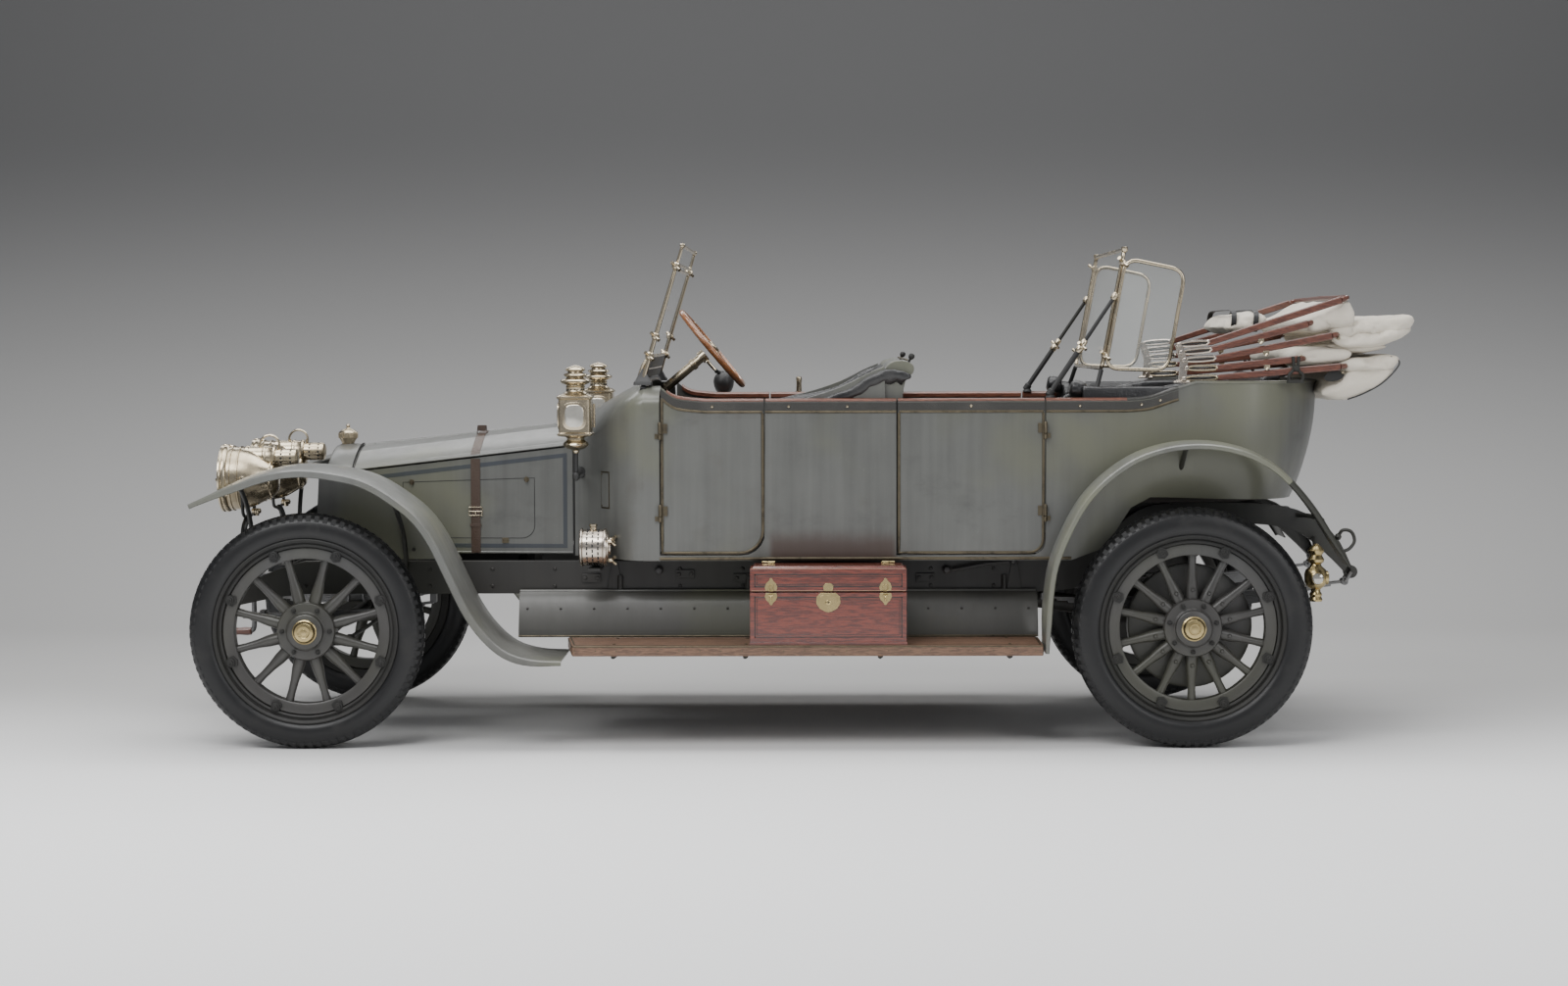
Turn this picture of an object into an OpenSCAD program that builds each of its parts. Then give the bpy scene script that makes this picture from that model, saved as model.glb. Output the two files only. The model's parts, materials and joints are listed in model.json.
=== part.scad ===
// Brass era touring car with its hood folded and both screens up.
// X runs forward, Y to the left and Z up. The origin is on the ground, under the middle of the car.
// Every module draws in a frame whose X starts at the front axle, and from_axle() places it.

/* [Overall] */
// Distance between the axles
wheelbase = 3300; // [3260:10:3340]
// Distance between the middles of the two wheels of one axle
track = 1420; // [1400:10:1440]
// Width over the mudguards
overall_w = 1640; // [1620:10:1680]
// How far the folded hood reaches behind the rear axle
hood_reach = 860; // [840:10:900]

/* [Wheels] */
// Diameter of a front tyre
front_tyre_d = 880; // [860:2:890]
// Diameter of a rear tyre
rear_tyre_d = 895; // [880:1:900]
// Width of a front tyre
front_tyre_w = 120; // [100:5:125]
// Width of a rear tyre
rear_tyre_w = 125; // [105:5:125]
// Spokes of a front wheel
front_spokes = 12; // [10:1:14]
// Spokes of a rear wheel
rear_spokes = 14; // [12:1:16]
// Outer diameter of the wooden rim
felloe_d = 630; // [600:2:640]
// Diameter of a brass hub cap
hub_cap_d = 90; // [70:2:100]

/* [Body] */
// Width over the body sides
body_w = 1240; // [1220:10:1240]
// Thickness of the body sides and doors
wall = 30; // [25:1:32]
// Height of the lower edge of the body
sill_z = 690; // [690:1:694]
// Height of the top rail between the doors
rail_z = 1290; // [1280:2:1300]
// Width of the gap round a door
door_gap = 6; // [5:0.5:8]

/* [Bonnet] */
// Half width of the bonnet at the radiator
bonnet_front_half = 276; // [270:1:280]
// Half width of the bonnet at the dash
bonnet_rear_half = 345; // [340:1:350]
// Thickness of the bonnet panels
bonnet_t = 8; // [6:1:9]

/* [Chassis] */
// Width over the two frame rails
frame_w = 840; // [830:2:850]
// Width of one frame rail
rail_w = 45; // [40:1:50]
// Height of the top of the frame
frame_z = 675; // [670:1:680]
// Depth of a frame rail
rail_depth = 125; // [110:1:130]

/* [Controls] */
// Diameter of the steering wheel
steering_wheel_d = 406; // [390:2:420]
// Slope of the steering column from level
column_angle = 40; // [40:1:42]

/* [Hidden] */
$fn = 48;

front_r = front_tyre_d / 2;
rear_r = rear_tyre_d / 2;
rear_x = -wheelbase;
hood_end_x = rear_x - hood_reach;
front_axle_x = -(hood_end_x + front_r) / 2;
wheel_y = track / 2;
half_body = body_w / 2;
half_width = overall_w / 2;
rail_y = frame_w / 2;
spring_y = rail_y - rail_w / 2;

// Places along the car, from the front axle
radiator_back = -98;
bonnet_x0 = -104;
bonnet_x1 = -964;
dash_x = -970;
dash_t = 15;
cowl_back = -1314;
screen_x = -1250;
door_f0 = -1320;
door_f1 = -1706;
door_r0 = -2209;
door_r1 = -2758;
seat_back_x = -2200;
rear_seat_x = -2880;
tub_curve_x = -3354;
tub_rear_x = -3854;
tub_rear_len = tub_curve_x - tub_rear_x;

// Heights
bonnet_z0 = 1108;
bonnet_z1 = 1200;
shoulder_z0 = 1030;
shoulder_z1 = 1130;
floor_t = 20;
door_z = 716;
kingpin_y = 600;
kingpin_r = 12;
pin_fit = 0.1;
stub_r = 20;
tie_x = -140;

// ---- shape helpers ----

function along(a, b, t) = a + (b - a) * t;
// Smooth curve through the points of p, with n steps between each pair
function through(p, n) = concat(
    [for (k = [0:len(p) - 2], i = [0:n - 1])
        let (a = p[max(k - 1, 0)], b = p[k], c = p[k + 1], d = p[min(k + 2, len(p) - 1)], t = i / n)
        0.5 * (2 * b + (c - a) * t + (2 * a - 5 * b + 4 * c - d) * t * t
            + (3 * b - a - 3 * c + d) * t * t * t)],
    [p[len(p) - 1]]);
function unit(v) = v / norm(v);
// The path p moved sideways by t, to the left of its direction
function beside(p, t) = [for (i = [0:len(p) - 1])
    let (d = unit(p[min(i + 1, len(p) - 1)] - p[max(i - 1, 0)])) p[i] + t * [-d[1], d[0]]];
function backwards(p) = [for (i = [len(p) - 1:-1:0]) p[i]];
// Outline of a strip of thickness t that follows path p
function strip(p, t) = concat(p, backwards(beside(p, t)));

module from_axle() { translate([front_axle_x, 0, 0]) children(); }
module both_sides() {
    children();
    mirror([0, 1, 0]) children();
}
// A side view outline, from y0 to y1
module side(y0, y1) { translate([0, y1, 0]) rotate([90, 0, 0]) linear_extrude(y1 - y0) children(); }
// A front view outline, from x0 to x1
module lengthwise(x0, x1) {
    translate([x0, 0, 0]) rotate([90, 0, 90]) linear_extrude(x1 - x0) children();
}
module plan(z0, z1) { translate([0, 0, z0]) linear_extrude(z1 - z0) children(); }
module block(a, b) { translate(a) cube(b - a); }
// A round bar from point a to point b, tapering from ra to rb
module bar(a, b, ra, rb) {
    d = b - a;
    translate(a) rotate([0, acos(d[2] / norm(d)), atan2(d[1], d[0])]) cylinder(h = norm(d), r1 = ra, r2 = rb);
}
module cross_tube(x, z, r, half) { translate([x, -half, z]) rotate([-90, 0, 0]) cylinder(h = 2 * half, r = r); }
// A closed solid through a row of rings that have the same number of points
module skin(rings, sheet = false) {
    n = len(rings[0]);
    m = len(rings);
    sides = [for (j = [0:m - 2], i = [0:n - 1]) let (a = j * n + i, b = j * n + (i + 1) % n)
        each [[a, b, a + n], [b, b + n, a + n]]];
    last = (m - 1) * n;
    caps = sheet ? [for (i = [0:n / 2 - 2]) each [[n - 1 - i, n - 2 - i, i + 1, i],
            [last + i, last + i + 1, last + n - 2 - i, last + n - 1 - i]]]
        : [[for (i = [n - 1:-1:0]) i], [for (i = [0:n - 1]) last + i]];
    polyhedron([for (r = rings) each r], concat(sides, caps));
}

// ---- wheels ----

// Lathe outline turned round a wheel's axle, with its middle at y = 0
module turned() { rotate([-90, 0, 0]) rotate_extrude($fn = 96) children(); }

tyre_bead_r = 347;
hub_r = 62;
flange_r = 109;
spoke_w = 40;

module tyre(r, w) {
    turned() {
        crown = r - tyre_bead_r;
        intersection() {
            translate([tyre_bead_r, -w / 2]) square([crown, w]);
            translate([r - crown / 2 - 4, 0]) scale(1) union() {
                translate([4, 0]) square([crown - 8, w - 36], center = true);
                translate([-2, 0]) square([crown - 26, w], center = true);
                for (s = [-1, 1]) translate([crown / 2 - 14, s * (w / 2 - 18)]) circle(18);
                for (s = [-1, 1]) translate([12 - crown / 2, s * (w / 2 - 18)]) circle(18);
            }
        }
    }
}
module artillery_wheel(spokes, half_angle, drum) {
    difference() {
        union() {
            turned() translate([felloe_d / 2 - 44, -27]) square([44, 54]);
            turned() difference() {
                translate([felloe_d / 2, -50]) square([tyre_bead_r - felloe_d / 2, 100]);
                translate([felloe_d / 2 + 12, -42]) square([40, 84]);
            }
            for (i = [0:spokes - 1]) rotate([0, (i + half_angle) * 360 / spokes, 0])
                translate([0, 0, 70]) cylinder(h = felloe_d / 2 - 40 - 70, r1 = spoke_w / 2, r2 = spoke_w / 2 - 4);
            turned() translate([0, -36]) square([flange_r, 72]);
            turned() translate([0, -45]) square([hub_r, 108]);
            turned() translate([0, 63]) square([hub_cap_d / 2, 24]);
            if (drum) turned() difference() {
                translate([0, -106]) square([232, 60]);
                translate([60, -120]) square([160, 62]);
            }
        }
        translate([0, -150, 0]) rotate([-90, 0, 0]) cylinder(h = 206, r = stub_r + pin_fit);
    }
}
module front_wheel() {
    color("dimgray") from_axle() translate([0, wheel_y, front_r]) artillery_wheel(front_spokes, 0.5, false);
}
module rear_wheel() {
    color("dimgray") from_axle() translate([rear_x, wheel_y, rear_r]) artillery_wheel(rear_spokes, 0, true);
}
module front_tyre() {
    color([0.12, 0.12, 0.12]) from_axle() translate([0, wheel_y, front_r]) tyre(front_r, front_tyre_w);
}
module rear_tyre() {
    color([0.12, 0.12, 0.12]) from_axle() translate([rear_x, wheel_y, rear_r]) tyre(rear_r, rear_tyre_w);
}

// ---- chassis ----

eye_r = 24;
front_eye = [392, 512];
rear_eye = [-3946, 628];
front_spring_back = [-430, 530];
rear_spring_front = [-2780, 536];

rail_top = concat(
    through([[392, 534], [300, 585], [180, 640], [60, frame_z]], 6),
    [[-2760, frame_z]],
    through([[-2860, frame_z + 3], [-2960, 716], [-3110, 852], [-3250, 893], [-3600, 890],
        [-3780, 850], [-3890, 760], [-3946, 652]], 5));
rail_bottom = concat(
    through([[392, 490], [300, 510], [180, 535], [60, frame_z - rail_depth]], 6),
    [[-2700, frame_z - rail_depth]],
    through([[-2900, frame_z - 110], [-3050, 690], [-3180, 780], [-3300, 810], [-3580, 812],
        [-3740, 782], [-3850, 700], [-3946, 604]], 5));

module frame_rails() {
    members = [[40, 110, 560, 640], [-560, -490, 556, 590], [-1180, -1110, 556, 640],
        [-2000, -1930, 556, 660], [-2760, -2690, 556, 660], [-3640, -3580, 830, 880]];
    color([0.2, 0.2, 0.2]) from_axle() difference() {
        union() {
            both_sides() side(rail_y - rail_w, rail_y) polygon(concat(rail_top, backwards(rail_bottom)));
            both_sides() for (e = [front_eye, rear_eye])
                translate([e[0], rail_y - rail_w, e[1]]) rotate([-90, 0, 0]) cylinder(h = rail_w, r = eye_r);
            for (m = members) block([m[0], -rail_y + 10, m[2]], [m[1], rail_y - 10, m[3]]);
        }
        for (e = [front_eye, rear_eye]) cross_tube(e[0], e[1], 10, rail_y + 10);
    }
}

beam_z0 = 397;
beam_z1 = 445;
boss_r = 26;
module front_axle() {
    color([0.2, 0.2, 0.2]) from_axle() difference() {
        union() {
            lengthwise(-30, 30) axle_flanges();
            block([-12, -kingpin_y, beam_z0], [12, kingpin_y, beam_z1]);
            for (s = [-1, 1]) translate([0, s * kingpin_y, beam_z0 - 2]) cylinder(h = 80, r = boss_r);
        }
        for (s = [-1, 1]) translate([0, s * kingpin_y, 0]) cylinder(h = 900, r = kingpin_r + pin_fit);
    }
}
module axle_flanges() {
    for (z = [beam_z0, beam_z1 - 12]) translate([-kingpin_y, z]) square([2 * kingpin_y, 12]);
}

axle_tube_r = 42;
module rear_axle() {
    color([0.2, 0.2, 0.2]) from_axle() translate([rear_x, 0, rear_r]) {
        cross_tube(0, 0, axle_tube_r, kingpin_y - 8);
        cross_tube(0, 0, stub_r, wheel_y + 50);
        sphere(r = 150);
        rotate([0, 90, 0]) cylinder(h = 240, r = 55);
        bar([230, 0, 0], [1288, 0, 149], 38, 38);
    }
}

// A leaf spring whose leaves are stacked below its longest one
module leaf_spring(a, middle, b, leaves) {
    t = 9;
    for (k = [0:leaves - 1]) {
        cut = k * 0.085;
        path = through([along(middle, a, 1 - cut), along(middle, a, 0.5 * (1 - cut)) - [0, 9],
            middle - [0, 0], along(middle, b, 0.5 * (1 - cut)) - [0, 9], along(middle, b, 1 - cut)], 5);
        side(spring_y - 22, spring_y + 22) polygon(strip([for (p = path) p - [0, t * k - 0.02 * k]], -t));
    }
}
module leaf_springs() {
    color([0.25, 0.25, 0.25]) from_axle() both_sides() {
        leaf_spring(front_eye - [26, 30], [0, beam_z1 + 40], front_spring_back - [0, 10], 4);
        leaf_spring(rear_spring_front, [rear_x, rear_r + axle_tube_r + 54], rear_eye + [24, -34], 6);
        side(spring_y - 20, spring_y + 20) polygon([[-440, 549], [-420, 549], [-422, 521], [-438, 521]]);
        side(spring_y - 20, spring_y + 20) polygon([[-2786, 549], [-2746, 549], [-2760, 526], [-2786, 526]]);
    }
}

module engine_block() {
    color([0.35, 0.35, 0.35]) from_axle() block([-800, -150, 590], [-170, 150, 880]);
}

// ---- front ----

radiator_outline = [[-276, 560], [276, 560], [276, 1030], [140, 1085], [0, 1112], [-140, 1085], [-276, 1030]];
module radiator() {
    color("gray") from_axle() {
        difference() {
            intersection() {
                lengthwise(radiator_back, 12) polygon(radiator_outline);
                side(-300, 300) polygon([[radiator_back, 640], [8, 640], [12, 700], [10, 1000],
                    [0, 1040], [-30, 1075], [radiator_back, 1112]]);
            }
            block([-4, -225, 700], [20, 225, 985]);
        }
        translate([-40, 0, 1065]) cylinder(h = 60, r = 24);
        translate([-40, 0, 1115]) cylinder(h = 36, r = 37);
        translate([-40, 0, 1150]) cylinder(h = 22, r = 10);
    }
}

// Bonnet section at x, as [y, z] of its centre, its upper bend and its shoulder
function bonnet_t_at(x) = (x - bonnet_x0) / (bonnet_x1 - bonnet_x0);
function bonnet_half(x) = along(bonnet_front_half, bonnet_rear_half, bonnet_t_at(x));
function bonnet_top(x) = along(bonnet_z0, bonnet_z1, bonnet_t_at(x));
function bonnet_shoulder(x) = along(shoulder_z0, shoulder_z1, bonnet_t_at(x));
function bonnet_bend(x) = [bonnet_half(x) * 0.5, along(1084, 1187, bonnet_t_at(x))];
hinge_rod_r = 6;
lip = 12;
side_gap = 19;
bonnet_side_z = 697;
function top_ring(x) = let (h = bonnet_half(x), s = bonnet_shoulder(x), b = bonnet_bend(x), t = bonnet_t)
    [for (p = [[11, bonnet_top(x) - 1], b, [h, s], [h, s - lip], [h - 10, s - lip],
        [h - 10, s - t - 1], [b[0] - 1, b[1] - t], [11, bonnet_top(x) - 1 - t]]) [x, p[0], p[1]]];
function side_ring(x) = let (h = bonnet_half(x), s = bonnet_shoulder(x) - side_gap, t = bonnet_t)
    [for (p = [[h, s], [h, bonnet_side_z], [h - t, bonnet_side_z], [h - t, s]]) [x, p[0], p[1]]];

module bonnet_top() { color("silver") from_axle() skin([top_ring(bonnet_x1), top_ring(bonnet_x0)], true); }
module bonnet_side() { color("gray") from_axle() skin([side_ring(bonnet_x1), side_ring(bonnet_x0)]); }

// Half of the cowl's section, inset by e, from the sill over the top to the middle
function cowl_ring(x, e) =
    let (t = max(0, min(1, (dash_x - x) / (dash_x - screen_x))), s = t * t * (3 - 2 * t),
        h = along(bonnet_rear_half, half_body, s) - e,
        z_side = along(shoulder_z1, 1262, s), z_top = along(bonnet_z1, 1372, pow(t, 0.8)) - e,
        power = along(1.25, 2.9, s),
        quarter = [for (i = [0:8]) let (a = i * 90 / 8)
            [h * pow(cos(a), 2 / power), z_side + (z_top - z_side) * pow(sin(a), 2 / power)]])
    concat([[x, h, sill_z + (e > 0 ? -40 : 0)]], [for (p = quarter) [x, p[0], p[1]]],
        [for (i = [7:-1:0]) [x, -quarter[i][0], quarter[i][1]]], [[x, -h, sill_z + (e > 0 ? -40 : 0)]]);
cowl_stations = [dash_x, -1010, -1050, -1095, -1140, -1185, screen_x, cowl_back];
module cowl() {
    column_line = column_point(-900);
    color("gray") from_axle() {
        difference() {
            skin([for (x = cowl_stations) cowl_ring(x, 0)]);
            difference() {
                skin([for (x = concat(cowl_stations, [cowl_back - 30])) cowl_ring(x, wall)]);
                block([dash_x - dash_t, -700, 600], [dash_x + 10, 700, 1400]);
            }
            side(-half_body + 110, half_body - 110)
                polygon(concat([[screen_x, 1500], [cowl_back - 20, 1500], [cowl_back - 20, 1100]],
                    [[cowl_back + 4, 1180], [screen_x, 1240]]));
            side(-700, 700) polygon([[-1292, 1500], [-1292, 1385], [-1314, 1350], [-1330, 1330], [-1330, 1500]]);
            bar(column_point(-1100), column_line, 28, 28);
        }
        bar([dash_x, 0, bonnet_z1 - 5], [radiator_back - 1, 0, bonnet_z0 - 5], hinge_rod_r, hinge_rod_r);
        both_sides() hinge_post(door_f0, 1);
    }
}

// ---- body ----

rear_line = through([[-3746, 895], [-3788, 986], [-3828, 1117], [-3848, 1228], [tub_rear_x, 1339]], 4);
top_line = concat([[tub_rear_x, 1351], [-3344, 1353]], through([[-3325, 1353], [-3234, 1325], [-3150, 1298],
    [-3066, rail_z]], 3), [[-1500, rail_z]], through([[-1489, rail_z], [-1379, 1303], [-1324, 1340],
    [cowl_back, 1352]], 3));
bottom_line = [[cowl_back, sill_z], [-2860, sill_z], [-2965, 728], [-3060, 860], [-3112, 920], [-3628, 916]];

function plan_line(e) = let (h = half_body - e, a = tub_rear_len - e, n = 12) concat(
    [[cowl_back, h]],
    [for (i = [0:n]) let (u = i * 90 / n)
        [tub_curve_x - a * pow(sin(u), 2 / 2.6), h * pow(cos(u), 2 / 2.6)]]);
module plan_outline(e) {
    polygon(concat(plan_line(e), [for (p = backwards(plan_line(e))) if (p[1] > 0.01) [p[0], -p[1]]]));
}
module body_side_view() { polygon(concat(bottom_line, rear_line, top_line)); }

// Side outline of a door that reaches from x0 back to x1, grown by g
module door_outline(x0, x1, corner_x, corner_r, g) {
    difference() {
        translate([x1 - g, door_z - g]) square([x0 - x1 + 2 * g, 700]);
        c = [corner_x == x1 ? x1 + corner_r : x0 - corner_r, door_z + corner_r];
        s = corner_x == x1 ? -1 : 1;
        difference() {
            translate([c[0] + (s > 0 ? 0 : -corner_r - g - 1), c[1] - corner_r - g - 1])
                square(corner_r + g + 1);
            translate(c) circle(corner_r + g);
        }
    }
}
module front_door_outline(g) { door_outline(door_f0, door_f1, door_f1, 85, g); }
module rear_door_outline(g) { door_outline(door_r0, door_r1, door_r1, 50, g); }

hinge_y = half_body + 9;
hinge_heights = [840, 1150];
hinge_r = 8;
pin_r = 4;
function hinge_x(edge, s) = edge + s * 3;
// Fixed half of the two hinges beside a door's edge: s is 1 where the post is ahead of the door
module hinge_post(edge, s) {
    x = hinge_x(edge, s);
    for (z = hinge_heights) {
        translate([x, hinge_y, z]) cylinder(h = 18, r = hinge_r);
        translate([x, hinge_y, z]) cylinder(h = 60, r = pin_r);
        block([min(x, x + s * 20), half_body, z], [max(x, x + s * 20), half_body + 5, z + 18]);
    }
}
// Moving half, on the door
module hinge_leaf(edge, s) {
    x = hinge_x(edge, s);
    for (z = hinge_heights) difference() {
        union() {
            translate([x, hinge_y, z + 19]) cylinder(h = 38, r = hinge_r);
            block([min(x, x - s * 22), half_body, z + 19], [max(x, x - s * 22), half_body + 5, z + 57]);
        }
        translate([x, hinge_y, z]) cylinder(h = 70, r = pin_r + pin_fit);
    }
}

module tub() {
    color("gray") from_axle() {
        difference() {
            intersection() {
                plan(600, 1400) plan_outline(0);
                side(-half_body, half_body) body_side_view();
            }
            intersection() {
                plan(500, 1500) plan_outline(wall);
                side(-half_body, half_body) polygon(concat([[0, 500]], [[-3700, 500]],
                    [for (p = rear_line) p + [wall, 0]], [[tub_rear_x + wall, 1500], [0, 1500]]));
            }
            side(-half_body - 10, half_body + 10) front_door_outline(door_gap);
            side(-half_body - 10, half_body + 10) rear_door_outline(door_gap);
        }
        both_sides() hinge_post(door_r1, -1);
    }
}
module door_panel() {
    intersection() {
        side(half_body - wall, half_body) children();
        side(half_body - wall, half_body) body_side_view();
    }
}
module front_door() {
    color("darkgray") from_axle() {
        door_panel() front_door_outline(0);
        hinge_leaf(door_f0, 1);
    }
}
module rear_door() {
    color("darkgray") from_axle() {
        door_panel() rear_door_outline(0);
        hinge_leaf(door_r1, -1);
    }
}

footwell_side = [[cowl_back, half_body - wall], [-1185, 500], [-1040, 345], [dash_x - dash_t - 1, 305]];
module floor() {
    under = concat([[dash_x - dash_t, sill_z]], [for (i = [1:len(bottom_line) - 1]) bottom_line[i]],
        [[-3700, 906]]);
    color("saddlebrown") from_axle() {
        intersection() {
            side(-half_body + wall, half_body - wall) polygon(strip(under, -floor_t));
            union() {
                plan(600, 1000) intersection() {
                    plan_outline(wall);
                    translate([-3702, -700]) square([3702 + cowl_back, 1400]);
                }
                plan(600, 1000) polygon(concat(footwell_side, [for (p = backwards(footwell_side)) [p[0], -p[1]]]));
            }
        }
        block([rear_seat_x - 20, -560, sill_z + floor_t], [rear_seat_x, 560, 940]);
        block([-3090, -560, 940], [rear_seat_x, 560, 955]);
    }
}

// ---- seats ----

seat_half = 570;
module front_seat_shell() {
    color("gray") from_axle() {
        side(-584, 584) polygon(concat([[seat_back_x, sill_z + floor_t], [seat_back_x, 1440]],
            through([[seat_back_x - 8, 1460], [-2240, 1458], [-2262, 1425], [-2262, 1390], [-2238, 1285]], 3),
            [[seat_back_x - 34, sill_z + floor_t]]));
        block([-1720, -560, sill_z + floor_t], [-1700, 560, 910]);
        block([seat_back_x, -560, 910], [-1690, 560, 930]);
    }
}
module seat_cushion(x0, x1, z0, z1) {
    intersection() {
        side(-seat_half, seat_half) polygon(concat(
            [[x0, z0 + 12]], through([[x0, z1 - 40], [x0 - 14, z1 - 10], [x0 - 60, z1 + 4]], 3),
            [[(x0 + x1) / 2, z1], [x1, z1 - 12], [x1, z0], [x0 - 12, z0]]));
        plan(z0 - 10, z1 + 60) translate([x1, -seat_half]) square([x0 - x1, 2 * seat_half]);
    }
}
module front_seat_pads() {
    color([0.1, 0.1, 0.11]) from_axle() {
        seat_cushion(-1640, -2080, 931, 1070);
        intersection() {
            side(-seat_half, seat_half) polygon(concat([[-1790, 1076], [-1750, 1240]],
                through([[-1750, 1290], [-1880, 1335], [-2010, 1373], [-2060, 1420], [-2110, 1456],
                    [-2190, 1464]], 3), [[seat_back_x + 1, 1440], [seat_back_x + 1, 1076]]));
            plan(1000, 1500) difference() {
                translate([seat_back_x, -seat_half]) square([500, 2 * seat_half]);
                translate([-2095, -seat_half + 80]) square([500, 2 * seat_half - 160]);
            }
        }
    }
}
module rear_seat_pads() {
    color([0.1, 0.1, 0.11]) from_axle() {
        seat_cushion(rear_seat_x + 10, -3400, 956, 1095);
        intersection() {
            plan(900, 1500) difference() {
                plan_outline(wall + 4);
                translate([-3640, -470]) square([1500, 940]);
                translate([-2880, -700]) square([2000, 1400]);
            }
            union() {
                side(-600, 600) polygon([[-2900, 1100], [-2900, 1280], [-2920, 1308], [-3020, 1345],
                    [-3775, 1345], [-3772, 1100]]);
                side(-556, 556) polygon([[-3000, 1330], [-3020, 1345], [-3110, 1378], [-3256, 1382],
                    [-3300, 1430], [-3340, 1438], [-3500, 1425], [-3680, 1398], [-3700, 1330]]);
            }
        }
    }
}

// ---- steering ----

column_y = -280;
wheel_centre = [-1480, column_y, 1483];
column_dir = [cos(column_angle), 0, -sin(column_angle)];
function column_point(x) = wheel_centre + column_dir * ((x - wheel_centre[0]) / column_dir[0]);
box_x = -560;
module steering_column() {
    color("goldenrod") from_axle() {
        bar(wheel_centre + column_dir * 34, column_point(box_x + 30), 19, 19);
        bar(wheel_centre + column_dir * -16, wheel_centre + column_dir * 40, 9, 9);
        block([box_x - 60, rail_w - rail_y, 600], [box_x + 60, column_y + 50, bonnet_side_z - 9]);
    }
}
module steering_wheel() {
    color("sienna") from_axle() translate(wheel_centre) rotate([0, column_angle - 90, 0]) difference() {
        union() {
            rotate_extrude($fn = 96) translate([steering_wheel_d / 2 - 13, 0]) circle(13, $fn = 24);
            for (a = [45:90:315]) rotate([0, 0, a])
                translate([18, -9, -4]) cube([steering_wheel_d / 2 - 18 - 16, 18, 8]);
            translate([0, 0, -20]) cylinder(h = 40, r = 30);
        }
        translate([0, 0, -60]) cylinder(h = 78, r = 9 + pin_fit);
    }
}
arm_z = 372;
module knuckle() {
    color([0.2, 0.2, 0.2]) from_axle() {
        for (z = [beam_z0 - 28, beam_z0 + 84]) {
            translate([0, kingpin_y, z]) cylinder(h = 20, r = boss_r);
            block([-22, kingpin_y, z], [22, 662, z + 20]);
        }
        block([-26, 636, beam_z0 - 28], [26, 662, beam_z0 + 104]);
        translate([0, kingpin_y, beam_z0 - 28]) cylinder(h = 132, r = kingpin_r);
        translate([0, 650, front_r]) rotate([-90, 0, 0]) cylinder(h = 110, r = stub_r);
        block([tie_x - 12, kingpin_y - 14, arm_z], [-10, kingpin_y + 14, arm_z + 14]);
        translate([tie_x, kingpin_y, arm_z]) cylinder(h = 42, r = 8);
    }
}
module tie_rod() {
    z = arm_z + 19;
    color([0.25, 0.25, 0.25]) from_axle() difference() {
        union() {
            for (s = [-1, 1]) translate([tie_x, s * kingpin_y, z]) cylinder(h = 20, r = 19);
            translate([tie_x, -kingpin_y + 12, z + 10]) rotate([-90, 0, 0]) cylinder(h = 2 * kingpin_y - 24, r = 8);
        }
        for (s = [-1, 1]) translate([tie_x, s * kingpin_y, 0]) cylinder(h = 900, r = 8 + pin_fit);
    }
}

// ---- screens ----

screen_half = 520;
wing_y = screen_half + 14;
front_foot = [-1248, 1372];
front_top = [-1402, 1884];
function on_screen(t) = along(front_foot, front_top, t);
rear_foot = [-2979, 1402];
rear_top = [-3066, 1862];
function on_rear(t, e, y) = let (p = along(rear_foot, rear_top, t)) [p[0] - 8 + e, y, p[1] + e];
wing_foot = [-3227, 1399];
wing_knee = [-3290, 1740];
wing_top = [-3258, 1782];

// A square-edged frame bar that follows points, beside the plane y
module frame_bar(points, y, w) { side(y - w / 2, y + w / 2) polygon(strip(points, w)); }
module screen_frames() {
    color("goldenrod") from_axle() {
        both_sides() frame_bar([front_foot, front_top], screen_half, 20);
        for (t = [0.16, 0.83, 0.985]) cross_tube(on_screen(t)[0] - 10, on_screen(t)[1], 8, screen_half);
        both_sides() frame_bar([rear_foot, rear_top], screen_half, 16);
        both_sides() frame_bar([[-2985, 1396], wing_foot, wing_knee, wing_top, [-3064, 1822]], wing_y, 16);
        for (t = [0.02, 0.98]) block(on_rear(t, -8, -screen_half), on_rear(t, 8, screen_half));
        both_sides() bar([-2783, 575, 1312], [-3033, 549, 1690], 11, 11);
        both_sides() translate([-2783, 575, rail_z]) cylinder(h = 24, r = 16);
    }
}
module pane(a, b, y0, y1) { side(y0, y1) polygon(strip([a, b], 5)); }
module screen_glass() {
    color([0.8, 0.85, 0.85, 0.4]) from_axle() {
        for (s = [[0.185, 0.805], [0.855, 0.975]])
            pane(on_screen(s[0]) + [-2, 0], on_screen(s[1]) + [-2, 0], 13 - screen_half, screen_half - 13);
        pane(along(rear_foot, rear_top, 0.025) + [2, 0], along(rear_foot, rear_top, 0.975) + [2, 0],
            11 - screen_half, screen_half - 11);
        both_sides() side(wing_y - 3, wing_y + 3) polygon([
            [-2996, 1412], [-3217, 1409], [-3278, 1738], [-3254, 1771], [-3077, 1806]]);
    }
}

// ---- folded hood ----

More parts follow.
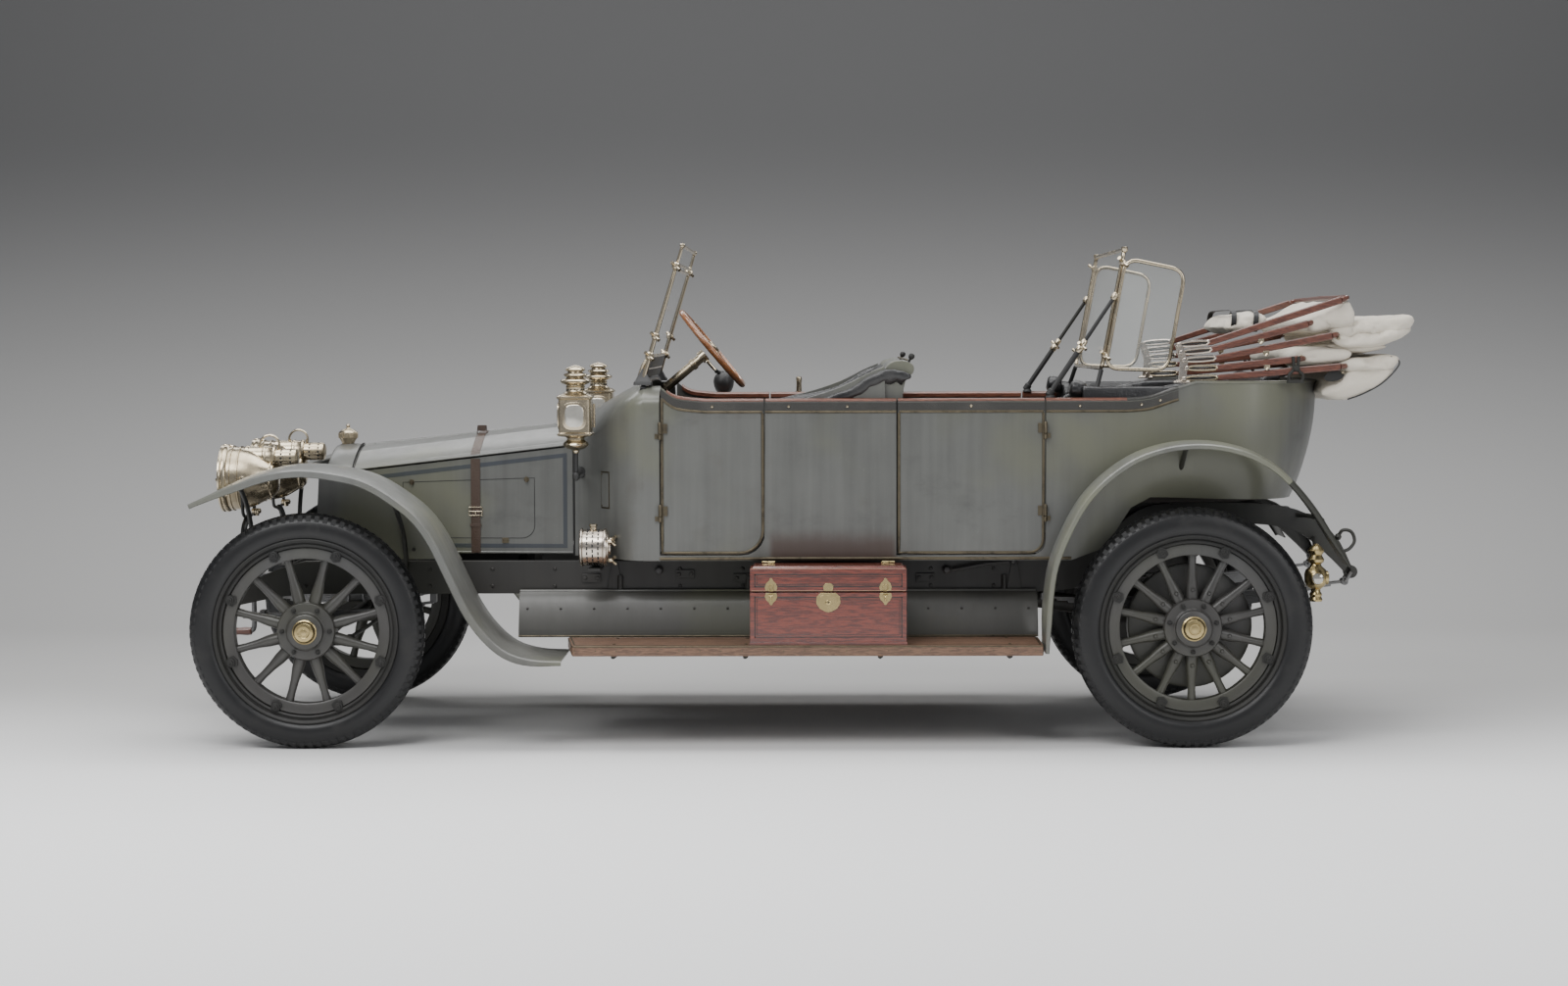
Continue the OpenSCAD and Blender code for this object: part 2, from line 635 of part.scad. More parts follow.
bow_y0 = 564;
bow_y1 = 588;
bow_ends = [[[-3370, 1503], [-3850, 1662]], [[-3381, 1477], [-3740, 1574]], [[-3396, 1445], [-3835, 1530]],
    [[-3402, 1411], [-3704, 1443]], [[-3404, 1374], [-3862, 1413]]];
bow_pivots = [[-3256, 1496], [-3264, 1467], [-3279, 1439], [-3286, 1408], [-3276, 1372]];
module hood_bows() {
    color([0.4, 0.2, 0.13]) from_axle() both_sides() {
        for (i = [0:4]) {
            p = bow_ends[i];
            m = (bow_y0 + bow_y1) / 2;
            side(bow_y0, bow_y1) polygon(strip([p[0] + [0, -12], p[1] + [0, -12]], -25));
            bar([bow_pivots[i][0], m, bow_pivots[i][1]], [p[0][0] - 6, m, p[0][1]], 5, 11);
        }
        side(bow_y0 + 4, bow_y1 - 4) polygon([[-3262, 1353], [-3300, 1353], [-3304, 1440], [-3276, 1510],
            [-3246, 1500], [-3266, 1430]]);
        block([-3300, half_body - 50, 1353], [-3264, half_body - 8, 1360]);
    }
}
module hood_canvas() {
    color([0.8, 0.76, 0.7]) from_axle() side(-558, 558) {
        polygon(through([[-3700, 1560], [-3783, 1619], [-3866, 1672], [-3905, 1655], [-3926, 1611],
            [-3905, 1562], [-3700, 1560]], 3));
        polygon(through([[-3790, 1530], [-3926, 1558], [-4058, 1592], [-4130, 1612], [hood_end_x + 2, 1585],
            [-4142, 1545], [-4059, 1512], [-3912, 1488], [-3790, 1530]], 3));
        polygon([[-3720, 1476], [-3894, 1476], [-3884, 1440], [-3720, 1428]]);
        polygon([[-3753, 1364], [-3913, 1432], [-4078, 1450], [-4096, 1424], [-4024, 1354], [-3890, 1284],
            [-3862, 1300], [-3862, 1364]]);
    }
}

// ---- mudguards and running boards ----

front_wing_line = through([[420, 919], [292, 975], [139, 1029], [0, 1047], [-154, 1028], [-255, 996],
    [-356, 933], [-431, 869], [-494, 780], [-556, 652], [-618, 525], [-681, 436], [-757, 371],
    [-850, 342], [-957, 336]], 3);
rear_wing_line = through([[-2748, 360], [-2750, 450], [-2756, 560], [-2776, 688], [-2827, 816],
    [-2890, 926], [-2968, 1009], [-3070, 1080], [-3172, 1118], [-3275, 1134], [-3378, 1131],
    [-3480, 1108], [-3558, 1072], [-3622, 1027], [-3686, 962], [-3751, 879], [-3816, 776], [-3875, 679]], 3);
wing_t = 8;
valance_y = rail_y + 4;
module front_wings() {
    color("gray") from_axle() both_sides() {
        side(valance_y, half_width - 8) polygon(strip(front_wing_line, wing_t));
        side(half_width - 20, half_width) polygon(strip(beside(front_wing_line, -1), 26));
        side(valance_y, valance_y + 4) polygon(concat(
            [for (p = beside(front_wing_line, wing_t - 1)) if (p[0] < 60 && p[1] > 690) p],
            [[-548, 684], [60, 684]]));
        bar([-330, valance_y + 5, 690], [-330, rail_y + 9, 640], 7, 7);
    }
}
module rear_wings() {
    color("gray") from_axle() both_sides() {
        side(half_body + 1, half_width - 8) polygon(strip(rear_wing_line, wing_t));
        side(half_width - 20, half_width) polygon(strip(beside(rear_wing_line, -1), 26));
        bar([-3770, half_body + 30, 848], [-3700, rail_y + 11, 852], 9, 9);
    }
}

board_x0 = -957;
board_x1 = -2741;
board_z = 392;
board_t = 38;
module running_boards() {
    color("saddlebrown") from_axle() both_sides() {
        plan(board_z - board_t, board_z) polygon([[board_x0, 520], [board_x0 - 40, half_width - 4],
            [board_x1, half_width - 4], [board_x1, 520]]);
        lengthwise(board_x1, -768) polygon([[rail_y + 1, 552], [rail_y + 32, 562], [rail_y + 40, 552],
            [519, board_z + 1], [513, board_z + 1], [rail_y + 34, 546], [rail_y + 10, 546]]);
        for (x = [-1150, -1640, -2140, -2620]) lengthwise(x - 20, x + 20)
            polygon([[rail_y, 640], [rail_y, 560], [rail_y + 8, 540], [500, board_z - board_t - 8], [780, 346],
                [780, board_z - board_t], [512, board_z - board_t], [rail_y + 22, 546], [rail_y + 8, 640]]);
    }
}

box_x0 = -1657;
box_x1 = -2236;
box_y0 = 632;
box_y1 = 800;
box_split = 590;
box_top = 684;
box_wall = 12;
lid_hinge = [box_y0 + 6, box_top + 2];
module tool_box() {
    color([0.4, 0.15, 0.12]) from_axle() {
        difference() {
            block([box_x1, box_y0, board_z], [box_x0, box_y1, box_split - 3]);
            block([box_x1 + box_wall, box_y0 + box_wall, board_z + box_wall],
                [box_x0 - box_wall, box_y1 - box_wall, box_top]);
        }
        block([box_x1, box_y0, box_split - 4], [box_x0, box_y0 + box_wall, box_top - 10]);
        for (x = [box_x0 - 90, box_x1 + 60]) translate([x, lid_hinge[0], lid_hinge[1]])
            rotate([0, 90, 0]) cylinder(h = 30, r = 3);
        for (x = [box_x0 - 62, box_x1 + 40]) {
            translate([x, lid_hinge[0], lid_hinge[1]]) rotate([0, 90, 0]) cylinder(h = 20, r = 6);
            block([x, box_y0, box_top - 40], [x + 20, box_y0 + 4, box_top]);
        }
    }
}
module tool_box_lid() {
    color([0.4, 0.15, 0.12]) from_axle() {
        difference() {
            block([box_x1, box_y0 + box_wall + 6, box_split + 2], [box_x0, box_y1, box_top]);
            block([box_x1 + box_wall, box_y0, box_split], [box_x0 - box_wall, box_y1 - box_wall,
                box_top - box_wall]);
        }
        for (x = [box_x0 - 90, box_x1 + 62]) difference() {
            union() {
                translate([x, lid_hinge[0], lid_hinge[1]]) rotate([0, 90, 0]) cylinder(h = 26, r = 6);
                block([x, lid_hinge[0], box_top - 4], [x + 26, box_y0 + 40, box_top + 4]);
            }
            translate([x - 5, lid_hinge[0], lid_hinge[1]]) rotate([0, 90, 0]) cylinder(h = 40, r = 3 + pin_fit);
        }
    }
}

// ---- lamps and fittings ----

head_y = 298;
head_z = 990;
module headlamp() {
    translate([0, head_y, head_z]) {
        rotate([0, 90, 0]) rotate_extrude($fn = 64) polygon([[0, 180], [60, 184], [76, 215], [104, 262],
            [120, 320], [122, 366], [131, 370], [131, 394], [112, 396], [106, 384], [0, 384]]);
        translate([104, 0, 78]) rotate([0, 90, 0]) cylinder(h = 92, r = 36);
        translate([190, 0, 78]) rotate([0, 90, 0]) cylinder(h = 123, r = 45);
        translate([215, 0, 130]) rotate([90, 0, 0]) rotate_extrude() translate([38, 0]) circle(5, $fn = 16);
        for (s = [-1, 1]) bar([300, s * 117, 0], [300, s * 117, -146], 6, 6);
        for (s = [-1, 1]) bar([300, s * 124, 0], [300, s * 104, 0], 12, 12);
        bar([300, -117, -146], [300, 117, -146], 9, 9);
        bar([270, 0, -118], [270, 0, -98], 16, 16);
    }
    bar([300, spring_y, 598], [300, spring_y, head_z - 146], 11, 11);
}
side_lamp_x = -995;
side_lamp_y = 550;
module side_lamp() {
    translate([side_lamp_x, side_lamp_y, 0]) {
        rotate_extrude($fn = 32) polygon([[0, 1092], [12, 1096], [20, 1108], [34, 1112], [48, 1126],
            [44, 1138], [34, 1146], [40, 1160], [0, 1160]]);
        block([-62, -62, 1159], [62, 62, 1312]);
        rotate_extrude($fn = 32) polygon([[0, 1310], [44, 1312], [36, 1328], [36, 1348], [56, 1360],
            [56, 1370], [34, 1378], [44, 1390], [30, 1400], [38, 1412], [20, 1424], [0, 1427]]);
        for (s = [-1, 1]) translate([0, s * 58, 1238]) rotate([-90 * s, 0, 0]) cylinder(h = 10, r = 44);
        for (s = [1]) translate([58 * s, 0, 1238]) rotate([0, 90 * s, 0]) cylinder(h = 10, r = 44);
        bar([0, 0, 1094], [0, 0, 1010], 8, 8);
        bar([0, 0, 1016], [0, -193, 1016], 8, 8);
    }
}
module generator() {
    translate([-1110, 568, 739]) rotate([0, 90, 0]) {
        cylinder(h = 100, r = 68);
        for (z = [-6, 94]) translate([0, 0, z]) cylinder(h = 12, r = 73);
        for (a = [90, 210, 330]) rotate([0, 0, a]) translate([60, 0, -34]) cylinder(h = 34, r = 5);
    }
    block([-1090, 440, 655], [-1040, 600, 664]);
    block([-1090, rail_y, 640], [-1040, 445, 664]);
}
module tail_lamp() {
    translate([-3786, 560, 0]) rotate_extrude($fn = 32) polygon([[0, 528], [26, 528], [24, 560], [18, 575],
        [42, 600], [42, 640], [20, 668], [30, 690], [24, 712], [30, 724], [0, 748]]);
    bar([-3786, 560, 690], [-3800, rail_y + 5, 760], 7, 7);
}
module lamps() {
    color("gold") from_axle() {
        both_sides() headlamp();
        both_sides() side_lamp();
        generator();
        tail_lamp();
    }
}
module horn_bulb() {
    color([0.1, 0.1, 0.1]) from_axle() translate([-1514, -654, 1300]) {
        rotate_extrude() polygon(concat([[0, -66], [12, -66], [14, -14]],
            through([[14, -14], [36, 8], [44, 40], [34, 72], [14, 88]], 5), [[0, 90]]));
        block([-14, 10, -66], [14, 33.9, -20]);
    }
}
module hand_levers() {
    color([0.2, 0.2, 0.2]) from_axle() {
        for (l = [[-1830, 1364, 0], [-1745, 1210, -24]]) translate([0, l[2], 0]) {
            side(-668, -654) polygon(strip([[-1780, 612], [l[0] + 8, l[1] - 60]], 20));
            translate([l[0], -661, l[1] - 70]) cylinder(h = 70, r = 13);
        }
        block([-1808, -700, 582], [-1770, -rail_y, 614]);
    }
}
module starting_handle() {
    color("saddlebrown") from_axle() {
        bar([110, 0, 590], [352, 0, 590], 11, 11);
        bar([344, 0, 598], [344, 0, 352], 10, 10);
        bar([350, 0, 362], [434, 0, 362], 15, 13);
    }
}

frame_rails();
front_axle();
rear_axle();
leaf_springs();
engine_block();
radiator();
cowl();
floor();
tub();
front_seat_shell();
front_seat_pads();
rear_seat_pads();
steering_column();
screen_frames();
screen_glass();
hood_bows();
hood_canvas();
front_wings();
rear_wings();
running_boards();
tool_box();
lamps();
horn_bulb();
hand_levers();
starting_handle();
tool_box_lid();
bonnet_top();  // bonnet_top_left
mirror([0, 1, 0]) bonnet_top();  // bonnet_top_right
bonnet_side();  // bonnet_side_left
mirror([0, 1, 0]) bonnet_side();  // bonnet_side_right
front_door();  // front_door_left
mirror([0, 1, 0]) front_door();  // front_door_right
rear_door();  // rear_door_left
mirror([0, 1, 0]) rear_door();  // rear_door_right
steering_wheel();
knuckle();  // knuckle_left
mirror([0, 1, 0]) knuckle();  // knuckle_right
tie_rod();
front_wheel();  // front_wheel_left
mirror([0, 1, 0]) front_wheel();  // front_wheel_right
rear_wheel();  // rear_wheel_left
mirror([0, 1, 0]) rear_wheel();  // rear_wheel_right
front_tyre();  // front_tyre_left
mirror([0, 1, 0]) front_tyre();  // front_tyre_right
rear_tyre();  // rear_tyre_left
mirror([0, 1, 0]) rear_tyre();  // rear_tyre_right
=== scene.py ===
import json
import random
from math import atan2, copysign, cos, dist, pi, radians, sin, sqrt

import bmesh
import bpy
from bpy.props import FloatProperty, FloatVectorProperty, IntProperty, PointerProperty
from mathutils import Matrix, Vector, noise


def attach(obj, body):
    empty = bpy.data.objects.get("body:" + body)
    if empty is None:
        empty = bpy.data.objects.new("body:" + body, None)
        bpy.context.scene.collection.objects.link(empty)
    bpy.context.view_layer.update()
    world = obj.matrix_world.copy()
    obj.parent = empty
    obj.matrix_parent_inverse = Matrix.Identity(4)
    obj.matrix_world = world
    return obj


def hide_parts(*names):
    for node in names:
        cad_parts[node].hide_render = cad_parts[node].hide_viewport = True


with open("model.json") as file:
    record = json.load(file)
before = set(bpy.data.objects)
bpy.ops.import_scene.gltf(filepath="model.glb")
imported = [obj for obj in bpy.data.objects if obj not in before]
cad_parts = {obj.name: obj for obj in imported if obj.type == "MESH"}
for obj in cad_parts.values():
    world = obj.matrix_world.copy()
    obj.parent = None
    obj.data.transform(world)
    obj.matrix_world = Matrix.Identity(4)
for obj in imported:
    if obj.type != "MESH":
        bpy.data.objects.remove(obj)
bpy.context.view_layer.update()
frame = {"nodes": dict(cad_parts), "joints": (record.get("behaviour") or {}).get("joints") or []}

bl_info = {
    "name": "Brass Era Touring Car",
    "version": (1, 0, 0),
    "blender": (4, 5, 0),
    "location": "View3D > Sidebar > Touring Car",
    "description": "Builds the coachwork, wheels, lamps, trim and stage of an early touring car",
    "category": "Object",
}

# Places shared by many pieces, in metres. X is measured from the front axle and grows forward.
JOINTS = {j["name"]: j for j in frame["joints"]}
FRONT_X = JOINTS["steering"]["pos_m"][0]
FRONT_R = JOINTS["front_wheel_left_spin"]["pos_m"][2]
REAR_R = JOINTS["rear_wheel_left_spin"]["pos_m"][2]
REAR_X = JOINTS["rear_wheel_left_spin"]["pos_m"][0] - FRONT_X
WHEEL_Y = JOINTS["front_wheel_left_spin"]["pos_m"][1]
HALF_BODY = 0.62
HALF_CAR = 0.82
SILL_Z = 0.69
RAIL_Z = 1.29
DASH_X = -0.97
SCREEN_X = -1.25
COWL_BACK = -1.314
DOOR_F = (-1.32, -1.706)
DOOR_R = (-2.209, -2.758)
DOOR_Z = 0.716
TUB_CURVE_X = -3.354
TUB_REAR_X = -3.854
CLOTH_FRAMES = 20
SIDES = (("left", 1), ("right", -1))
AHEAD, BACK, LEFT, UP = (1, 0, 0), (-1, 0, 0), (0, 1, 0), (0, 0, 1)
TURN = 2 * pi
HINGE_Y = 0.629
HINGE_ZS = (0.84, 1.15)
BOX_FACES = [[0, 1, 3, 2], [4, 6, 7, 5], [0, 4, 5, 1], [2, 3, 7, 6], [0, 2, 6, 4], [1, 5, 7, 3]]


def lerp(a, b, t):
    return a + (b - a) * t


def scaled(colour, k):
    return tuple(c * k for c in colour)


def smooth(t):
    t = max(0.0, min(1.0, t))
    return t * t * (3 - 2 * t)


def through(points, steps):
    """A smooth curve through points, with steps between each pair."""
    pts = [Vector(p) for p in points]
    out = []
    for k in range(len(pts) - 1):
        a, b, c, d = pts[max(k - 1, 0)], pts[k], pts[k + 1], pts[min(k + 2, len(pts) - 1)]
        for i in range(steps):
            t = i / steps
            out.append(0.5 * (2 * b + (c - a) * t + (2 * a - 5 * b + 4 * c - d) * t * t + (3 * b - a - 3 * c + d) * t **
                    3))
    return out + [pts[-1]]


def flat(points, y=0.0):
    """Side view points (x, z) as 3-D points in the plane y."""
    return [Vector((p[0], y, p[1])) for p in points]


def along(path, x):
    """Height of a side view path at x, where the path runs backwards."""
    for a, b in zip(path, path[1:]):
        if b[0] <= x <= a[0]:
            return lerp(a[1], b[1], (a[0] - x) / max(a[0] - b[0], 1e-9))
    return path[-1][1] if x < path[-1][0] else path[0][1]


class Shape:
    """Faces that are joined into one piece, each with the number of its material."""

    def __init__(self):
        self.points = []
        self.faces = []
        self.finish = []

    def add(self, points, faces, finish=0):
        start = len(self.points)
        self.points += [Vector(p) for p in points]
        self.faces += [[start + i for i in f] for f in faces]
        self.finish += [finish] * len(faces)
        return self

    def loft(self, rings, finish=0, loop=False):
        """A skin through closed rings of equal length: loop joins the last ring to the first."""
        n, m = len(rings[0]), len(rings)
        faces = []
        for j in range(m if loop else m - 1):
            for i in range(n):
                a, b = j * n + i, j * n + (i + 1) % n
                c, d = ((j + 1) % m) * n + (i + 1) % n, ((j + 1) % m) * n + i
                faces.append([a, b, c, d])
        if not loop:
            faces.append(list(range(n - 1, -1, -1)))
            faces.append([(m - 1) * n + i for i in range(n)])
        return self.add([p for r in rings for p in r], faces, finish)

    def lathe(self, profile, at, axis, steps=32, finish=0):
        """profile holds (radius, distance along axis) pairs, turned round the axis through at."""
        axis = Vector(axis).normalized()
        side = axis.orthogonal().normalized()
        up = axis.cross(side)
        at = Vector(at)
        rings = []
        for r, h in profile:
            rings.append([at + axis * h + max(r, 1e-5) * (
                side * cos(TURN * i / steps) + up * sin(TURN * i / steps))
                for i in range(steps)])
        return self.loft(rings, finish)

    def tube(self, path, radius, steps=10, finish=0, loop=False, flatten=1.0, up=None):
        """A round tube along path: radius is a number or a function of the share of the path."""
        pts = [Vector(p) for p in path]
        size = radius if callable(radius) else (lambda t: radius)
        n = len(pts)
        normal, rings = Vector(up) if up else None, []
        for k, p in enumerate(pts):
            a = pts[(k - 1) % n] if loop or k else p
            b = pts[(k + 1) % n] if loop or k < n - 1 else p
            d = (b - a).normalized()
            if normal is None:
                normal = d.orthogonal().normalized()
            normal = (normal - d * normal.dot(d)).normalized()
            other = d.cross(normal)
            r = size(k / max(n - 1, 1))
            rings.append([p + r * (normal * cos(TURN * i / steps) * flatten + other * sin(TURN * i / steps)) for i in
                    range(steps)])
        return self.loft(rings, finish, loop=loop)

    def sweep(self, section, path, finish=0, loop=False, up=LEFT):
        """A closed section of (across, out) pairs carried along path; across follows up."""
        pts = [Vector(p) for p in path]
        n, rings = len(pts), []
        for k, p in enumerate(pts):
            a = pts[(k - 1) % n] if loop or k else p
            b = pts[(k + 1) % n] if loop or k < n - 1 else p
            d = (b - a).normalized()
            across = (Vector(up) - d * Vector(up).dot(d)).normalized()
            out = d.cross(across)
            rings.append([p + across * s[0] + out * s[1] for s in section])
        return self.loft(rings, finish, loop=loop)

    def block(self, lo, hi, finish=0, turn=None):
        x, y, z = zip(lo, hi)
        pts = [Vector((x[i], y[j], z[k])) for i in (0, 1) for j in (0, 1) for k in (0, 1)]
        if turn:
            middle = (Vector(lo) + Vector(hi)) / 2
            pts = [middle + turn @ (p - middle) for p in pts]
        return self.add(pts, BOX_FACES, finish)

    def plate(self, outline, y0, y1, finish=0):
        """A side view outline made into a plate from y0 to y1."""
        n = len(outline)
        lo, hi = flat(outline, y0), flat(outline, y1)
        return self.add(lo + hi, [list(range(n)), [2 * n - 1 - i for i in range(n)]]
                        + [[i, i + n, (i + 1) % n + n, (i + 1) % n] for i in range(n)], finish)

    def bolt(self, at, axis, r, h, finish=0, sides=6):
        """A hexagon head, or a dome where sides is more than 6."""
        profile = [(r, 0), (r, h * 0.8), (r * 0.8, h), (0, h)]
        if sides > 6:
            profile = [(r, 0), (r * 0.92, h * 0.45), (r * 0.6, h * 0.85), (0, h)]
        return self.lathe(profile, at, axis, sides, finish)

    def wing_nut(self, at, axis, size=1.0, finish=0):
        axis = Vector(axis).normalized()
        side = axis.orthogonal().normalized()
        self.lathe([(0.008 * size, 0), (0.007 * size, 0.012 * size), (0, 0.014 * size)], at, axis, 10, finish)
        for s in (-1, 1):
            self.tube([Vector(at) + axis * 0.008 * size, Vector(at) + axis * 0.014 * size + side * s * 0.01 * size,
                       Vector(at) + axis * 0.02 * size + side * s * 0.017 * size],
                      lambda t: (0.003 + 0.003 * t) * size, 8, finish)
        return self

    def mirrored(self):
        """Adds the right-hand twin of everything so far."""
        pts = [Vector((p.x, -p.y, p.z)) for p in self.points]
        faces = [list(reversed(f)) for f in self.faces]
        start = len(self.points)
        self.points += pts
        self.faces += [[start + i for i in f] for f in faces]
        self.finish += list(self.finish)
        return self

    def moved(self, matrix):
        self.points = [matrix @ p for p in self.points]
        if matrix.determinant() < 0:
            self.faces = [list(reversed(f)) for f in self.faces]
        return self

    def join(self, other):
        start = len(self.points)
        self.points += [p.copy() for p in other.points]
        self.faces += [[start + i for i in f] for f in other.faces]
        self.finish += other.finish
        return self


MIRROR = {1: Matrix.Identity(4), -1: Matrix.Diagonal((1, -1, 1, 1))}
CREASE_ANGLE = radians(35)


def modifier(piece, kind, **settings):
    m = piece.modifiers.new(kind.title(), kind)
    for name, value in settings.items():
        setattr(m, name, value)
    return m


def apply_modifiers(piece):
    """Turns what the modifiers make into the piece's own mesh."""
    depsgraph = bpy.context.evaluated_depsgraph_get()
    mesh = bpy.data.meshes.new_from_object(piece.evaluated_get(depsgraph))
    piece.modifiers.clear()
    piece.data = mesh


def put(name, shape, finishes, body="car", bevel=0.0, crease=CREASE_ANGLE, replaces=(), local=True,
        weld=False):
    """Makes a piece from a shape that is drawn from the front axle, and lets it ride on a body."""
    mesh = bpy.data.meshes.new(name)
    offset = Vector((FRONT_X, 0, 0)) if local else Vector()
    mesh.from_pydata([p + offset for p in shape.points], [], shape.faces)
    for f in finishes:
        mesh.materials.append(FINISHES[f])
    mesh.polygons.foreach_set("material_index", shape.finish)
    mesh.validate()
    piece = bpy.data.objects.new(name, mesh)
    bpy.context.scene.collection.objects.link(piece)
    tidy_mesh(mesh, weld, crease)
    if bevel:
        modifier(piece, "BEVEL", width=bevel, segments=2, limit_method="ANGLE", angle_limit=radians(40),
                 harden_normals=False)
    if body:
        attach(piece, body)
    if replaces:
        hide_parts(*replaces)
    return piece


def tidy_mesh(mesh, weld, crease):
    """Points every face outward, smooths it and keeps edges sharper than crease sharp."""
    b = bmesh.new()
    b.from_mesh(mesh)
    if weld:
        bmesh.ops.remove_doubles(b, verts=b.verts, dist=1e-5)
    bmesh.ops.dissolve_degenerate(b, dist=1e-6, edges=b.edges)
    bmesh.ops.recalc_face_normals(b, faces=b.faces)
    b.to_mesh(mesh)
    b.free()
    mesh.shade_smooth()
    mesh.set_sharp_from_angle(angle=crease)


def stuffed(piece, voxel, pressure, slack, cap):
    """Lets a soft piece swell and wrinkle as cloth, and keeps the shape that it takes. slack is how much bigger its
    cloth is than its shape, and cap is how far any point may move."""
    modifier(piece, "REMESH", mode="VOXEL", voxel_size=voxel)
    apply_modifiers(piece)
    mesh = piece.data
    start = [v.co.copy() for v in mesh.vertices]
    cloth = modifier(piece, "CLOTH")
    cloth.settings.quality = 4
    cloth.settings.use_pressure = True
    cloth.settings.uniform_pressure_force = pressure
    cloth.settings.shrink_min = -slack
    cloth.settings.effector_weights.gravity = 0
    cloth.point_cache.frame_start, cloth.point_cache.frame_end = 1, CLOTH_FRAMES
    scene = bpy.context.scene
    for f in range(1, CLOTH_FRAMES + 1):
        scene.frame_set(f)
    solved = piece.evaluated_get(bpy.context.evaluated_depsgraph_get()).to_mesh()
    ends = [v.co.copy() for v in solved.vertices]
    piece.modifiers.remove(cloth)
    scene.frame_set(1)
    for v, a, b in zip(mesh.vertices, start, ends):
        move = b - a
        v.co = a + move * min(1.0, cap / max(move.length, 1e-9))
    mesh.shade_smooth()


# ---- finishes ----

class Field:
    """A number that varies over a surface. Arithmetic on fields adds the Math nodes that work it out."""

    def __init__(self, finish, socket):
        self.finish = finish
        self.socket = socket

    def _maths(self, operation, a, b=None):
        values = {0: a} if b is None else {0: a, 1: b}
        return self.finish.node("ShaderNodeMath", {"operation": operation}, values).out()

    def __add__(self, other):
        return self._maths("ADD", self, other)

    __radd__ = __add__

    def __mul__(self, other):
        return self._maths("MULTIPLY", self, other)

    __rmul__ = __mul__

    def __sub__(self, other):
        return self._maths("SUBTRACT", self, other)

    def __rsub__(self, other):
        return self._maths("SUBTRACT", other, self)

    def above(self, low, high):
        """0 below low and 1 above high, with a smooth step between them."""
        return self.finish.node("ShaderNodeMapRange", {"interpolation_type": "SMOOTHSTEP", "clamp": True},
                {"Value": self, "From Min": low, "From Max": high}).out()

    def sine(self):
        return self._maths("SINE", self)


class Node:
    def __init__(self, finish, node):
        self.finish = finish
        self.node = node

    def out(self, name=0):
        return Field(self.finish, self.node.outputs[name])


class Finish:
    """One material, with the nodes that give its colour, roughness and relief."""

    def __init__(self, name, **constants):
        self.material = bpy.data.materials.new(name)
        self.material.use_nodes = True
        self.tree = self.material.node_tree
        self.tree.nodes.clear()
        self.shader = self.node("ShaderNodeBsdfPrincipled", {}, constants)
        end = self.tree.nodes.new("ShaderNodeOutputMaterial")
        self.tree.links.new(self.shader.node.outputs[0], end.inputs[0])
        self.place = self.node("ShaderNodeTexCoord", {}, {}).out("Object")

    def node(self, kind, settings, sockets):
        """Adds a node: its settings first, then the values or links of its sockets."""
        n = self.tree.nodes.new(kind)
        for name, value in settings.items():
            if name == "stops":
                ramp = n.color_ramp.elements
                while len(ramp) < len(value):
                    ramp.new(0.5)
                for stop, (place, colour) in zip(ramp, value):
                    stop.position = place
                    stop.color = (*colour, 1)
            else:
                setattr(n, name, value)
        for name, value in sockets.items():
            key = name.replace("_", " ") if isinstance(name, str) else name
            if isinstance(value, Field):
                self.tree.links.new(value.socket, n.inputs[key])
            elif hasattr(value, "__len__") and len(value) == 3 and n.inputs[key].type == "RGBA":
                n.inputs[key].default_value = (*value, 1)
            else:
                n.inputs[key].default_value = value
        return Node(self, n)

    def stretched(self, scale):
        return self.node("ShaderNodeVectorMath", {"operation": "MULTIPLY"}, {0: self.place, 1: scale}).out()

    def cloud(self, scale, detail=3.0, stretch=(1, 1, 1), roughness=0.55):
        """Soft noise from 0 to 1: scale is in lumps a metre."""
        vector = self.place if stretch == (1, 1, 1) else self.stretched(stretch)
        return self.node("ShaderNodeTexNoise", {},
                         {"Vector": vector, "Scale": scale, "Detail": detail, "Roughness": roughness}).out()

    def cells(self, scale, feature="F1", stretch=(1, 1, 1)):
        vector = self.place if stretch == (1, 1, 1) else self.stretched(stretch)
        return self.node("ShaderNodeTexVoronoi", {"feature": feature}, {"Vector": vector, "Scale": scale}).out()

    def blend(self, a, b, share):
        """Colour a where share is 0, and b where it is 1."""
        mix = self.node("ShaderNodeMix", {"data_type": "RGBA"}, {0: share, 6: a, 7: b})
        return Field(self, mix.node.outputs[2])

    def axis(self, index):
        parts = self.node("ShaderNodeSeparateXYZ", {}, {0: self.place})
        return Field(self, parts.node.outputs[index])

    def relief(self, height, depth, strength=1.0):
        return self.node("ShaderNodeBump", {}, {"Height": height, "Distance": depth, "Strength": strength}).out()

    def wears(self, **inputs):
        """Links what varies to the shader's own sockets."""
        for name, value in inputs.items():
            socket = self.shader.node.inputs[name.replace("_", " ")]
            if isinstance(value, Field):
                self.tree.links.new(value.socket, socket)
            elif hasattr(value, "__len__") and len(value) == 3:
                socket.default_value = (*value, 1)
            else:
                socket.default_value = value
        return self.material


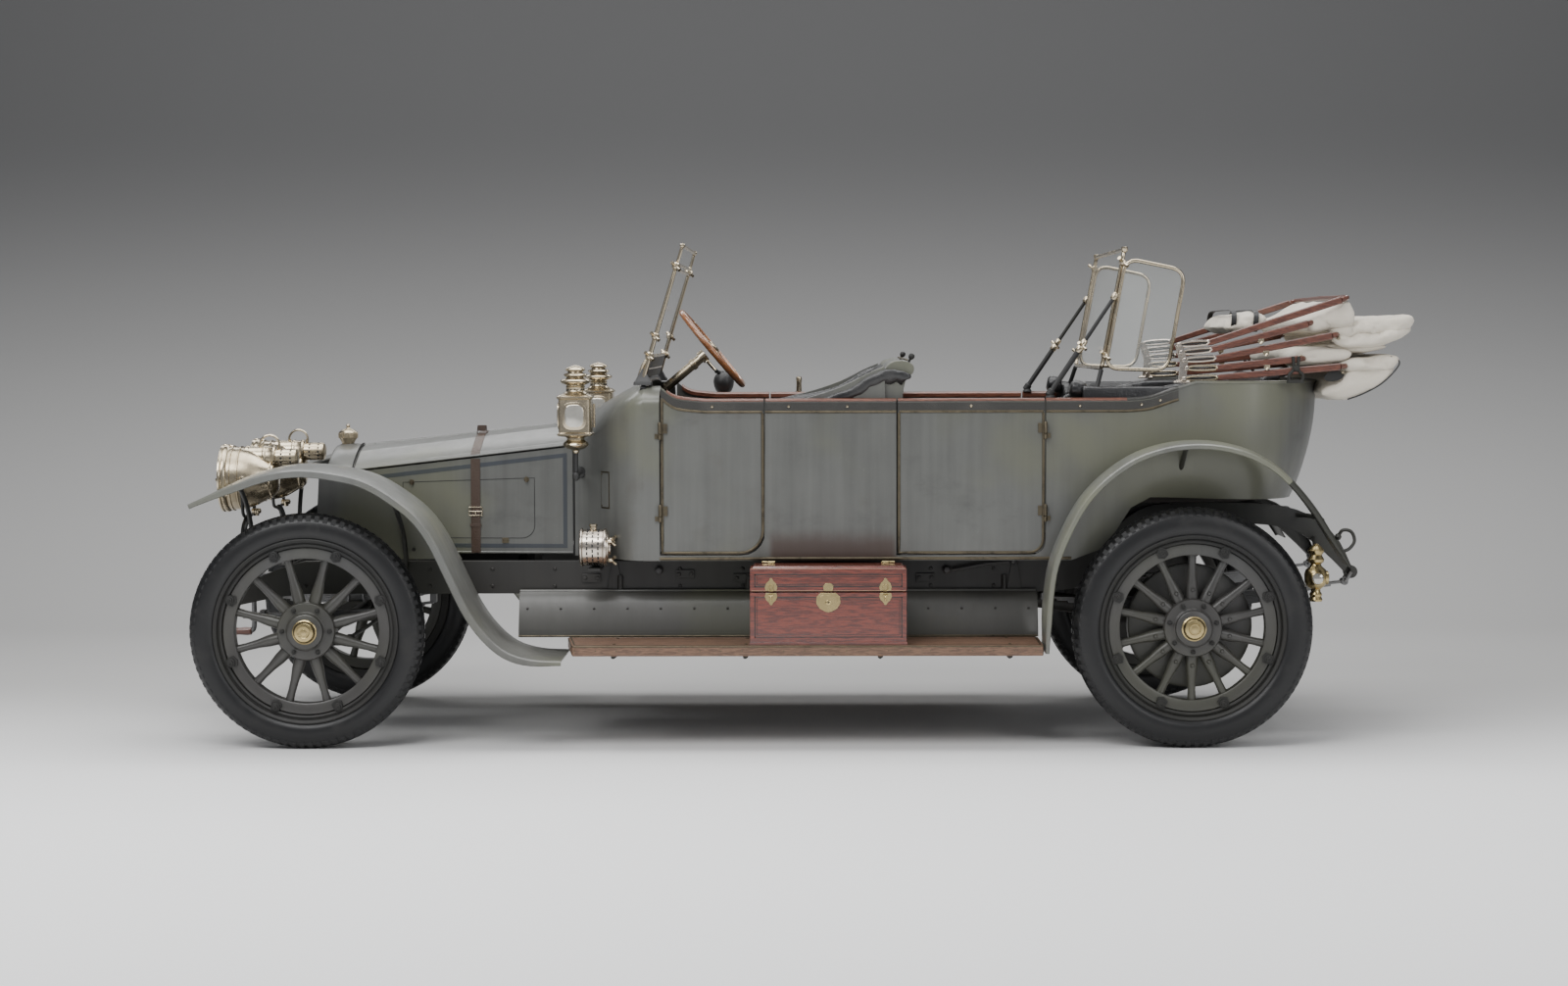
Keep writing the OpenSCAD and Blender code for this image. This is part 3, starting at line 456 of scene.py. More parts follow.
def paint(name, colour, shade, grime_and_reflection, rough=0.38, coat=0.25, reflection_patch=None):
    """Old satin paint, rubbed with upright streaks and brown where dirt gathers. patch is (x front, x rear, z top) of
    an area stained brown, from the front axle."""
    f = Finish(name, Coat_Weight=coat, Coat_Roughness=0.18, Specular_IOR_Level=0.5)
    blotch = f.cloud(2.4, 4)
    streak = f.cloud(1.0, 3, (26, 26, 1.3))
    speck = f.cloud(170, 2)
    base = f.blend(colour, shade, (blotch * 0.75 + streak * 0.5).above(0.38, 0.95))
    # brownish soiling in blotches, plus a painted brown reflection that is strongest below half a metre and fades out
    # by 0.82 m
    dirt_and_low_reflection = f.cloud(7, 5).above(0.56, 0.85) * 0.35 + (1 - f.axis(2)).above(0.18, 0.5) * 0.22
    base = f.blend(base, grime_and_reflection, dirt_and_low_reflection)
    base = f.blend(base, scaled(colour, 1.5), speck.above(0.68, 0.76) * 0.35)
    olive = f.cloud(1.3, 3).above(0.45, 0.62) * 0.8
    sooty = f.cloud(3.1, 5, (1, 1, 1.6), 0.62).above(0.56, 0.72) * 0.45
    base = f.blend(base, scaled(colour, 0.45), sooty)
    base = f.blend(base, (colour[0] * 1.12, colour[1] * 1.12, colour[2] * 0.82), olive)
    # painted dark brown reflection over a low stretch of the side, between two x values
    if reflection_patch:
        x0, x1, z = (reflection_patch[0] + FRONT_X, reflection_patch[1] + FRONT_X, reflection_patch[2])
        across = f.axis(0).above(x1 - 0.01, x1 + 0.02) * (1 - f.axis(0).above(x0 - 0.02, x0 + 0.01))
        low = 1 - (f.axis(2) + f.cloud(9, 4) * 0.05 - 0.025).above(z - 0.05, z + 0.025)
        base = f.blend(base, (0.052, 0.03, 0.022), across * low * 0.85)
    return f.wears(Base_Color=base, Roughness=blotch * 0.22 + streak * 0.14 + rough - 0.16,
                   Normal=f.relief(streak * 0.5 + speck * 0.35, 0.0004, 0.5))


def metal(name, colour, tarnish, rough=0.18, patches=9.0, share=0.5):
    """Polished plate that has dulled in patches."""
    f = Finish(name, Metallic=1.0)
    stain = f.cloud(patches, 5, roughness=0.65).above(0.42, 0.8)
    fine = f.cloud(240, 2)
    return f.wears(Base_Color=f.blend(colour, tarnish, stain * share),
                   Roughness=stain * 0.26 + fine * 0.08 + rough,
                   Normal=f.relief(f.cloud(60, 3), 0.0004, 0.35))


def iron(name, colour, rust, rough=0.5):
    f = Finish(name, Metallic=0.0, Specular_IOR_Level=0.55)
    lumps = f.cloud(36, 4)
    stain = f.cloud(9, 5).above(0.55, 0.75)
    return f.wears(Base_Color=f.blend(colour, rust, stain * 0.4), Roughness=lumps * 0.3 + rough - 0.12,
                   Normal=f.relief(lumps + f.cloud(260, 2) * 0.4, 0.0008, 0.6))


def timber(name, light, dark, along=(1, 9, 9), gloss=0.3, coat=0.5, scale=7.0):
    """Wood grain that runs along the axis whose stretch is smallest."""
    f = Finish(name, Coat_Weight=coat, Coat_Roughness=0.12)
    warp = f.cloud(scale, 4, along)
    grain = f.cloud(scale * 7, 5, along, 0.7)
    rings = (warp * 46).sine() * 0.5 + 0.5
    mixed = f.blend(light, dark, (rings * 0.4 + grain * 0.8).above(0.3, 0.95))
    mixed = f.blend(mixed, scaled(dark, 0.45), f.cloud(scale * 22, 2, along).above(0.6, 0.72) * 0.6)
    return f.wears(Base_Color=mixed, Roughness=grain * 0.2 + gloss - 0.06,
                   Normal=f.relief(grain, 0.0005, 0.4))


def hide(name, colour, worn, rough=0.34, crackle=150.0):
    """Leather with a pebbled grain, creases and rubbed places."""
    f = Finish(name, Coat_Weight=0.15, Coat_Roughness=0.25, Specular_IOR_Level=0.5)
    pebble = f.cells(crackle, "SMOOTH_F1")
    crease = f.cloud(13, 5, roughness=0.7)
    rubbed = f.cloud(6, 4).above(0.5, 0.75)
    return f.wears(Base_Color=f.blend(colour, worn, rubbed * 0.5 + pebble * 0.15),
                   Roughness=rubbed * 0.18 + crease * 0.16 + rough - 0.1,
                   Normal=f.relief(pebble * 0.5 + crease * 2.2, 0.0022, 0.75))


def cloth(name, colour, stain, threads=420.0, rough=0.85):
    """Woven canvas with a plain weave, soft stains and a little fuzz."""
    f = Finish(name, Sheen_Weight=0.2, Sheen_Roughness=0.5)
    weave = (f.axis(0) * threads * 3.1).sine() * (f.axis(1) * threads * 3.1 + f.axis(2) * threads * 2.2).sine()
    soil = f.cloud(5, 5, roughness=0.6).above(0.45, 0.8)
    return f.wears(Base_Color=f.blend(f.blend(colour, stain, soil * 0.55), scaled(colour, 0.8), weave * 0.25 + 0.25),
            Roughness=soil * 0.08 + rough, Normal=f.relief(weave * 0.2 + f.cloud(34, 4) * 1.6 + f.cloud(9, 3) * 2.0,
            0.0032, 0.85))


def tyre_rubber(name):
    f = Finish(name, Specular_IOR_Level=0.42)
    dust = f.cloud(11, 5, roughness=0.65).above(0.5, 0.8)
    fine = f.cloud(300, 2)
    return f.wears(Base_Color=f.blend((0.0085, 0.0085, 0.009), (0.034, 0.032, 0.029), dust * 0.45),
                   Roughness=dust * 0.2 + fine * 0.1 + 0.34, Normal=f.relief(fine + f.cloud(25, 2), 0.0005, 0.5))


def window(name, alpha=0.09):
    f = Finish(name, Metallic=0.0, IOR=1.5, Specular_IOR_Level=0.9, Alpha=alpha)
    return f.wears(Base_Color=f.blend((0.8, 0.84, 0.82), (0.6, 0.62, 0.58), f.cloud(6, 3)),
                   Roughness=f.cloud(14, 4) * 0.06 + 0.03)


def lens(name):
    f = Finish(name, IOR=1.45, Specular_IOR_Level=1.0, Coat_Weight=1.0, Coat_Roughness=0.03)
    ribs = (f.axis(1) * 420).sine()
    return f.wears(Base_Color=f.blend((0.34, 0.33, 0.29), (0.62, 0.6, 0.54), f.cloud(26, 3)),
                   Roughness=f.cloud(40, 2) * 0.1 + 0.06, Metallic=0.55, Normal=f.relief(ribs, 0.0005, 0.3))


def honeycomb(name):
    """The radiator's core: small square tubes seen end on."""
    f = Finish(name, Metallic=0.7)
    across = (f.axis(1) * 560).sine()
    down = (f.axis(2) * 560).sine()
    # painted shade: the inside of each tube is near black, the walls between stay brassy
    cell = (across * across * down * down).above(0.02, 0.2)
    return f.wears(Base_Color=f.blend((0.16, 0.14, 0.11), (0.012, 0.012, 0.012), cell),
                   Roughness=cell * 0.3 + 0.4, Normal=f.relief(1 - cell, 0.004))


def ribbed_rubber(name):
    f = Finish(name)
    ribs = (f.axis(0) * 420).sine()
    return f.wears(Base_Color=f.blend((0.022, 0.02, 0.018), (0.06, 0.05, 0.04), f.cloud(8, 4).above(0.45, 0.8)),
                   Roughness=f.cloud(40, 3) * 0.2 + 0.5, Normal=f.relief(ribs, 0.002, 0.5))


def stage_finish(name):
    """White at the front of the sweep, greyer behind the car and darker towards the top."""
    f = Finish(name, Specular_IOR_Level=0.15)
    # painted light falloff: the floor greys away from the camera and the backdrop darkens upwards
    near = (f.axis(1) + f.cloud(0.5, 2) * 0.4).above(-1.2, 2.6)
    high = f.axis(2).above(0.0, 2.9)
    colour = f.blend(f.blend((0.46, 0.455, 0.445), (0.97, 0.97, 0.965), near), (0.125, 0.125, 0.125), high)
    return f.wears(Base_Color=colour, Roughness=f.cloud(3, 2) * 0.05 + 0.7)


FINISHES = {}


def mix_finishes(p):
    """Every finish of the car, from the colours that the panel shows."""
    body = tuple(p.body_colour)
    shade = scaled(body, 0.62)
    # brown used both for soiling in blotches and for the painted reflection low on every painted part
    grime_and_reflection = (0.062, 0.052, 0.036)
    FINISHES.update(
        coach=paint("coach paint", body, shade, grime_and_reflection),
        # the tub's paint has a painted dark brown reflection low on the side between the front and rear doors
        tub=paint("tub paint", body, shade, grime_and_reflection, reflection_patch=(-1.725, -2.205, 0.795)),
        # the aprons' paint is the body colour at half brightness, painted shade under the body's edge
        apron=paint("apron paint", scaled(body, 0.5), scaled(body, 0.34), grime_and_reflection, 0.42, 0.2),
        edging=hide("edge leather", (0.03, 0.029, 0.026), (0.055, 0.052, 0.045), 0.42, 240),
        worn_edge=iron("worn edge", (0.3, 0.17, 0.11), (0.2, 0.1, 0.06), 0.4),
        gold=metal("yellow brass", (0.47, 0.375, 0.19), (0.19, 0.135, 0.065), 0.22),
        # the mudguards' paint is the body colour made a quarter lighter, a painted highlight where their tops catch the
        # light from above
        wing=paint("wing paint", scaled(body, 1.25), scaled(body, 0.85), grime_and_reflection, 0.34, 0.35),
        # the bonnet tops' paint is the body colour made a tenth lighter, a painted highlight from the light above
        bonnet=paint("bonnet paint", scaled(body, 1.1), scaled(body, 0.8),
                     (0.07, 0.062, 0.05), 0.36, 0.3),
        stripe=paint("blue-grey lining", (0.045, 0.052, 0.062), (0.03, 0.034, 0.04), grime_and_reflection, 0.42, 0.1),
        chassis=paint("chassis black", (0.022, 0.022, 0.021), (0.012, 0.012, 0.012), (0.05, 0.04, 0.028), 0.5, 0.05),
        dark=paint("shadow black", (0.012, 0.012, 0.012), (0.008, 0.008, 0.008), (0.03, 0.026, 0.02), 0.6, 0.0),
        wheel=paint("wheel grey", (0.044, 0.044, 0.043), (0.024, 0.024, 0.024), (0.05, 0.04, 0.03), 0.42, 0.15),
        steel=metal("oiled steel", (0.18, 0.18, 0.18), (0.07, 0.055, 0.04), 0.35, 12, 0.7),
        iron=iron("plain iron", (0.05, 0.05, 0.05), (0.09, 0.05, 0.03)),
        # near-black wood, darkened as painted shade under the tub's edge; the dash face uses it too
        boards=timber("floor boards", (0.03, 0.022, 0.017), (0.016, 0.012, 0.01), (1, 9, 9), 0.6, 0.0),
        mat=ribbed_rubber("floor mat"),
        leather=hide("black leather", (0.01, 0.01, 0.011), (0.045, 0.044, 0.043)),
        strap=hide("brown strap", (0.05, 0.03, 0.02), (0.11, 0.08, 0.06), 0.42, 260),
        brass=metal("pale brass", tuple(p.brass_colour), (0.27, 0.215, 0.13), 0.15),
        nickel=metal("pale plate", tuple(p.plate_colour), (0.32, 0.26, 0.19), 0.13, 14),
        gilt=metal("dull gilt bead", (0.135, 0.115, 0.08), (0.05, 0.043, 0.035), 0.4, 20, 0.8),
        lens=lens("ribbed lens"),
        glass=window("plate glass"),
        bow=timber("bow wood", (0.15, 0.052, 0.032), (0.062, 0.021, 0.014), (1, 9, 9), 0.3, 0.5),
        canvas=cloth("hood canvas", (0.7, 0.645, 0.545), (0.4, 0.345, 0.26)),
        box=timber("dark red box wood", (0.18, 0.035, 0.02), (0.07, 0.014, 0.01), (1, 9, 9), 0.22, 0.8, 4),
        line=timber("black lining on wood", (0.02, 0.012, 0.01), (0.01, 0.008, 0.006)),
        rubber=hide("black rubber", (0.014, 0.014, 0.014), (0.04, 0.038, 0.036), 0.5, 300),
        rim=timber("rim wood", (0.36, 0.15, 0.055), (0.18, 0.065, 0.025), (4, 4, 4), 0.25, 0.8, 9),
        tread=tyre_rubber("tyre"),
        core=honeycomb("radiator core"),
        running=timber("running board wood", (0.2, 0.11, 0.065), (0.085, 0.045, 0.028), (1, 10, 10), 0.45, 0.15),
        cord=hide("black webbing", (0.012, 0.012, 0.012), (0.03, 0.03, 0.03), 0.6, 420),
        stage_floor=stage_finish("stage sweep"),
        cap_rail=timber("rail wood", (0.2, 0.075, 0.045), (0.09, 0.032, 0.02), (1, 9, 9), 0.32, 0.4),
    )


# ---- wheels ----

TYRE_BEAD_R = 0.347
FELLOE_OUT = 0.315
FELLOE_IN = 0.271


def oval(r_y, r_x, n=10):
    return [(r_y * cos(TURN * i / n), r_x * sin(TURN * i / n)) for i in range(n)]


def wheel_shape(spokes, half, spoke_bolts, drum):
    """A wooden artillery wheel about the origin, its axle along Y and its face towards +Y."""
    s = Shape()
    for i in range(spokes):
        turn = Matrix.Rotation(TURN * (i + half) / spokes, 4, "Y")
        spoke, rings = Shape(), []
        for z, w, d in ((0.085, 0.017, 0.026), (0.112, 0.0235, 0.025), (0.15, 0.022, 0.021), (0.19, 0.0165, 0.0165),
                        (0.235, 0.0145, 0.0155), (FELLOE_IN + 0.006, 0.0165, 0.0165)):
            rings.append([Vector((x, y, z)) for y, x in oval(d, w, 12)])
        spoke.loft(rings)
        if spoke_bolts:
            spoke.bolt((0, 0.02, 0.141), LEFT, 0.0085, 0.009, 0, 8)
            spoke.bolt((0, -0.02, 0.141), (0, -1, 0), 0.0085, 0.009, 0, 8)
        s.join(spoke.moved(turn))
    felloe = [(FELLOE_IN, -0.024), (FELLOE_IN, 0.024), (FELLOE_IN + 0.006, 0.028), (FELLOE_OUT - 0.004, 0.028),
              (FELLOE_OUT, 0.024), (FELLOE_OUT, -0.024), (FELLOE_OUT - 0.004, -0.028), (FELLOE_IN + 0.006, -0.028)]
    ring(s, felloe, 96, 0)
    rim = [(FELLOE_OUT, -0.038), (FELLOE_OUT, 0.036), (0.322, 0.04), (0.33, 0.036), (0.333, 0.046),
           (0.342, 0.052), (TYRE_BEAD_R, 0.05), (TYRE_BEAD_R, -0.05), (0.342, -0.052), (0.333, -0.046)]
    ring(s, rim, 96, 1)
    for i in range(8):
        turn = Matrix.Rotation(TURN * (i + 0.5) / 8, 4, "Y")
        clamp = Shape()
        clamp.plate([(-0.02, 0.288), (-0.016, 0.33), (0.016, 0.33), (0.02, 0.288), (0, 0.278)], 0.028, 0.036, 1)
        clamp.lathe([(0.017, 0), (0.017, 0.005), (0.013, 0.007), (0, 0.007)], (0, 0.036, 0.306), LEFT, 16, 1)
        clamp.bolt((0, 0.041, 0.306), LEFT, 0.0125, 0.011, 1)
        clamp.bolt((0, 0.05, 0.306), LEFT, 0.005, 0.007, 1, 8)
        s.join(clamp.moved(turn))
    s.lathe([(0.109, -0.038), (0.109, 0.032), (0.105, 0.038), (0.075, 0.04), (0.068, 0.046), (0.066, 0.06),
             (0.06, 0.064), (0, 0.064)], (0, 0, 0), LEFT, 56, 0)
    bolts = 7 if spoke_bolts else 6
    for i in range(bolts):
        a = TURN * (i + 0.5) / bolts
        s.bolt((0.089 * sin(a), 0.039, 0.089 * cos(a)), LEFT, 0.0095, 0.009, 1)
        s.bolt((0.089 * sin(a), 0.047, 0.089 * cos(a)), LEFT, 0.005, 0.006, 1, 8)
    s.lathe([(0.046, 0.06), (0.046, 0.066), (0.041, 0.069), (0.039, 0.08), (0.034, 0.085), (0.022, 0.087),
             (0.02, 0.0845), (0.0, 0.0845)], (0, 0, 0), LEFT, 40, 2)
    s.bolt((0, 0.084, 0), LEFT, 0.014, 0.0025, 2)
    if drum:
        s.lathe([(0.0, -0.056), (0.222, -0.056), (0.232, -0.06), (0.232, -0.104), (0.224, -0.104), (0.222, -0.064),
                 (0.055, -0.064), (0.055, -0.1), (0, -0.1)], (0, 0, 0), LEFT, 72, 0)
        for i in range(spokes):
            a = TURN * (i + half) / spokes
            s.bolt((0.141 * sin(a), -0.028, 0.141 * cos(a)), (0, -1, 0), 0.007, 0.028, 0, 8)
    return s


def ring(shape, section, steps, finish):
    """A closed section of (radius, y) points carried round the wheel's axle."""
    rings = [[Vector((r * sin(TURN * i / steps), y, r * cos(TURN * i / steps)))
              for r, y in section] for i in range(steps)]
    shape.loft(rings, finish, loop=True)


def tyre_shape(radius, width, blocks):
    """A beaded-edge tyre with plain walls and small blocks on its shoulders and crown."""
    s = Shape()
    w, tread = width / 2, radius - 0.004
    section = [(TYRE_BEAD_R, -w * 0.78), (TYRE_BEAD_R + 0.006, -w * 0.9), (TYRE_BEAD_R + 0.02, -w * 0.985),
               (TYRE_BEAD_R + 0.038, -w), (tread - 0.03, -w * 0.955), (tread - 0.014, -w * 0.82),
               (tread - 0.004, -w * 0.58), (tread, -w * 0.3)]
    section += [(tread, 0.0)] + [(r, -y) for r, y in reversed(section)]
    section += [(TYRE_BEAD_R, 0.0)]
    ring(s, section, 120, 0)
    for i in range(blocks):
        a = TURN * i / blocks
        step = 2 * pi / blocks
        for side in (-1, 1):
            for y0, y1, r0, r1, lag in ((0.9, 0.66, tread - 0.0215, tread - 0.0045, 0.0),
                    (0.58, 0.22, tread - 0.0035, tread + 0.004, 0.5)):
                pts = []
                for y, r in ((y0, r0), (y1, r1)):
                    for da in (0.18, 0.72):
                        t = a + (da + lag) * step
                        for dr in (-0.006, 0.0026 if y0 > 0.8 else 0.0):
                            pts.append(Vector(((r + dr) * sin(t), side * y * w + (side * 0.0012 if dr > 0 else 0),
                                    (r + dr) * cos(t))))
                s.add(pts, BOX_FACES)
        t0, t1 = a + 0.1 * step, a + 0.62 * step
        pts = [Vector((r * sin(t), y, r * cos(t))) for y in (-w * 0.14, w * 0.14)
               for t in (t0, t1) for r in (tread - 0.004, tread + 0.004)]
        s.add(pts, BOX_FACES)
    return s


def build_wheels(p):
    """Four artillery wheels and their tyres, each on its own body."""
    for end, x, r, width, spokes, half in (("front", 0.0, FRONT_R, 0.12, p.front_spokes, 0.5),
            ("rear", REAR_X, REAR_R, 0.125, p.rear_spokes, 0.0)):
        for side, sign in SIDES:
            centre = Matrix.Translation((x, sign * WHEEL_Y, r))
            flip = MIRROR[sign]
            wheel = wheel_shape(spokes, half, end == "rear", end == "rear").moved(centre @ flip)
            put(f"{end}_wheel_{side}_wood", wheel, ["wheel", "dark", "gold"], f"{end}_wheel_{side}", bevel=0.0012,
                replaces=[f"{end}_wheel_{side}"])
            tyre = tyre_shape(r, width, 84).moved(centre @ flip)
            put(f"{end}_tyre_{side}_rubber", tyre, ["tread"], f"{end}_wheel_{side}",
                replaces=[f"{end}_tyre_{side}"])


# ---- coachwork ----

TOP_LINE = ([Vector((COWL_BACK, 1.352))]
            + through([(COWL_BACK, 1.352), (-1.324, 1.34), (-1.379, 1.303), (-1.489, RAIL_Z)], 4)[1:]
            + [Vector((-3.066, RAIL_Z))]
            + through([(-3.066, RAIL_Z), (-3.15, 1.298), (-3.234, 1.325), (-3.325, 1.353)], 4)[1:]
            + [Vector((TUB_REAR_X, 1.351))])
REAR_LINE = through([(-3.746, 0.895), (-3.788, 0.986), (-3.828, 1.117), (-3.848, 1.228), (TUB_REAR_X, 1.339)], 4)
PLAN_POWER = 2 / 2.6
HINGE_GAP = 0.022


def crown(z):
    """How far the side stands in from its widest line at height z."""
    t = (z - 1.03) / 0.34
    return 0.01 * t * t


def plan_at(u):
    """The tub's plan, u metres back along its side from the cowl: (x, y, how far round the back)."""
    straight = COWL_BACK - TUB_CURVE_X
    if u <= straight:
        return COWL_BACK - u, HALF_BODY, 0.0
    for (u0, x0, y0), (u1, x1, y1) in zip(PLAN_CURVE, PLAN_CURVE[1:]):
        if u <= u1:
            t = (u - u0) / (u1 - u0)
            x = lerp(x0, x1, t)
            return x, lerp(y0, y1, t), (TUB_CURVE_X - x) / (TUB_CURVE_X - TUB_REAR_X)
    return TUB_REAR_X, 0.0, 1.0


def plan_curve():
    rows, length = [], COWL_BACK - TUB_CURVE_X
    before = None
    for i in range(61):
        a = radians(i * 1.5)
        x = TUB_CURVE_X + (TUB_REAR_X - TUB_CURVE_X) * sin(a) ** PLAN_POWER
        y = HALF_BODY * max(cos(a), 0) ** PLAN_POWER
        if before:
            length += dist(before, (x, y))
        rows.append((length, x, y))
        before = (x, y)
    return rows


PLAN_CURVE = plan_curve()
TUB_LENGTH = PLAN_CURVE[-1][0]


def lean(z):
    """How far forward the back of the tub has come at height z."""
    for a, b in zip(REAR_LINE, REAR_LINE[1:]):
        if z <= b[1]:
            return lerp(a[0], b[0], max(0.0, (z - a[1]) / (b[1] - a[1]))) - TUB_REAR_X
    return 0.0


def skin(u, z, out=0.0):
    """A point of the coachwork's left side."""
    x, y, back = plan_at(u)
    x2, y2, _ = plan_at(u + 0.002)
    normal = Vector((y2 - y, x - x2, 0))
    normal = normal.normalized() if normal.length > 0 else Vector(BACK)
    tuck = crown(z) + 0.055 * smooth((u - 1.5) / 0.5) * smooth((1.1 - z) / 0.24)
    depth = out - tuck * (1 - back)
    return Vector((x + lean(z) * back ** 1.5, y, z)) + normal * depth


def u_of(x):
    return COWL_BACK - x


def panel(outline, thickness=0.022, cell=0.045):
    """Coachwork inside an outline of (u, z) points, as a sheet that follows the skin."""
    b = bmesh.new()
    b.faces.new([b.verts.new((p[0], 0, p[1])) for p in outline])
    us, zs = [p[0] for p in outline], [p[1] for p in outline]
    for lo, hi, axis in ((min(us), max(us), AHEAD), (min(zs), max(zs), UP)):
        for k in range(1, max(2, round((hi - lo) / cell))):
            at = lerp(lo, hi, k / max(2, round((hi - lo) / cell)))
            bmesh.ops.bisect_plane(b, geom=b.verts[:] + b.edges[:] + b.faces[:], plane_no=axis,
                    plane_co=tuple(at * a for a in axis))
    b.verts.index_update()
    b.verts.ensure_lookup_table()
    outer = [(v.co.x, v.co.z) for v in b.verts]
    n = len(outer)
    rim = [e for e in b.edges if len(e.link_faces) == 1]
    points = [skin(u, z, -d) for d in (0.0, thickness) for u, z in outer]
    faces = [[v.index for v in f.verts] for f in b.faces]
    faces += [[v.index + n for v in reversed(f.verts)] for f in b.faces]
    for e in rim:
        a, c = e.verts[0].index, e.verts[1].index
        faces.append([a, c, c + n, a + n])
    b.free()
    return Shape().add(points, faces)


def corner(cx, cz, r, a0, a1, n=6):
    return [(cx + r * cos(radians(lerp(a0, a1, i / n))),
             cz + r * sin(radians(lerp(a0, a1, i / n)))) for i in range(n + 1)]


def top_stretch(x0, x1):
    """The top line from x0 back to x1, as (u, z) points."""
    inner = [(u_of(p[0]), p[1]) for p in TOP_LINE if x1 < p[0] < x0]
    return [(u_of(x0), along(TOP_LINE, x0))] + inner + [(u_of(x1), along(TOP_LINE, x1))]


def door_edge(x0, x1, r, g=0.0):
    """A door's front, lower and rear edge from the top, as (u, z) points, grown by g."""
    u0, u1 = u_of(x0) - g, u_of(x1) + g
    return [(u0, DOOR_Z - g)] + corner(u1 - r, DOOR_Z - g + r, r, -90, 0)


def door_panel(x0, x1, r):
    edge = door_edge(x0, x1, r)
    return panel(edge + list(reversed(top_stretch(x0, x1))), cell=0.05)


def bead_path(points, out=0.003):
    """Points (u, z) on the skin, with more points between far ones."""
    path = []
    for a, b in zip(points, points[1:]):
        n = max(1, round(dist(a, b) / 0.05))
        path += [skin(lerp(a[0], b[0], i / n), lerp(a[1], b[1], i / n), out) for i in range(n)]
    return path + [skin(points[-1][0], points[-1][1], out)]


def half_round(shape, path, w, finish=0):
    """A half round moulding that lies on the skin."""
    n = len(path)
    rings = []
    for k, p in enumerate(path):
        d = (path[min(k + 1, n - 1)] - path[max(k - 1, 0)]).normalized()
        out = Vector(LEFT) if abs(d.y) < 0.9 else Vector(AHEAD)
        out = (out - d * out.dot(d)).normalized()
        across = d.cross(out)
        rings.append([p + across * w * c + out * (w * 0.8 * s - 0.002) for c, s in
                      ((1, 0), (0.8, 0.6), (0.35, 0.95), (-0.35, 0.95), (-0.8, 0.6), (-1, 0))])
    shape.loft(rings, finish)


def cap_rail(shape, points, finish=0):
    """The wooden rail on top of the walls, over (u, z) points of the top line."""
    rings = []
    path = [skin(u, z) for u, z in points]
    inner = [skin(u, z, -0.03) for u, z in points]
    for a, b in zip(path, inner):
        w = (b - a)
        up = Vector(UP)
        rings.append([a - w * 0.08 + up * -0.001, a - w * 0.12 + up * 0.003, a - w * 0.05 + up * 0.007,
                      a + w * 0.5 + up * 0.01, b + w * 0.08 + up * 0.009, b + w * 0.26 + up * 0.002,
                      b + w * 0.2 + up * -0.012])
    shape.loft(rings, finish)


def edge_band(shape, points, finish, drop=0.038):
    """The dark leather edging between the rail and the bead below it, over (u, z) points of the top line."""
    rings = [[skin(u, z - 0.006, 0.0003), skin(u, z - 0.006, 0.0018), skin(u, z - drop, 0.0018),
              skin(u, z - drop, 0.0003)] for u, z in points]
    shape.loft(rings, finish)


def studs(shape, points, r=0.006, out=0.001, finish=0):
    for u, z in points:
        at = skin(u, z, out)
        shape.lathe([(r, 0), (r, 0.002), (r * 0.7, 0.005), (0, 0.006)], at, skin(u, z, 1.0) - skin(u, z), 12, finish)


def hinge_x(end):
    """How far back from the front axle the hinge of a door is."""
    return JOINTS[f"{end}_door_left_swing"]["pos_m"][0] - FRONT_X


def fixed_hinges(s, end, x0, x1):
    """The lower knuckles of a door's hinges. Their leaves reach from x0 to x1, measured from the pin."""
    x = hinge_x(end)
    for z in HINGE_ZS:
        s.lathe([(0, -0.005), (0.005, -0.004), (0.0075, 0), (0.0075, 0.016), (0, 0.0165)], (x, HINGE_Y, z), UP, 14, 1)
        s.block((x + x0, 0.617, z), (x + x1, 0.6225, z + 0.018), 1)


def build_doors(p):
    """Four doors, each with its skin, its bead, its rail, its lining and its hinges."""
    for end, (x0, x1), r in (("front", DOOR_F, 0.085), ("rear", DOOR_R, 0.05)):
        for side, sign in SIDES:
            body = f"{end}_door_{side}"
            flip = MIRROR[sign]
            s = door_panel(x0, x1, r)
            edge = [(u_of(x0) + 0.004, along(TOP_LINE, x0) - 0.045)] + door_edge(x0, x1, r, -0.004)
            edge += [(u_of(x1) - 0.004, along(TOP_LINE, x1) - 0.045)]
            half_round(s, bead_path(edge), 0.0055, 1)
            low = [(u, z - 0.04) for u, z in top_stretch(x0 - 0.004, x1 + 0.004)]
            half_round(s, bead_path(low), 0.005, 1)
            rail_x0 = x0 - HINGE_GAP if end == "front" else x0
            cap_rail(s, top_stretch(rail_x0, x1), 2)
            edge_band(s, top_stretch(x0, x1), 5)
            middle = u_of((x0 + x1) / 2)
            studs(s, [(middle, along(TOP_LINE, (x0 + x1) / 2) - 0.02)], finish=3)
            hinge_u = u_of(x0 if end == "front" else x1)
            inward = 0.016 if end == "front" else -0.016
            for z in HINGE_ZS:
                s.block((COWL_BACK - hinge_u - inward - 0.008, 0.6185, z + 0.02),
                        (COWL_BACK - hinge_u - inward + 0.008, 0.6235, z + 0.056), 1)
                s.lathe([(0.0, 0.018), (0.0075, 0.019), (0.0075, 0.057), (0.005, 0.062), (0, 0.063)],
                        (hinge_x(end), HINGE_Y, z), UP, 14, 1)
            s.block((x1 + 0.05, 0.5895, DOOR_Z + 0.05), (x0 - 0.04, 0.594, 1.2), 4)
            handle_x = x1 + 0.05 if end == "front" else x0 - 0.05
            s.tube([(handle_x, 0.592, 1.19), (handle_x, 0.575, 1.185), (handle_x, 0.572, 1.13)], 0.006, 8, 3)
            put(f"{body}_skin", s.moved(flip), ["coach", "gilt", "cap_rail", "brass", "leather", "edging"], body,
                    bevel=0.0015, replaces=[body])


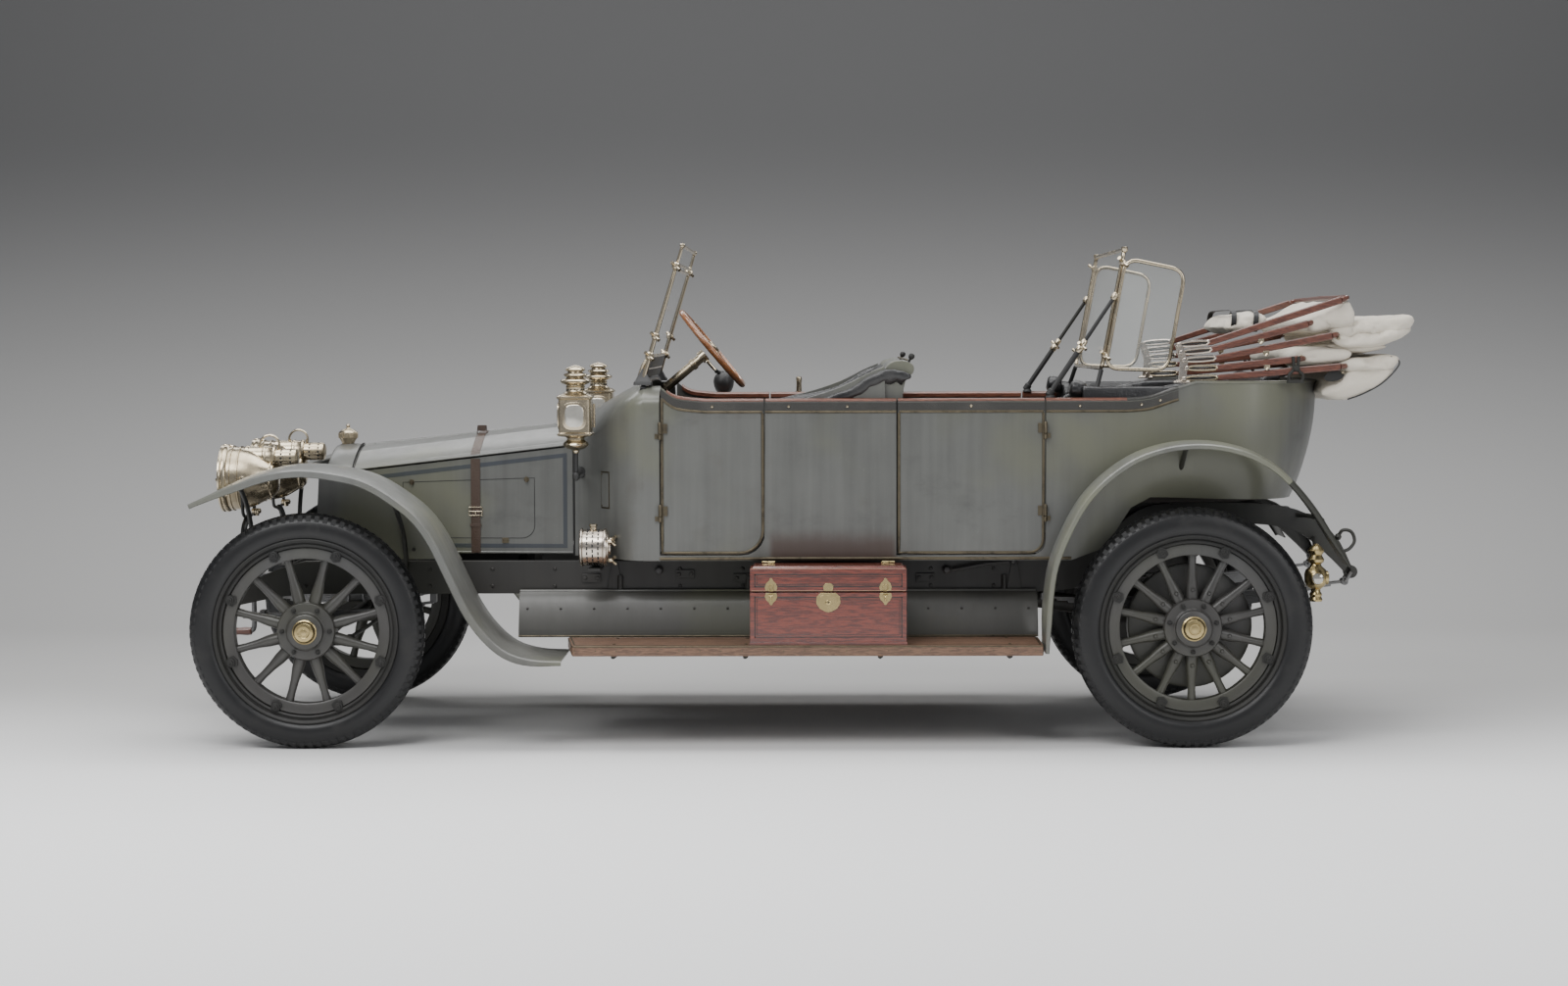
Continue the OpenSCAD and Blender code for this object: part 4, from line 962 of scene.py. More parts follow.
def tub_outline():
    """The left half of the tub's skin, less its doorways, as (u, z) pieces."""
    g = 0.006
    pieces = []
    post0, post1 = u_of(DOOR_F[1]) + g, u_of(DOOR_R[0]) - g
    low = DOOR_Z - g
    r = 0.085 + g
    left = corner(post0 - r, low + r, r, 0, -90, 5)
    pieces.append([(0.0, SILL_Z), (post0 - r, SILL_Z)] + [(post0 - r, low), (0.0, low)])
    post = [(post0 - r, SILL_Z), (post1, SILL_Z)]
    post += list(reversed(top_stretch(COWL_BACK - post0, COWL_BACK - post1))) + left[1:]
    pieces.append(post)
    rear0 = u_of(DOOR_R[1]) + g
    r = 0.05 + g
    pieces.append([(post1, SILL_Z), (rear0 - r, SILL_Z), (rear0 - r, low), (post1, low)])
    low_edge = [(rear0 - r, SILL_Z), (u_of(-2.86), SILL_Z), (u_of(-2.965), 0.728), (u_of(-3.03), 0.8),
                (u_of(-3.085), 0.885), (u_of(-3.16), 0.925), (u_of(-3.4), 0.918), (TUB_LENGTH, 0.905)]
    back = [(TUB_LENGTH, 1.351), (u_of(TUB_CURVE_X), 1.352)]
    back += [(u_of(q[0]), q[1]) for q in reversed(TOP_LINE) if TUB_CURVE_X < q[0] < DOOR_R[1] - g]
    back += [(rear0, RAIL_Z)] + corner(rear0 - r, low + r, r, 0, -90, 5)[:-1] + [(rear0 - r, low)]
    pieces.append(low_edge + back)
    return pieces


def build_tub(p):
    """The body's fixed sides and its round back, with mouldings, rail and press studs."""
    s = Shape()
    for outline in tub_outline():
        s.join(panel(outline, 0.022, 0.04))
    g = 0.006
    mid0, mid1 = DOOR_F[1] - g, DOOR_R[0] + g
    cap_rail(s, top_stretch(mid0, mid1), 2)
    edge_band(s, top_stretch(mid0, mid1), 4)
    half_round(s, bead_path([(u_of(mid0), RAIL_Z - 0.04), (u_of(mid1), RAIL_Z - 0.04)]), 0.005, 1)
    rear_top = top_stretch(DOOR_R[1] - g, TUB_CURVE_X)
    n = 26
    round_back = [(lerp(u_of(TUB_CURVE_X), TUB_LENGTH, i / n), 1.352) for i in range(1, n + 1)]
    split = [k for k, q in enumerate(rear_top) if q[0] < u_of(-2.96)][-1] + 1
    cap_rail(s, rear_top[:split + 1], 2)
    back = [k for k, q in enumerate(rear_top) if q[0] < u_of(-3.24)][-1] + 1
    cap_rail(s, rear_top[split:back + 1], 4)
    cap_rail(s, rear_top[back:] + round_back, 0)
    edge_band(s, rear_top[:back + 1], 4)
    low = [(u, z - 0.04) for u, z in rear_top[:back + 1]]
    half_round(s, bead_path(low), 0.005, 1)
    half_round(s, bead_path([(0.0, SILL_Z + 0.008), (u_of(-2.86), SILL_Z + 0.008)]), 0.006, 1)
    spots = [(u_of(x), along(TOP_LINE, x) - 0.02) for x in (-1.8, -2.02, -2.89, -3.12, -3.19)]
    studs(s, spots, finish=3)
    fixed_hinges(s, "rear", -0.02, 0)
    put("tub_skin", s.mirrored(), ["tub", "gilt", "cap_rail", "brass", "edging"], bevel=0.0015, replaces=["tub"],
            weld=True)


def cowl_half(x, inset=0.0, n=22):
    """The cowl's section at x, from its left sill over the top to the middle."""
    t = max(0.0, min(1.0, (DASH_X - x) / (DASH_X - SCREEN_X)))
    s = smooth(t)
    h = lerp(0.345, HALF_BODY, s) - inset
    z_side = lerp(1.13, 1.262, s)
    z_top = lerp(1.2, 1.372, t ** 0.8) - inset
    power = 2 / lerp(1.25, 2.9, s)
    points = []
    for i in range(9):
        z = lerp(SILL_Z, z_side, i / 9)
        points.append(Vector((x, h - crown(z) * s, z)))
    for i in range(n):
        a = pi / 2 * i / (n - 1)
        z = z_side + (z_top - z_side) * sin(a) ** power
        points.append(Vector((x, (h - crown(z_side) * s * (1 - i / n)) * max(cos(a), 0) ** power, z)))
    return points


def both_halves(half):
    """A left half section and its mirror image, from sill to sill."""
    return half + [Vector((q.x, -q.y, q.z)) for q in reversed(half[:-1])]


def build_cowl(p):
    """The flared dash and scuttle, its leather-edged opening, its small side door and seam mouldings."""
    s = Shape()
    stations = [DASH_X - 0.28 * i / 14 for i in range(15)]
    s.loft([both_halves(cowl_half(x)) + both_halves(cowl_half(x, 0.022))[::-1] for x in stations])
    cheek = []
    for i in range(5):
        x = lerp(SCREEN_X, COWL_BACK, i / 4)
        top = lerp(1.372, 1.352, i / 4)
        keep = [q for q in cowl_half(x) if q.z <= top - 0.004 and q.y > 0.5][:24]
        while len(keep) < 24:
            last = keep[-1]
            keep.append(Vector((x, last.y - 0.002, min(top, last.z + 0.001))))
        inner = [Vector((q.x, q.y - 0.022, q.z - 0.004)) for q in reversed(keep)]
        cheek.append(keep + inner)
    side = Shape().loft(cheek)
    s.join(side.mirrored())
    face = both_halves(cowl_half(DASH_X - 0.008, 0.01))
    s.loft([face, [q + Vector((-0.012, 0, 0)) for q in face]], 4)
    edge = cowl_half(SCREEN_X + 0.004)
    rim = [q for q in edge if q.y < 0.545]
    s.tube([q + Vector((-0.004, 0, -0.006)) for q in both_halves(rim)], 0.014, 12, 3)
    s.tube(both_halves(cowl_half(DASH_X + 0.0015)), 0.0035, 6, 5)
    trim = Shape()
    trim.block((-1.125, 0.0, 0.885), (-1.075, 0.004, 1.015), 0)
    trim.block((-1.131, 0.0, 0.879), (-1.069, 0.002, 1.021), 1)
    for z in (0.89, 1.01):
        trim.lathe([(0.003, 0), (0.003, 0.003), (0, 0.004)], (-1.079, 0.004, z), LEFT, 8, 1)
    at = [q for q in cowl_half(-1.1) if abs(q.z - 0.95) < 0.06][0]
    slope = atan2(cowl_half(-1.13)[4].y - cowl_half(-1.07)[4].y, 0.06)
    place = Matrix.Translation((0, at.y - 0.0015, 0)) @ Matrix.Translation((-1.1, 0, 0)) \
        @ Matrix.Rotation(-slope, 4, "Z") @ Matrix.Translation((1.1, 0, 0))
    s.join(trim.moved(place).mirrored())
    hinges = Shape()
    fixed_hinges(hinges, "front", 0, 0.02)
    s.join(hinges.mirrored())
    put("cowl_skin", s, ["coach", "gilt", "cap_rail", "leather", "boards", "dark"], bevel=0.001, replaces=["cowl"])
    rod = Shape()
    rod.tube([(DASH_X, 0, 1.195), (-0.098, 0, 1.103)], 0.006, 12, 0)
    put("bonnet_hinge_rod", rod, ["steel"])


# ---- front ----

BONNET_X = (-0.104, -0.964)
STRAP_X = (-0.567, -0.603)
HINGE_LINE = [(-0.098, 1.103), (DASH_X, 1.195)]


def bonnet_at(x):
    """Half width, centre height, bend height and shoulder height of the bonnet at x."""
    t = (BONNET_X[0] - x) / (BONNET_X[0] - BONNET_X[1])
    return lerp(0.276, 0.345, t), lerp(1.108, 1.2, t), lerp(1.084, 1.187, t), lerp(1.03, 1.13, t)


def bonnet_top_line(x, out=0.0):
    """The outside of the left top half at x, from the hinge rod down to its lip."""
    h, top, bend, shoulder = bonnet_at(x)
    half = h * 0.5
    rows = [(0.0145, top - 0.0015), (half * 0.55, lerp(top, bend, 0.5) + 0.002), (half - 0.016, bend + 0.003),
            (half - 0.004, bend + 0.001), (half + 0.006, bend - 0.0025), (half + 0.02, bend - 0.008),
            (lerp(half, h, 0.5), lerp(bend, shoulder, 0.5) + 0.001), (h - 0.016, shoulder + 0.0065),
            (h - 0.006, shoulder + 0.0015), (h - 0.001, shoulder - 0.004), (h, shoulder - 0.012)]
    points = [Vector((x, y, z)) for y, z in rows]
    if out:
        lifted = []
        for i, q in enumerate(points):
            d = points[min(i + 1, len(points) - 1)] - points[max(i - 1, 0)]
            lifted.append(q + Vector((0, -d.z, d.y)).normalized() * out)
        points = lifted
    return points


def bonnet_side_point(x, z, out=0.0):
    h = bonnet_at(x)[0]
    bow = 0.0025 * sin(pi * max(0.0, min(1.0, (z - 0.697) / 0.4)))
    return Vector((x, h + out + bow - 0.0025, z))


def build_bonnet(p):
    """The folding bonnet: two tops and two sides, with lining, catches, beads and a strap."""
    for side, sign in SIDES:
        flip = MIRROR[sign]
        xs = [lerp(BONNET_X[0], BONNET_X[1], i / 18) for i in range(19)]
        s = Shape()
        s.loft([bonnet_top_line(x) + list(reversed(bonnet_top_line(x, -0.004))) for x in xs])
        for x in (BONNET_X[0] - 0.004, BONNET_X[1] + 0.004):
            half_round(s, bonnet_top_line(x, 0.0), 0.004, 2)
        edge = [bonnet_top_line(x)[-1] + Vector((0, 0.001, 0.002)) for x in xs]
        s.tube(edge, 0.0038, 10, 0)
        hinge = [Vector((x, 0, along(HINGE_LINE, x))) for x in xs]
        for i in range(0 if sign > 0 else 1, 18, 2):
            s.tube([lerp(hinge[i], hinge[i + 1], 0.02), lerp(hinge[i], hinge[i + 1], 0.98)], 0.0084, 12, 0)
        put(f"bonnet_top_{side}_panel", s.moved(flip), ["bonnet", "nickel", "dark"], f"bonnet_top_{side}",
            bevel=0.001, replaces=[f"bonnet_top_{side}"])
        strap = Shape()
        rows = [bonnet_top_line(STRAP_X[0], 0.0022), bonnet_top_line(STRAP_X[1], 0.0022)]
        under = [bonnet_top_line(STRAP_X[0], 0.0002), bonnet_top_line(STRAP_X[1], 0.0002)]
        rings = []
        for i in range(len(rows[0])):
            rings.append([rows[0][i], lerp(rows[0][i], rows[1][i], 0.5) + Vector((0, 0, 0.0012)), rows[1][i],
                          under[1][i], under[0][i]])
        strap.loft(rings, 0)
        if sign > 0:
            top = bonnet_top_line(STRAP_X[0])[1] + Vector((-0.018, 0, 0.003))
            strap.tube([top + Vector(q) for q in ((-0.02, 0, 0), (0.02, 0, 0), (0.016, 0.004, 0.03),
                    (-0.016, 0.004, 0.03))], 0.0032, 8, 0, loop=True)
            strap.block(top + Vector((-0.015, -0.002, 0.01)), top + Vector((0.015, 0.009, 0.033)), 0)
        put(f"bonnet_strap_top_{side}", strap.moved(flip), ["strap"], f"bonnet_top_{side}", bevel=0.0006)

        low, s = 0.697, Shape()
        rings = []
        for x in xs:
            top = bonnet_at(x)[3] - 0.019
            zs = [lerp(low, top, i / 8) for i in range(9)]
            outer = [bonnet_side_point(x, z) for z in zs]
            inner = [bonnet_side_point(x, z, -0.004) for z in reversed(zs)]
            rings.append(outer + inner)
        s.loft(rings)
        frame_line(s, xs)
        half_round(s, [bonnet_side_point(x, low + 0.004, 0.001) for x in xs], 0.005, 0)
        panel_lines(s)
        for x, z in ((-0.335, 0.973), (-0.784, 0.984)):
            turn_catch(s, bonnet_side_point(x, z, 0.0005))
        at = bonnet_side_point(-0.7, 0.748, 0.001)
        s.block(at + Vector((-0.013, -0.001, -0.01)), at + Vector((0.013, 0.003, 0.01)), 3)
        for dx in (-0.008, 0.008):
            s.lathe([(0.0028, 0), (0.002, 0.002), (0, 0.0022)], at + Vector((dx, 0.003, 0)), LEFT, 8, 3)
        put(f"bonnet_side_{side}_panel", s.moved(flip), ["coach", "stripe", "nickel", "gilt", "dark"],
            f"bonnet_side_{side}", bevel=0.0008, replaces=[f"bonnet_side_{side}"])
        strap = Shape()
        rings = []
        top = bonnet_at(STRAP_X[0])[3] - 0.02
        for i in range(15):
            z = lerp(top, 0.699, i / 14)
            bulge = 0.0035 + 0.002 * sin(pi * i / 14)
            a, b = bonnet_side_point(STRAP_X[0], z, bulge), bonnet_side_point(STRAP_X[1], z, bulge)
            rings.append([a, lerp(a, b, 0.5) + Vector((0, 0.0012, 0)), b, b - Vector((0, 0.0024, 0)),
                          a - Vector((0, 0.0024, 0))])
        strap.loft(rings, 0)
        z = 0.86
        c = bonnet_side_point(-0.585, z, 0.008)
        loop = [c + Vector((dx, 0, dz)) for dx, dz in ((-0.025, -0.016), (0.025, -0.016), (0.025, 0.016),
                (-0.025, 0.016))]
        strap.tube(loop, 0.0026, 8, 1, loop=True)
        strap.tube([c + Vector((-0.025, 0.001, 0)), c + Vector((0.025, 0.001, 0))], 0.0024, 8, 1)
        strap.tube([c + Vector((0, 0.002, 0)), c + Vector((0, 0.005, -0.017))], 0.0018, 8, 1)
        strap.block(bonnet_side_point(-0.607, 0.8, 0.002), bonnet_side_point(-0.563, 0.812, 0.0095), 0)
        put(f"bonnet_strap_side_{side}", strap.moved(flip), ["strap", "brass"], f"bonnet_side_{side}",
            bevel=0.0006)


def frame_line(s, xs):
    """The dark lining that runs round the bonnet's side, set in from its edges."""
    def band(a, b):
        rings = []
        for i in range(13):
            q, r = lerp(a[0], b[0], i / 12), lerp(a[1], b[1], i / 12)
            rings.append([bonnet_side_point(q[0], q[1], 0.0), bonnet_side_point(q[0], q[1], 0.0007),
                          bonnet_side_point(r[0], r[1], 0.0007), bonnet_side_point(r[0], r[1], 0.0)])
        s.loft(rings, 1)

    def corner_at(x, up, inset):
        top = bonnet_at(x)[3] - 0.019
        return (x, top - inset if up else 0.697 + inset)

    x0, x1 = xs[0], xs[-1]
    w, inset = 0.016, 0.022
    outer = [corner_at(x0 - inset, True, inset), corner_at(x1 + inset, True, inset),
             corner_at(x1 + inset, False, inset), corner_at(x0 - inset, False, inset)]
    inner = [corner_at(x0 - inset - w, True, inset + w), corner_at(x1 + inset + w, True, inset + w),
             corner_at(x1 + inset + w, False, inset + w), corner_at(x0 - inset - w, False, inset + w)]
    for k in range(4):
        a, b, c, d = outer[k], outer[(k + 1) % 4], inner[(k + 1) % 4], inner[k]
        band((Vector(a), Vector(d)), (Vector(b), Vector(c)))


def panel_lines(s):
    """The outline of the access panel in the bonnet's side."""
    x0, x1, z0 = -0.3, -0.815, 0.757
    top0, top1 = 0.972, 0.99
    outline = [(x0, top0), (x0, z0 + 0.02)]
    outline += [(x0 - 0.02 + 0.02 * cos(a), z0 + 0.02 - 0.02 * sin(a))
                for a in (pi * i / 12 for i in range(1, 7))]
    outline += [(x1 + 0.05 - 0.05 * sin(a), z0 + 0.05 - 0.05 * cos(a))
                for a in (pi * i / 16 for i in range(0, 9))]
    outline += [(x1, top1)]
    path = []
    for a, b in zip(outline, outline[1:] + outline[:1]):
        n = max(1, round(dist(a, b) / 0.06))
        path += [bonnet_side_point(lerp(a[0], b[0], i / n), lerp(a[1], b[1], i / n), 0.0002) for i in range(n)]
    s.tube(path, 0.0014, 6, 4, loop=True)


def turn_catch(s, at):
    s.loft([[at + Vector((0.01 * cos(a), y, 0.01 * sin(a))) for a in
             (TURN * i / 20 for i in range(20))] for y in (0.0, 0.0025)], 3)
    s.lathe([(0.006, 0.002), (0.005, 0.008), (0, 0.009)], at, LEFT, 14, 3)
    s.loft([[at + Vector((dx, y, dz)) for dx, dz in ((-0.003, -0.011), (-0.003, 0.011), (0.003, 0.011),
            (0.003, -0.011))] for y in (0.006, 0.012)], 3)


def build_radiator(p):
    """The radiator's shell, honeycomb core, filler and the seam behind it."""
    s = Shape()
    def outline(grow):
        base = [(-0.276 - grow, 0.6 - grow), (-0.276 - grow, 0.98)]
        base += through([(-0.276 - grow, 0.98), (-0.268 - grow, 1.028 + grow), (-0.14, 1.087 + grow),
                         (0, 1.112 + grow), (0.14, 1.087 + grow), (0.268 + grow, 1.028 + grow),
                         (0.276 + grow, 0.98)], 5)[1:]
        return [tuple(q) for q in base] + [(0.276 + grow, 0.6 - grow)]
    rings = []
    for x, grow in ((-0.1, -0.001), (-0.06, 0.0), (-0.012, -0.001), (0.002, -0.007), (0.007, -0.018)):
        tilt = -0.006
        rings.append([Vector((x + tilt * (z - 0.6) if x > -0.05 else x, y, z)) for y, z in outline(grow)])
    s.loft(rings, 0)
    inner = [Vector((0.0045, y * 0.83, 0.7 + (z - 0.6) * 0.62)) for y, z in outline(-0.01)]
    lip = [Vector((0.011, y * 0.85, 0.693 + (z - 0.6) * 0.632)) for y, z in outline(-0.01)]
    s.tube(lip, 0.006, 8, 0, loop=True)
    s.loft([inner, [q + Vector((0.003, 0, 0)) for q in inner]], 2)
    s.lathe([(0.026, 0), (0.024, 0.05), (0.029, 0.06), (0.033, 0.066), (0.037, 0.07), (0.037, 0.092),
             (0.034, 0.096), (0.02, 0.104), (0.009, 0.108), (0.006, 0.112), (0.0085, 0.118), (0.006, 0.124),
             (0, 0.125)],
            (-0.04, 0, 1.064), UP, 40, 1)
    for i in range(24):
        a = TURN * i / 24
        s.lathe([(0.0028, 0), (0.0028, 0.02), (0, 0.021)],
                (-0.04 + 0.0365 * cos(a), 0.0365 * sin(a), 1.134), UP, 6, 1)
    seam = [Vector((-0.1005, y, z)) for y, z in outline(0.001)]
    s.tube(seam, 0.0022, 6, 3)
    put("radiator_shell", s, ["coach", "brass", "core", "dark"], bevel=0.001, replaces=["radiator"])
    h = Shape()
    h.tube([(0.11, 0, 0.59), (0.34, 0, 0.59)], 0.011, 14, 0)
    h.tube(through([(0.33, 0, 0.59), (0.344, 0, 0.578), (0.345, 0, 0.5), (0.345, 0, 0.385), (0.358, 0, 0.364),
                    (0.375, 0, 0.362)], 5), 0.01, 12, 0)
    h.lathe([(0.01, 0), (0.015, 0.004), (0.0165, 0.02), (0.0145, 0.05), (0.0155, 0.07), (0.012, 0.078), (0, 0.08)],
            (0.354, 0, 0.362), AHEAD, 24, 1)
    h.lathe([(0.02, -0.012), (0.02, 0.012)], (0.125, 0, 0.59), AHEAD, 20, 2)
    put("starting_handle_rod", h, ["steel", "bow", "brass"], replaces=["starting_handle"])


# ---- mudguards and running boards ----

FRONT_WING = through([(0.42, 0.919), (0.292, 0.975), (0.139, 1.029), (0.0, 1.047), (-0.154, 1.028), (-0.255, 0.996),
        (-0.356, 0.933), (-0.431, 0.869), (-0.494, 0.78), (-0.556, 0.652), (-0.618, 0.525), (-0.681, 0.436),
        (-0.757, 0.371), (-0.85, 0.342), (-0.957, 0.336)], 4)
REAR_WING = through([(-2.748, 0.36), (-2.75, 0.45), (-2.756, 0.56), (-2.776, 0.688), (-2.827, 0.816), (-2.89, 0.926),
        (-2.968, 1.009), (-3.07, 1.08), (-3.172, 1.118), (-3.275, 1.134), (-3.378, 1.131), (-3.48, 1.108),
        (-3.558, 1.072), (-3.622, 1.027), (-3.686, 0.962), (-3.751, 0.879), (-3.816, 0.776), (-3.872, 0.684)], 4)


def wing_rings(line, y_in, y_out, flange, dome, tip):
    """A domed guard along a side view line, with a rolled and turned-down outer edge."""
    rings, n = [], len(line)
    for k, q in enumerate(line):
        d = (Vector(line[min(k + 1, n - 1)]) - Vector(line[max(k - 1, 0)])).normalized()
        out = Vector((d.y, -d.x))
        near = smooth(min(k, n - 1 - k) / tip)
        high = dome * near

        def at(y, o):
            v = Vector(q) + out * o
            return Vector((v.x, y, v.y))

        ring = [at(y_in, -0.004)]
        for i in range(9):
            t = i / 8
            ring.append(at(lerp(y_in, y_out - 0.012, t), high * (1 - (2 * t - 1) ** 2)))
        f = flange * lerp(0.6, 1.0, near)
        ring += [at(y_out - 0.006, -0.001), at(y_out - 0.001, -0.006), at(y_out - 0.001, -f + 0.005),
                 at(y_out, -f), at(y_out - 0.005, -f - 0.003), at(y_out - 0.009, -f + 0.001),
                 at(y_out - 0.006, -f + 0.006), at(y_out - 0.007, -0.01), at(y_out - 0.014, -0.006)]
        for i in range(6):
            t = i / 5
            ring.append(at(lerp(y_out - 0.018, y_in + 0.004, t), high * (1 - (2 * (1 - t) - 1) ** 2) - 0.005))
        rings.append(ring)
    return rings


def build_wings(p):
    """The four mudguards with their inner valances, beads, stays and rear scrolls."""
    front = Shape()
    front.loft(wing_rings(FRONT_WING, 0.424, HALF_CAR, 0.026, 0.014, 6))
    valance = [q for q in FRONT_WING if q[0] < 0.02 and q[1] > 0.69]
    front.plate([(q[0], q[1] - 0.003) for q in valance] + [(-0.545, 0.684), (0.02, 0.684)], 0.424, 0.427, 0)
    for x, z in ((-0.04, 0.72), (-0.2, 0.72), (-0.36, 0.72), (-0.49, 0.72)):
        front.bolt((x, 0.427, z), LEFT, 0.007, 0.006, 1)
    front.tube(through([(-0.33, 0.432, 0.645), (-0.33, 0.436, 0.7), (-0.328, 0.5, 0.8), (-0.322, 0.66, 0.905),
            (-0.318, 0.78, 0.945)], 5), 0.009, 10, 1)
    front.tube(through([(0.24, 0.408, 0.628), (0.246, 0.44, 0.68), (0.252, 0.52, 0.86), (0.258, 0.64, 0.962),
            (0.262, 0.78, 0.974)], 5), 0.009, 10, 1)
    for q in ((-0.318, 0.775, 0.944), (0.262, 0.775, 0.975)):
        front.bolt(q, UP, 0.008, 0.016, 1, 12)
    put("front_wings_skin", front.mirrored(), ["wing", "chassis"], replaces=["front_wings"])
    rear = Shape()
    rings = wing_rings(REAR_WING, 0.621, HALF_CAR, 0.018, 0.01, 6)
    tail = [k for k, q in enumerate(REAR_WING) if q[0] < -3.64][0]
    rear.loft(rings[:tail + 1])
    rear.loft(rings[tail:], 1)
    rear.tube(through([(-3.74, 0.432, 0.846), (-3.76, 0.52, 0.85), (-3.768, 0.66, 0.852), (-3.765, 0.8, 0.851)], 5),
              0.009, 10, 1)
    rear.tube(through([(-3.25, 0.432, 0.9), (-3.26, 0.5, 0.94), (-3.272, 0.62, 1.05), (-3.275, 0.72, 1.118),
            (-3.275, 0.8, 1.125)], 5), 0.009, 10, 1)
    loop = through([(-3.845, 0.7, 0.728), (-3.88, 0.7, 0.735), (-3.905, 0.69, 0.765), (-3.895, 0.68, 0.8),
                    (-3.865, 0.67, 0.805), (-3.85, 0.66, 0.78)], 5)
    rear.tube(loop, 0.0065, 8, 1)
    rear.lathe([(0, -0.014), (0.009, -0.01), (0.013, 0), (0.009, 0.01), (0, 0.014)], loop[-1], UP, 14, 1)
    put("rear_wings_skin", rear.mirrored(), ["wing", "chassis"], replaces=["rear_wings"])


BOARD_X = (-0.957, -2.741)
BOARD_Z = 0.392


def build_boards(p):
    """Running boards of wood with brass edges, the aprons over them and their brackets."""
    s = Shape()
    front_x, rear_x = BOARD_X
    n = 4
    y0, y1 = 0.527, 0.808
    for i in range(n):
        a, b = lerp(y0, y1, i / n) + 0.001, lerp(y0, y1, (i + 1) / n) - 0.001
        xa, xb = (front_x - 0.01 - 0.04 * (y - 0.52) / 0.296 for y in (a, b))
        outline = [Vector((xa, a, 0)), Vector((xb, b, 0)), Vector((rear_x + 0.006, b, 0)),
                   Vector((rear_x + 0.006, a, 0))]
        s.loft([[q + Vector((0, 0, BOARD_Z - 0.026)) for q in outline],
                [q + Vector((0, 0, BOARD_Z - 0.001)) for q in outline]], 0)
    edge = [(front_x - 0.002, 0.521), (front_x - 0.043, HALF_CAR - 0.005), (rear_x + 0.002, HALF_CAR - 0.005),
            (rear_x + 0.002, 0.521)]
    rounded = []
    for k, q in enumerate(edge):
        before, after = edge[k - 1], edge[(k + 1) % 4]
        for other in (before, after):
            d = (Vector(other) - Vector(q)).normalized() * 0.012
            rounded.append((q[0] + d.x, q[1] + d.y))
        rounded[-1:-1] = [(q[0] + 0.0025 * (1 if q[0] < -2 else -1), q[1] - 0.0025 * (1 if q[1] > 0.6 else -1))]
    section = [(-0.004, -0.02), (0.0005, -0.02), (0.0025, -0.016), (0.0025, 0.016), (0.0, 0.019),
               (-0.01, 0.0205), (-0.012, 0.0175), (-0.004, 0.016)]
    strip = [(0.0, 0.0185), (0.003, 0.0175), (0.0032, 0.013), (-0.002, 0.013), (-0.011, 0.019), (-0.011, 0.0212)]
    for finish, shown in enumerate((section, strip)):
        rings = []
        for k, q in enumerate(rounded):
            d = (Vector(rounded[(k + 1) % len(rounded)]) - Vector(rounded[k - 1])).normalized()
            out = Vector((-d.y, d.x))
            if out.dot(Vector(q) - Vector((-1.85, 0.668))) < 0:
                out = -out
            rings.append([Vector((q[0] + out.x * a, q[1] + out.y * a, BOARD_Z - 0.019 + b)) for a, b in shown])
        s.loft(rings, finish, loop=True)
    for x in [lerp(front_x - 0.05, rear_x + 0.03, i / 22) for i in range(23)]:
        s.lathe([(0.0035, 0), (0.0025, 0.0015), (0, 0.002)], (x, HALF_CAR - 0.0035, BOARD_Z - 0.019), LEFT, 8, 1)
    rows = [(0.421, 0.5535), (0.434, 0.5625), (0.452, 0.56), (0.466, 0.545), (0.48, 0.52), (0.5, 0.465),
            (0.512, 0.425), (0.517, 0.396)]
    rings = []
    for i in range(25):
        x = lerp(-0.768, rear_x, i / 24)
        outer = [Vector((x, y, z)) for y, z in rows]
        rings.append(outer + [q + Vector((-0.004, 0, -0.004)) for q in reversed(outer)])
    s.loft(rings, 2)
    s.tube([(-0.768, 0.5165, 0.3965), (rear_x, 0.5165, 0.3965)], 0.0035, 8, 1)
    s.tube([(-0.768, 0.44, 0.5615), (rear_x, 0.44, 0.5615)], 0.006, 8, 4)
    for i in range(16):
        s.bolt((lerp(-0.8, -2.71, i / 15), 0.4885, 0.4985), (0, 1, 0.35), 0.005, 0.004, 3, 8)
    for x in (-1.15, -1.64, -2.14, -2.62):
        s.tube(through([(x, 0.424, 0.62), (x, 0.432, 0.53), (x, 0.462, 0.42), (x, 0.53, 0.352), (x, 0.66, 0.345),
                        (x, 0.785, 0.35)], 5), 0.012, 10, 3, flatten=0.8)
        for y in (0.56, 0.76):
            s.bolt((x, y, 0.358), UP, 0.009, 0.008, 3)
            s.bolt((x, y, 0.3915), UP, 0.007, 0.003, 1, 12)
    put("running_boards_wood", s.mirrored(), ["running", "gilt", "apron", "chassis", "wing"], bevel=0.0008,
        replaces=["running_boards"])


BOX_X = (-1.657, -2.236)
BOX_Y = (0.632, 0.8)
BOX_SPLIT = 0.59
BOX_TOP = 0.684


def catch_plate(x, z, height):
    """A pointed brass plate that ends at z and is height tall, down where that is negative."""
    outline = [(-0.02, 0.0), (0.02, 0.0), (0.0235, 0.28), (0.018, 0.58), (0.007, 0.8), (0.005, 0.93), (0, 1.0),
               (-0.005, 0.93), (-0.007, 0.8), (-0.018, 0.58), (-0.0235, 0.28)]
    return [(x + a, z + b * height) for a, b in outline]


def lining(s, x0, x1, z0, z1, y, finish):
    """Two thin painted lines round a box's face."""
    for inset, w in ((0.018, 0.0022), (0.026, 0.0011)):
        corners = [(x0 - inset, z0 + inset), (x0 - inset, z1 - inset), (x1 + inset, z1 - inset),
                   (x1 + inset, z0 + inset)]
        for a, b in zip(corners, corners[1:] + corners[:1]):
            lo = (min(a[0], b[0]) - w, y - 0.001, min(a[1], b[1]) - w)
            hi = (max(a[0], b[0]) + w, y + 0.0004, max(a[1], b[1]) + w)
            s.block(lo, hi, finish)


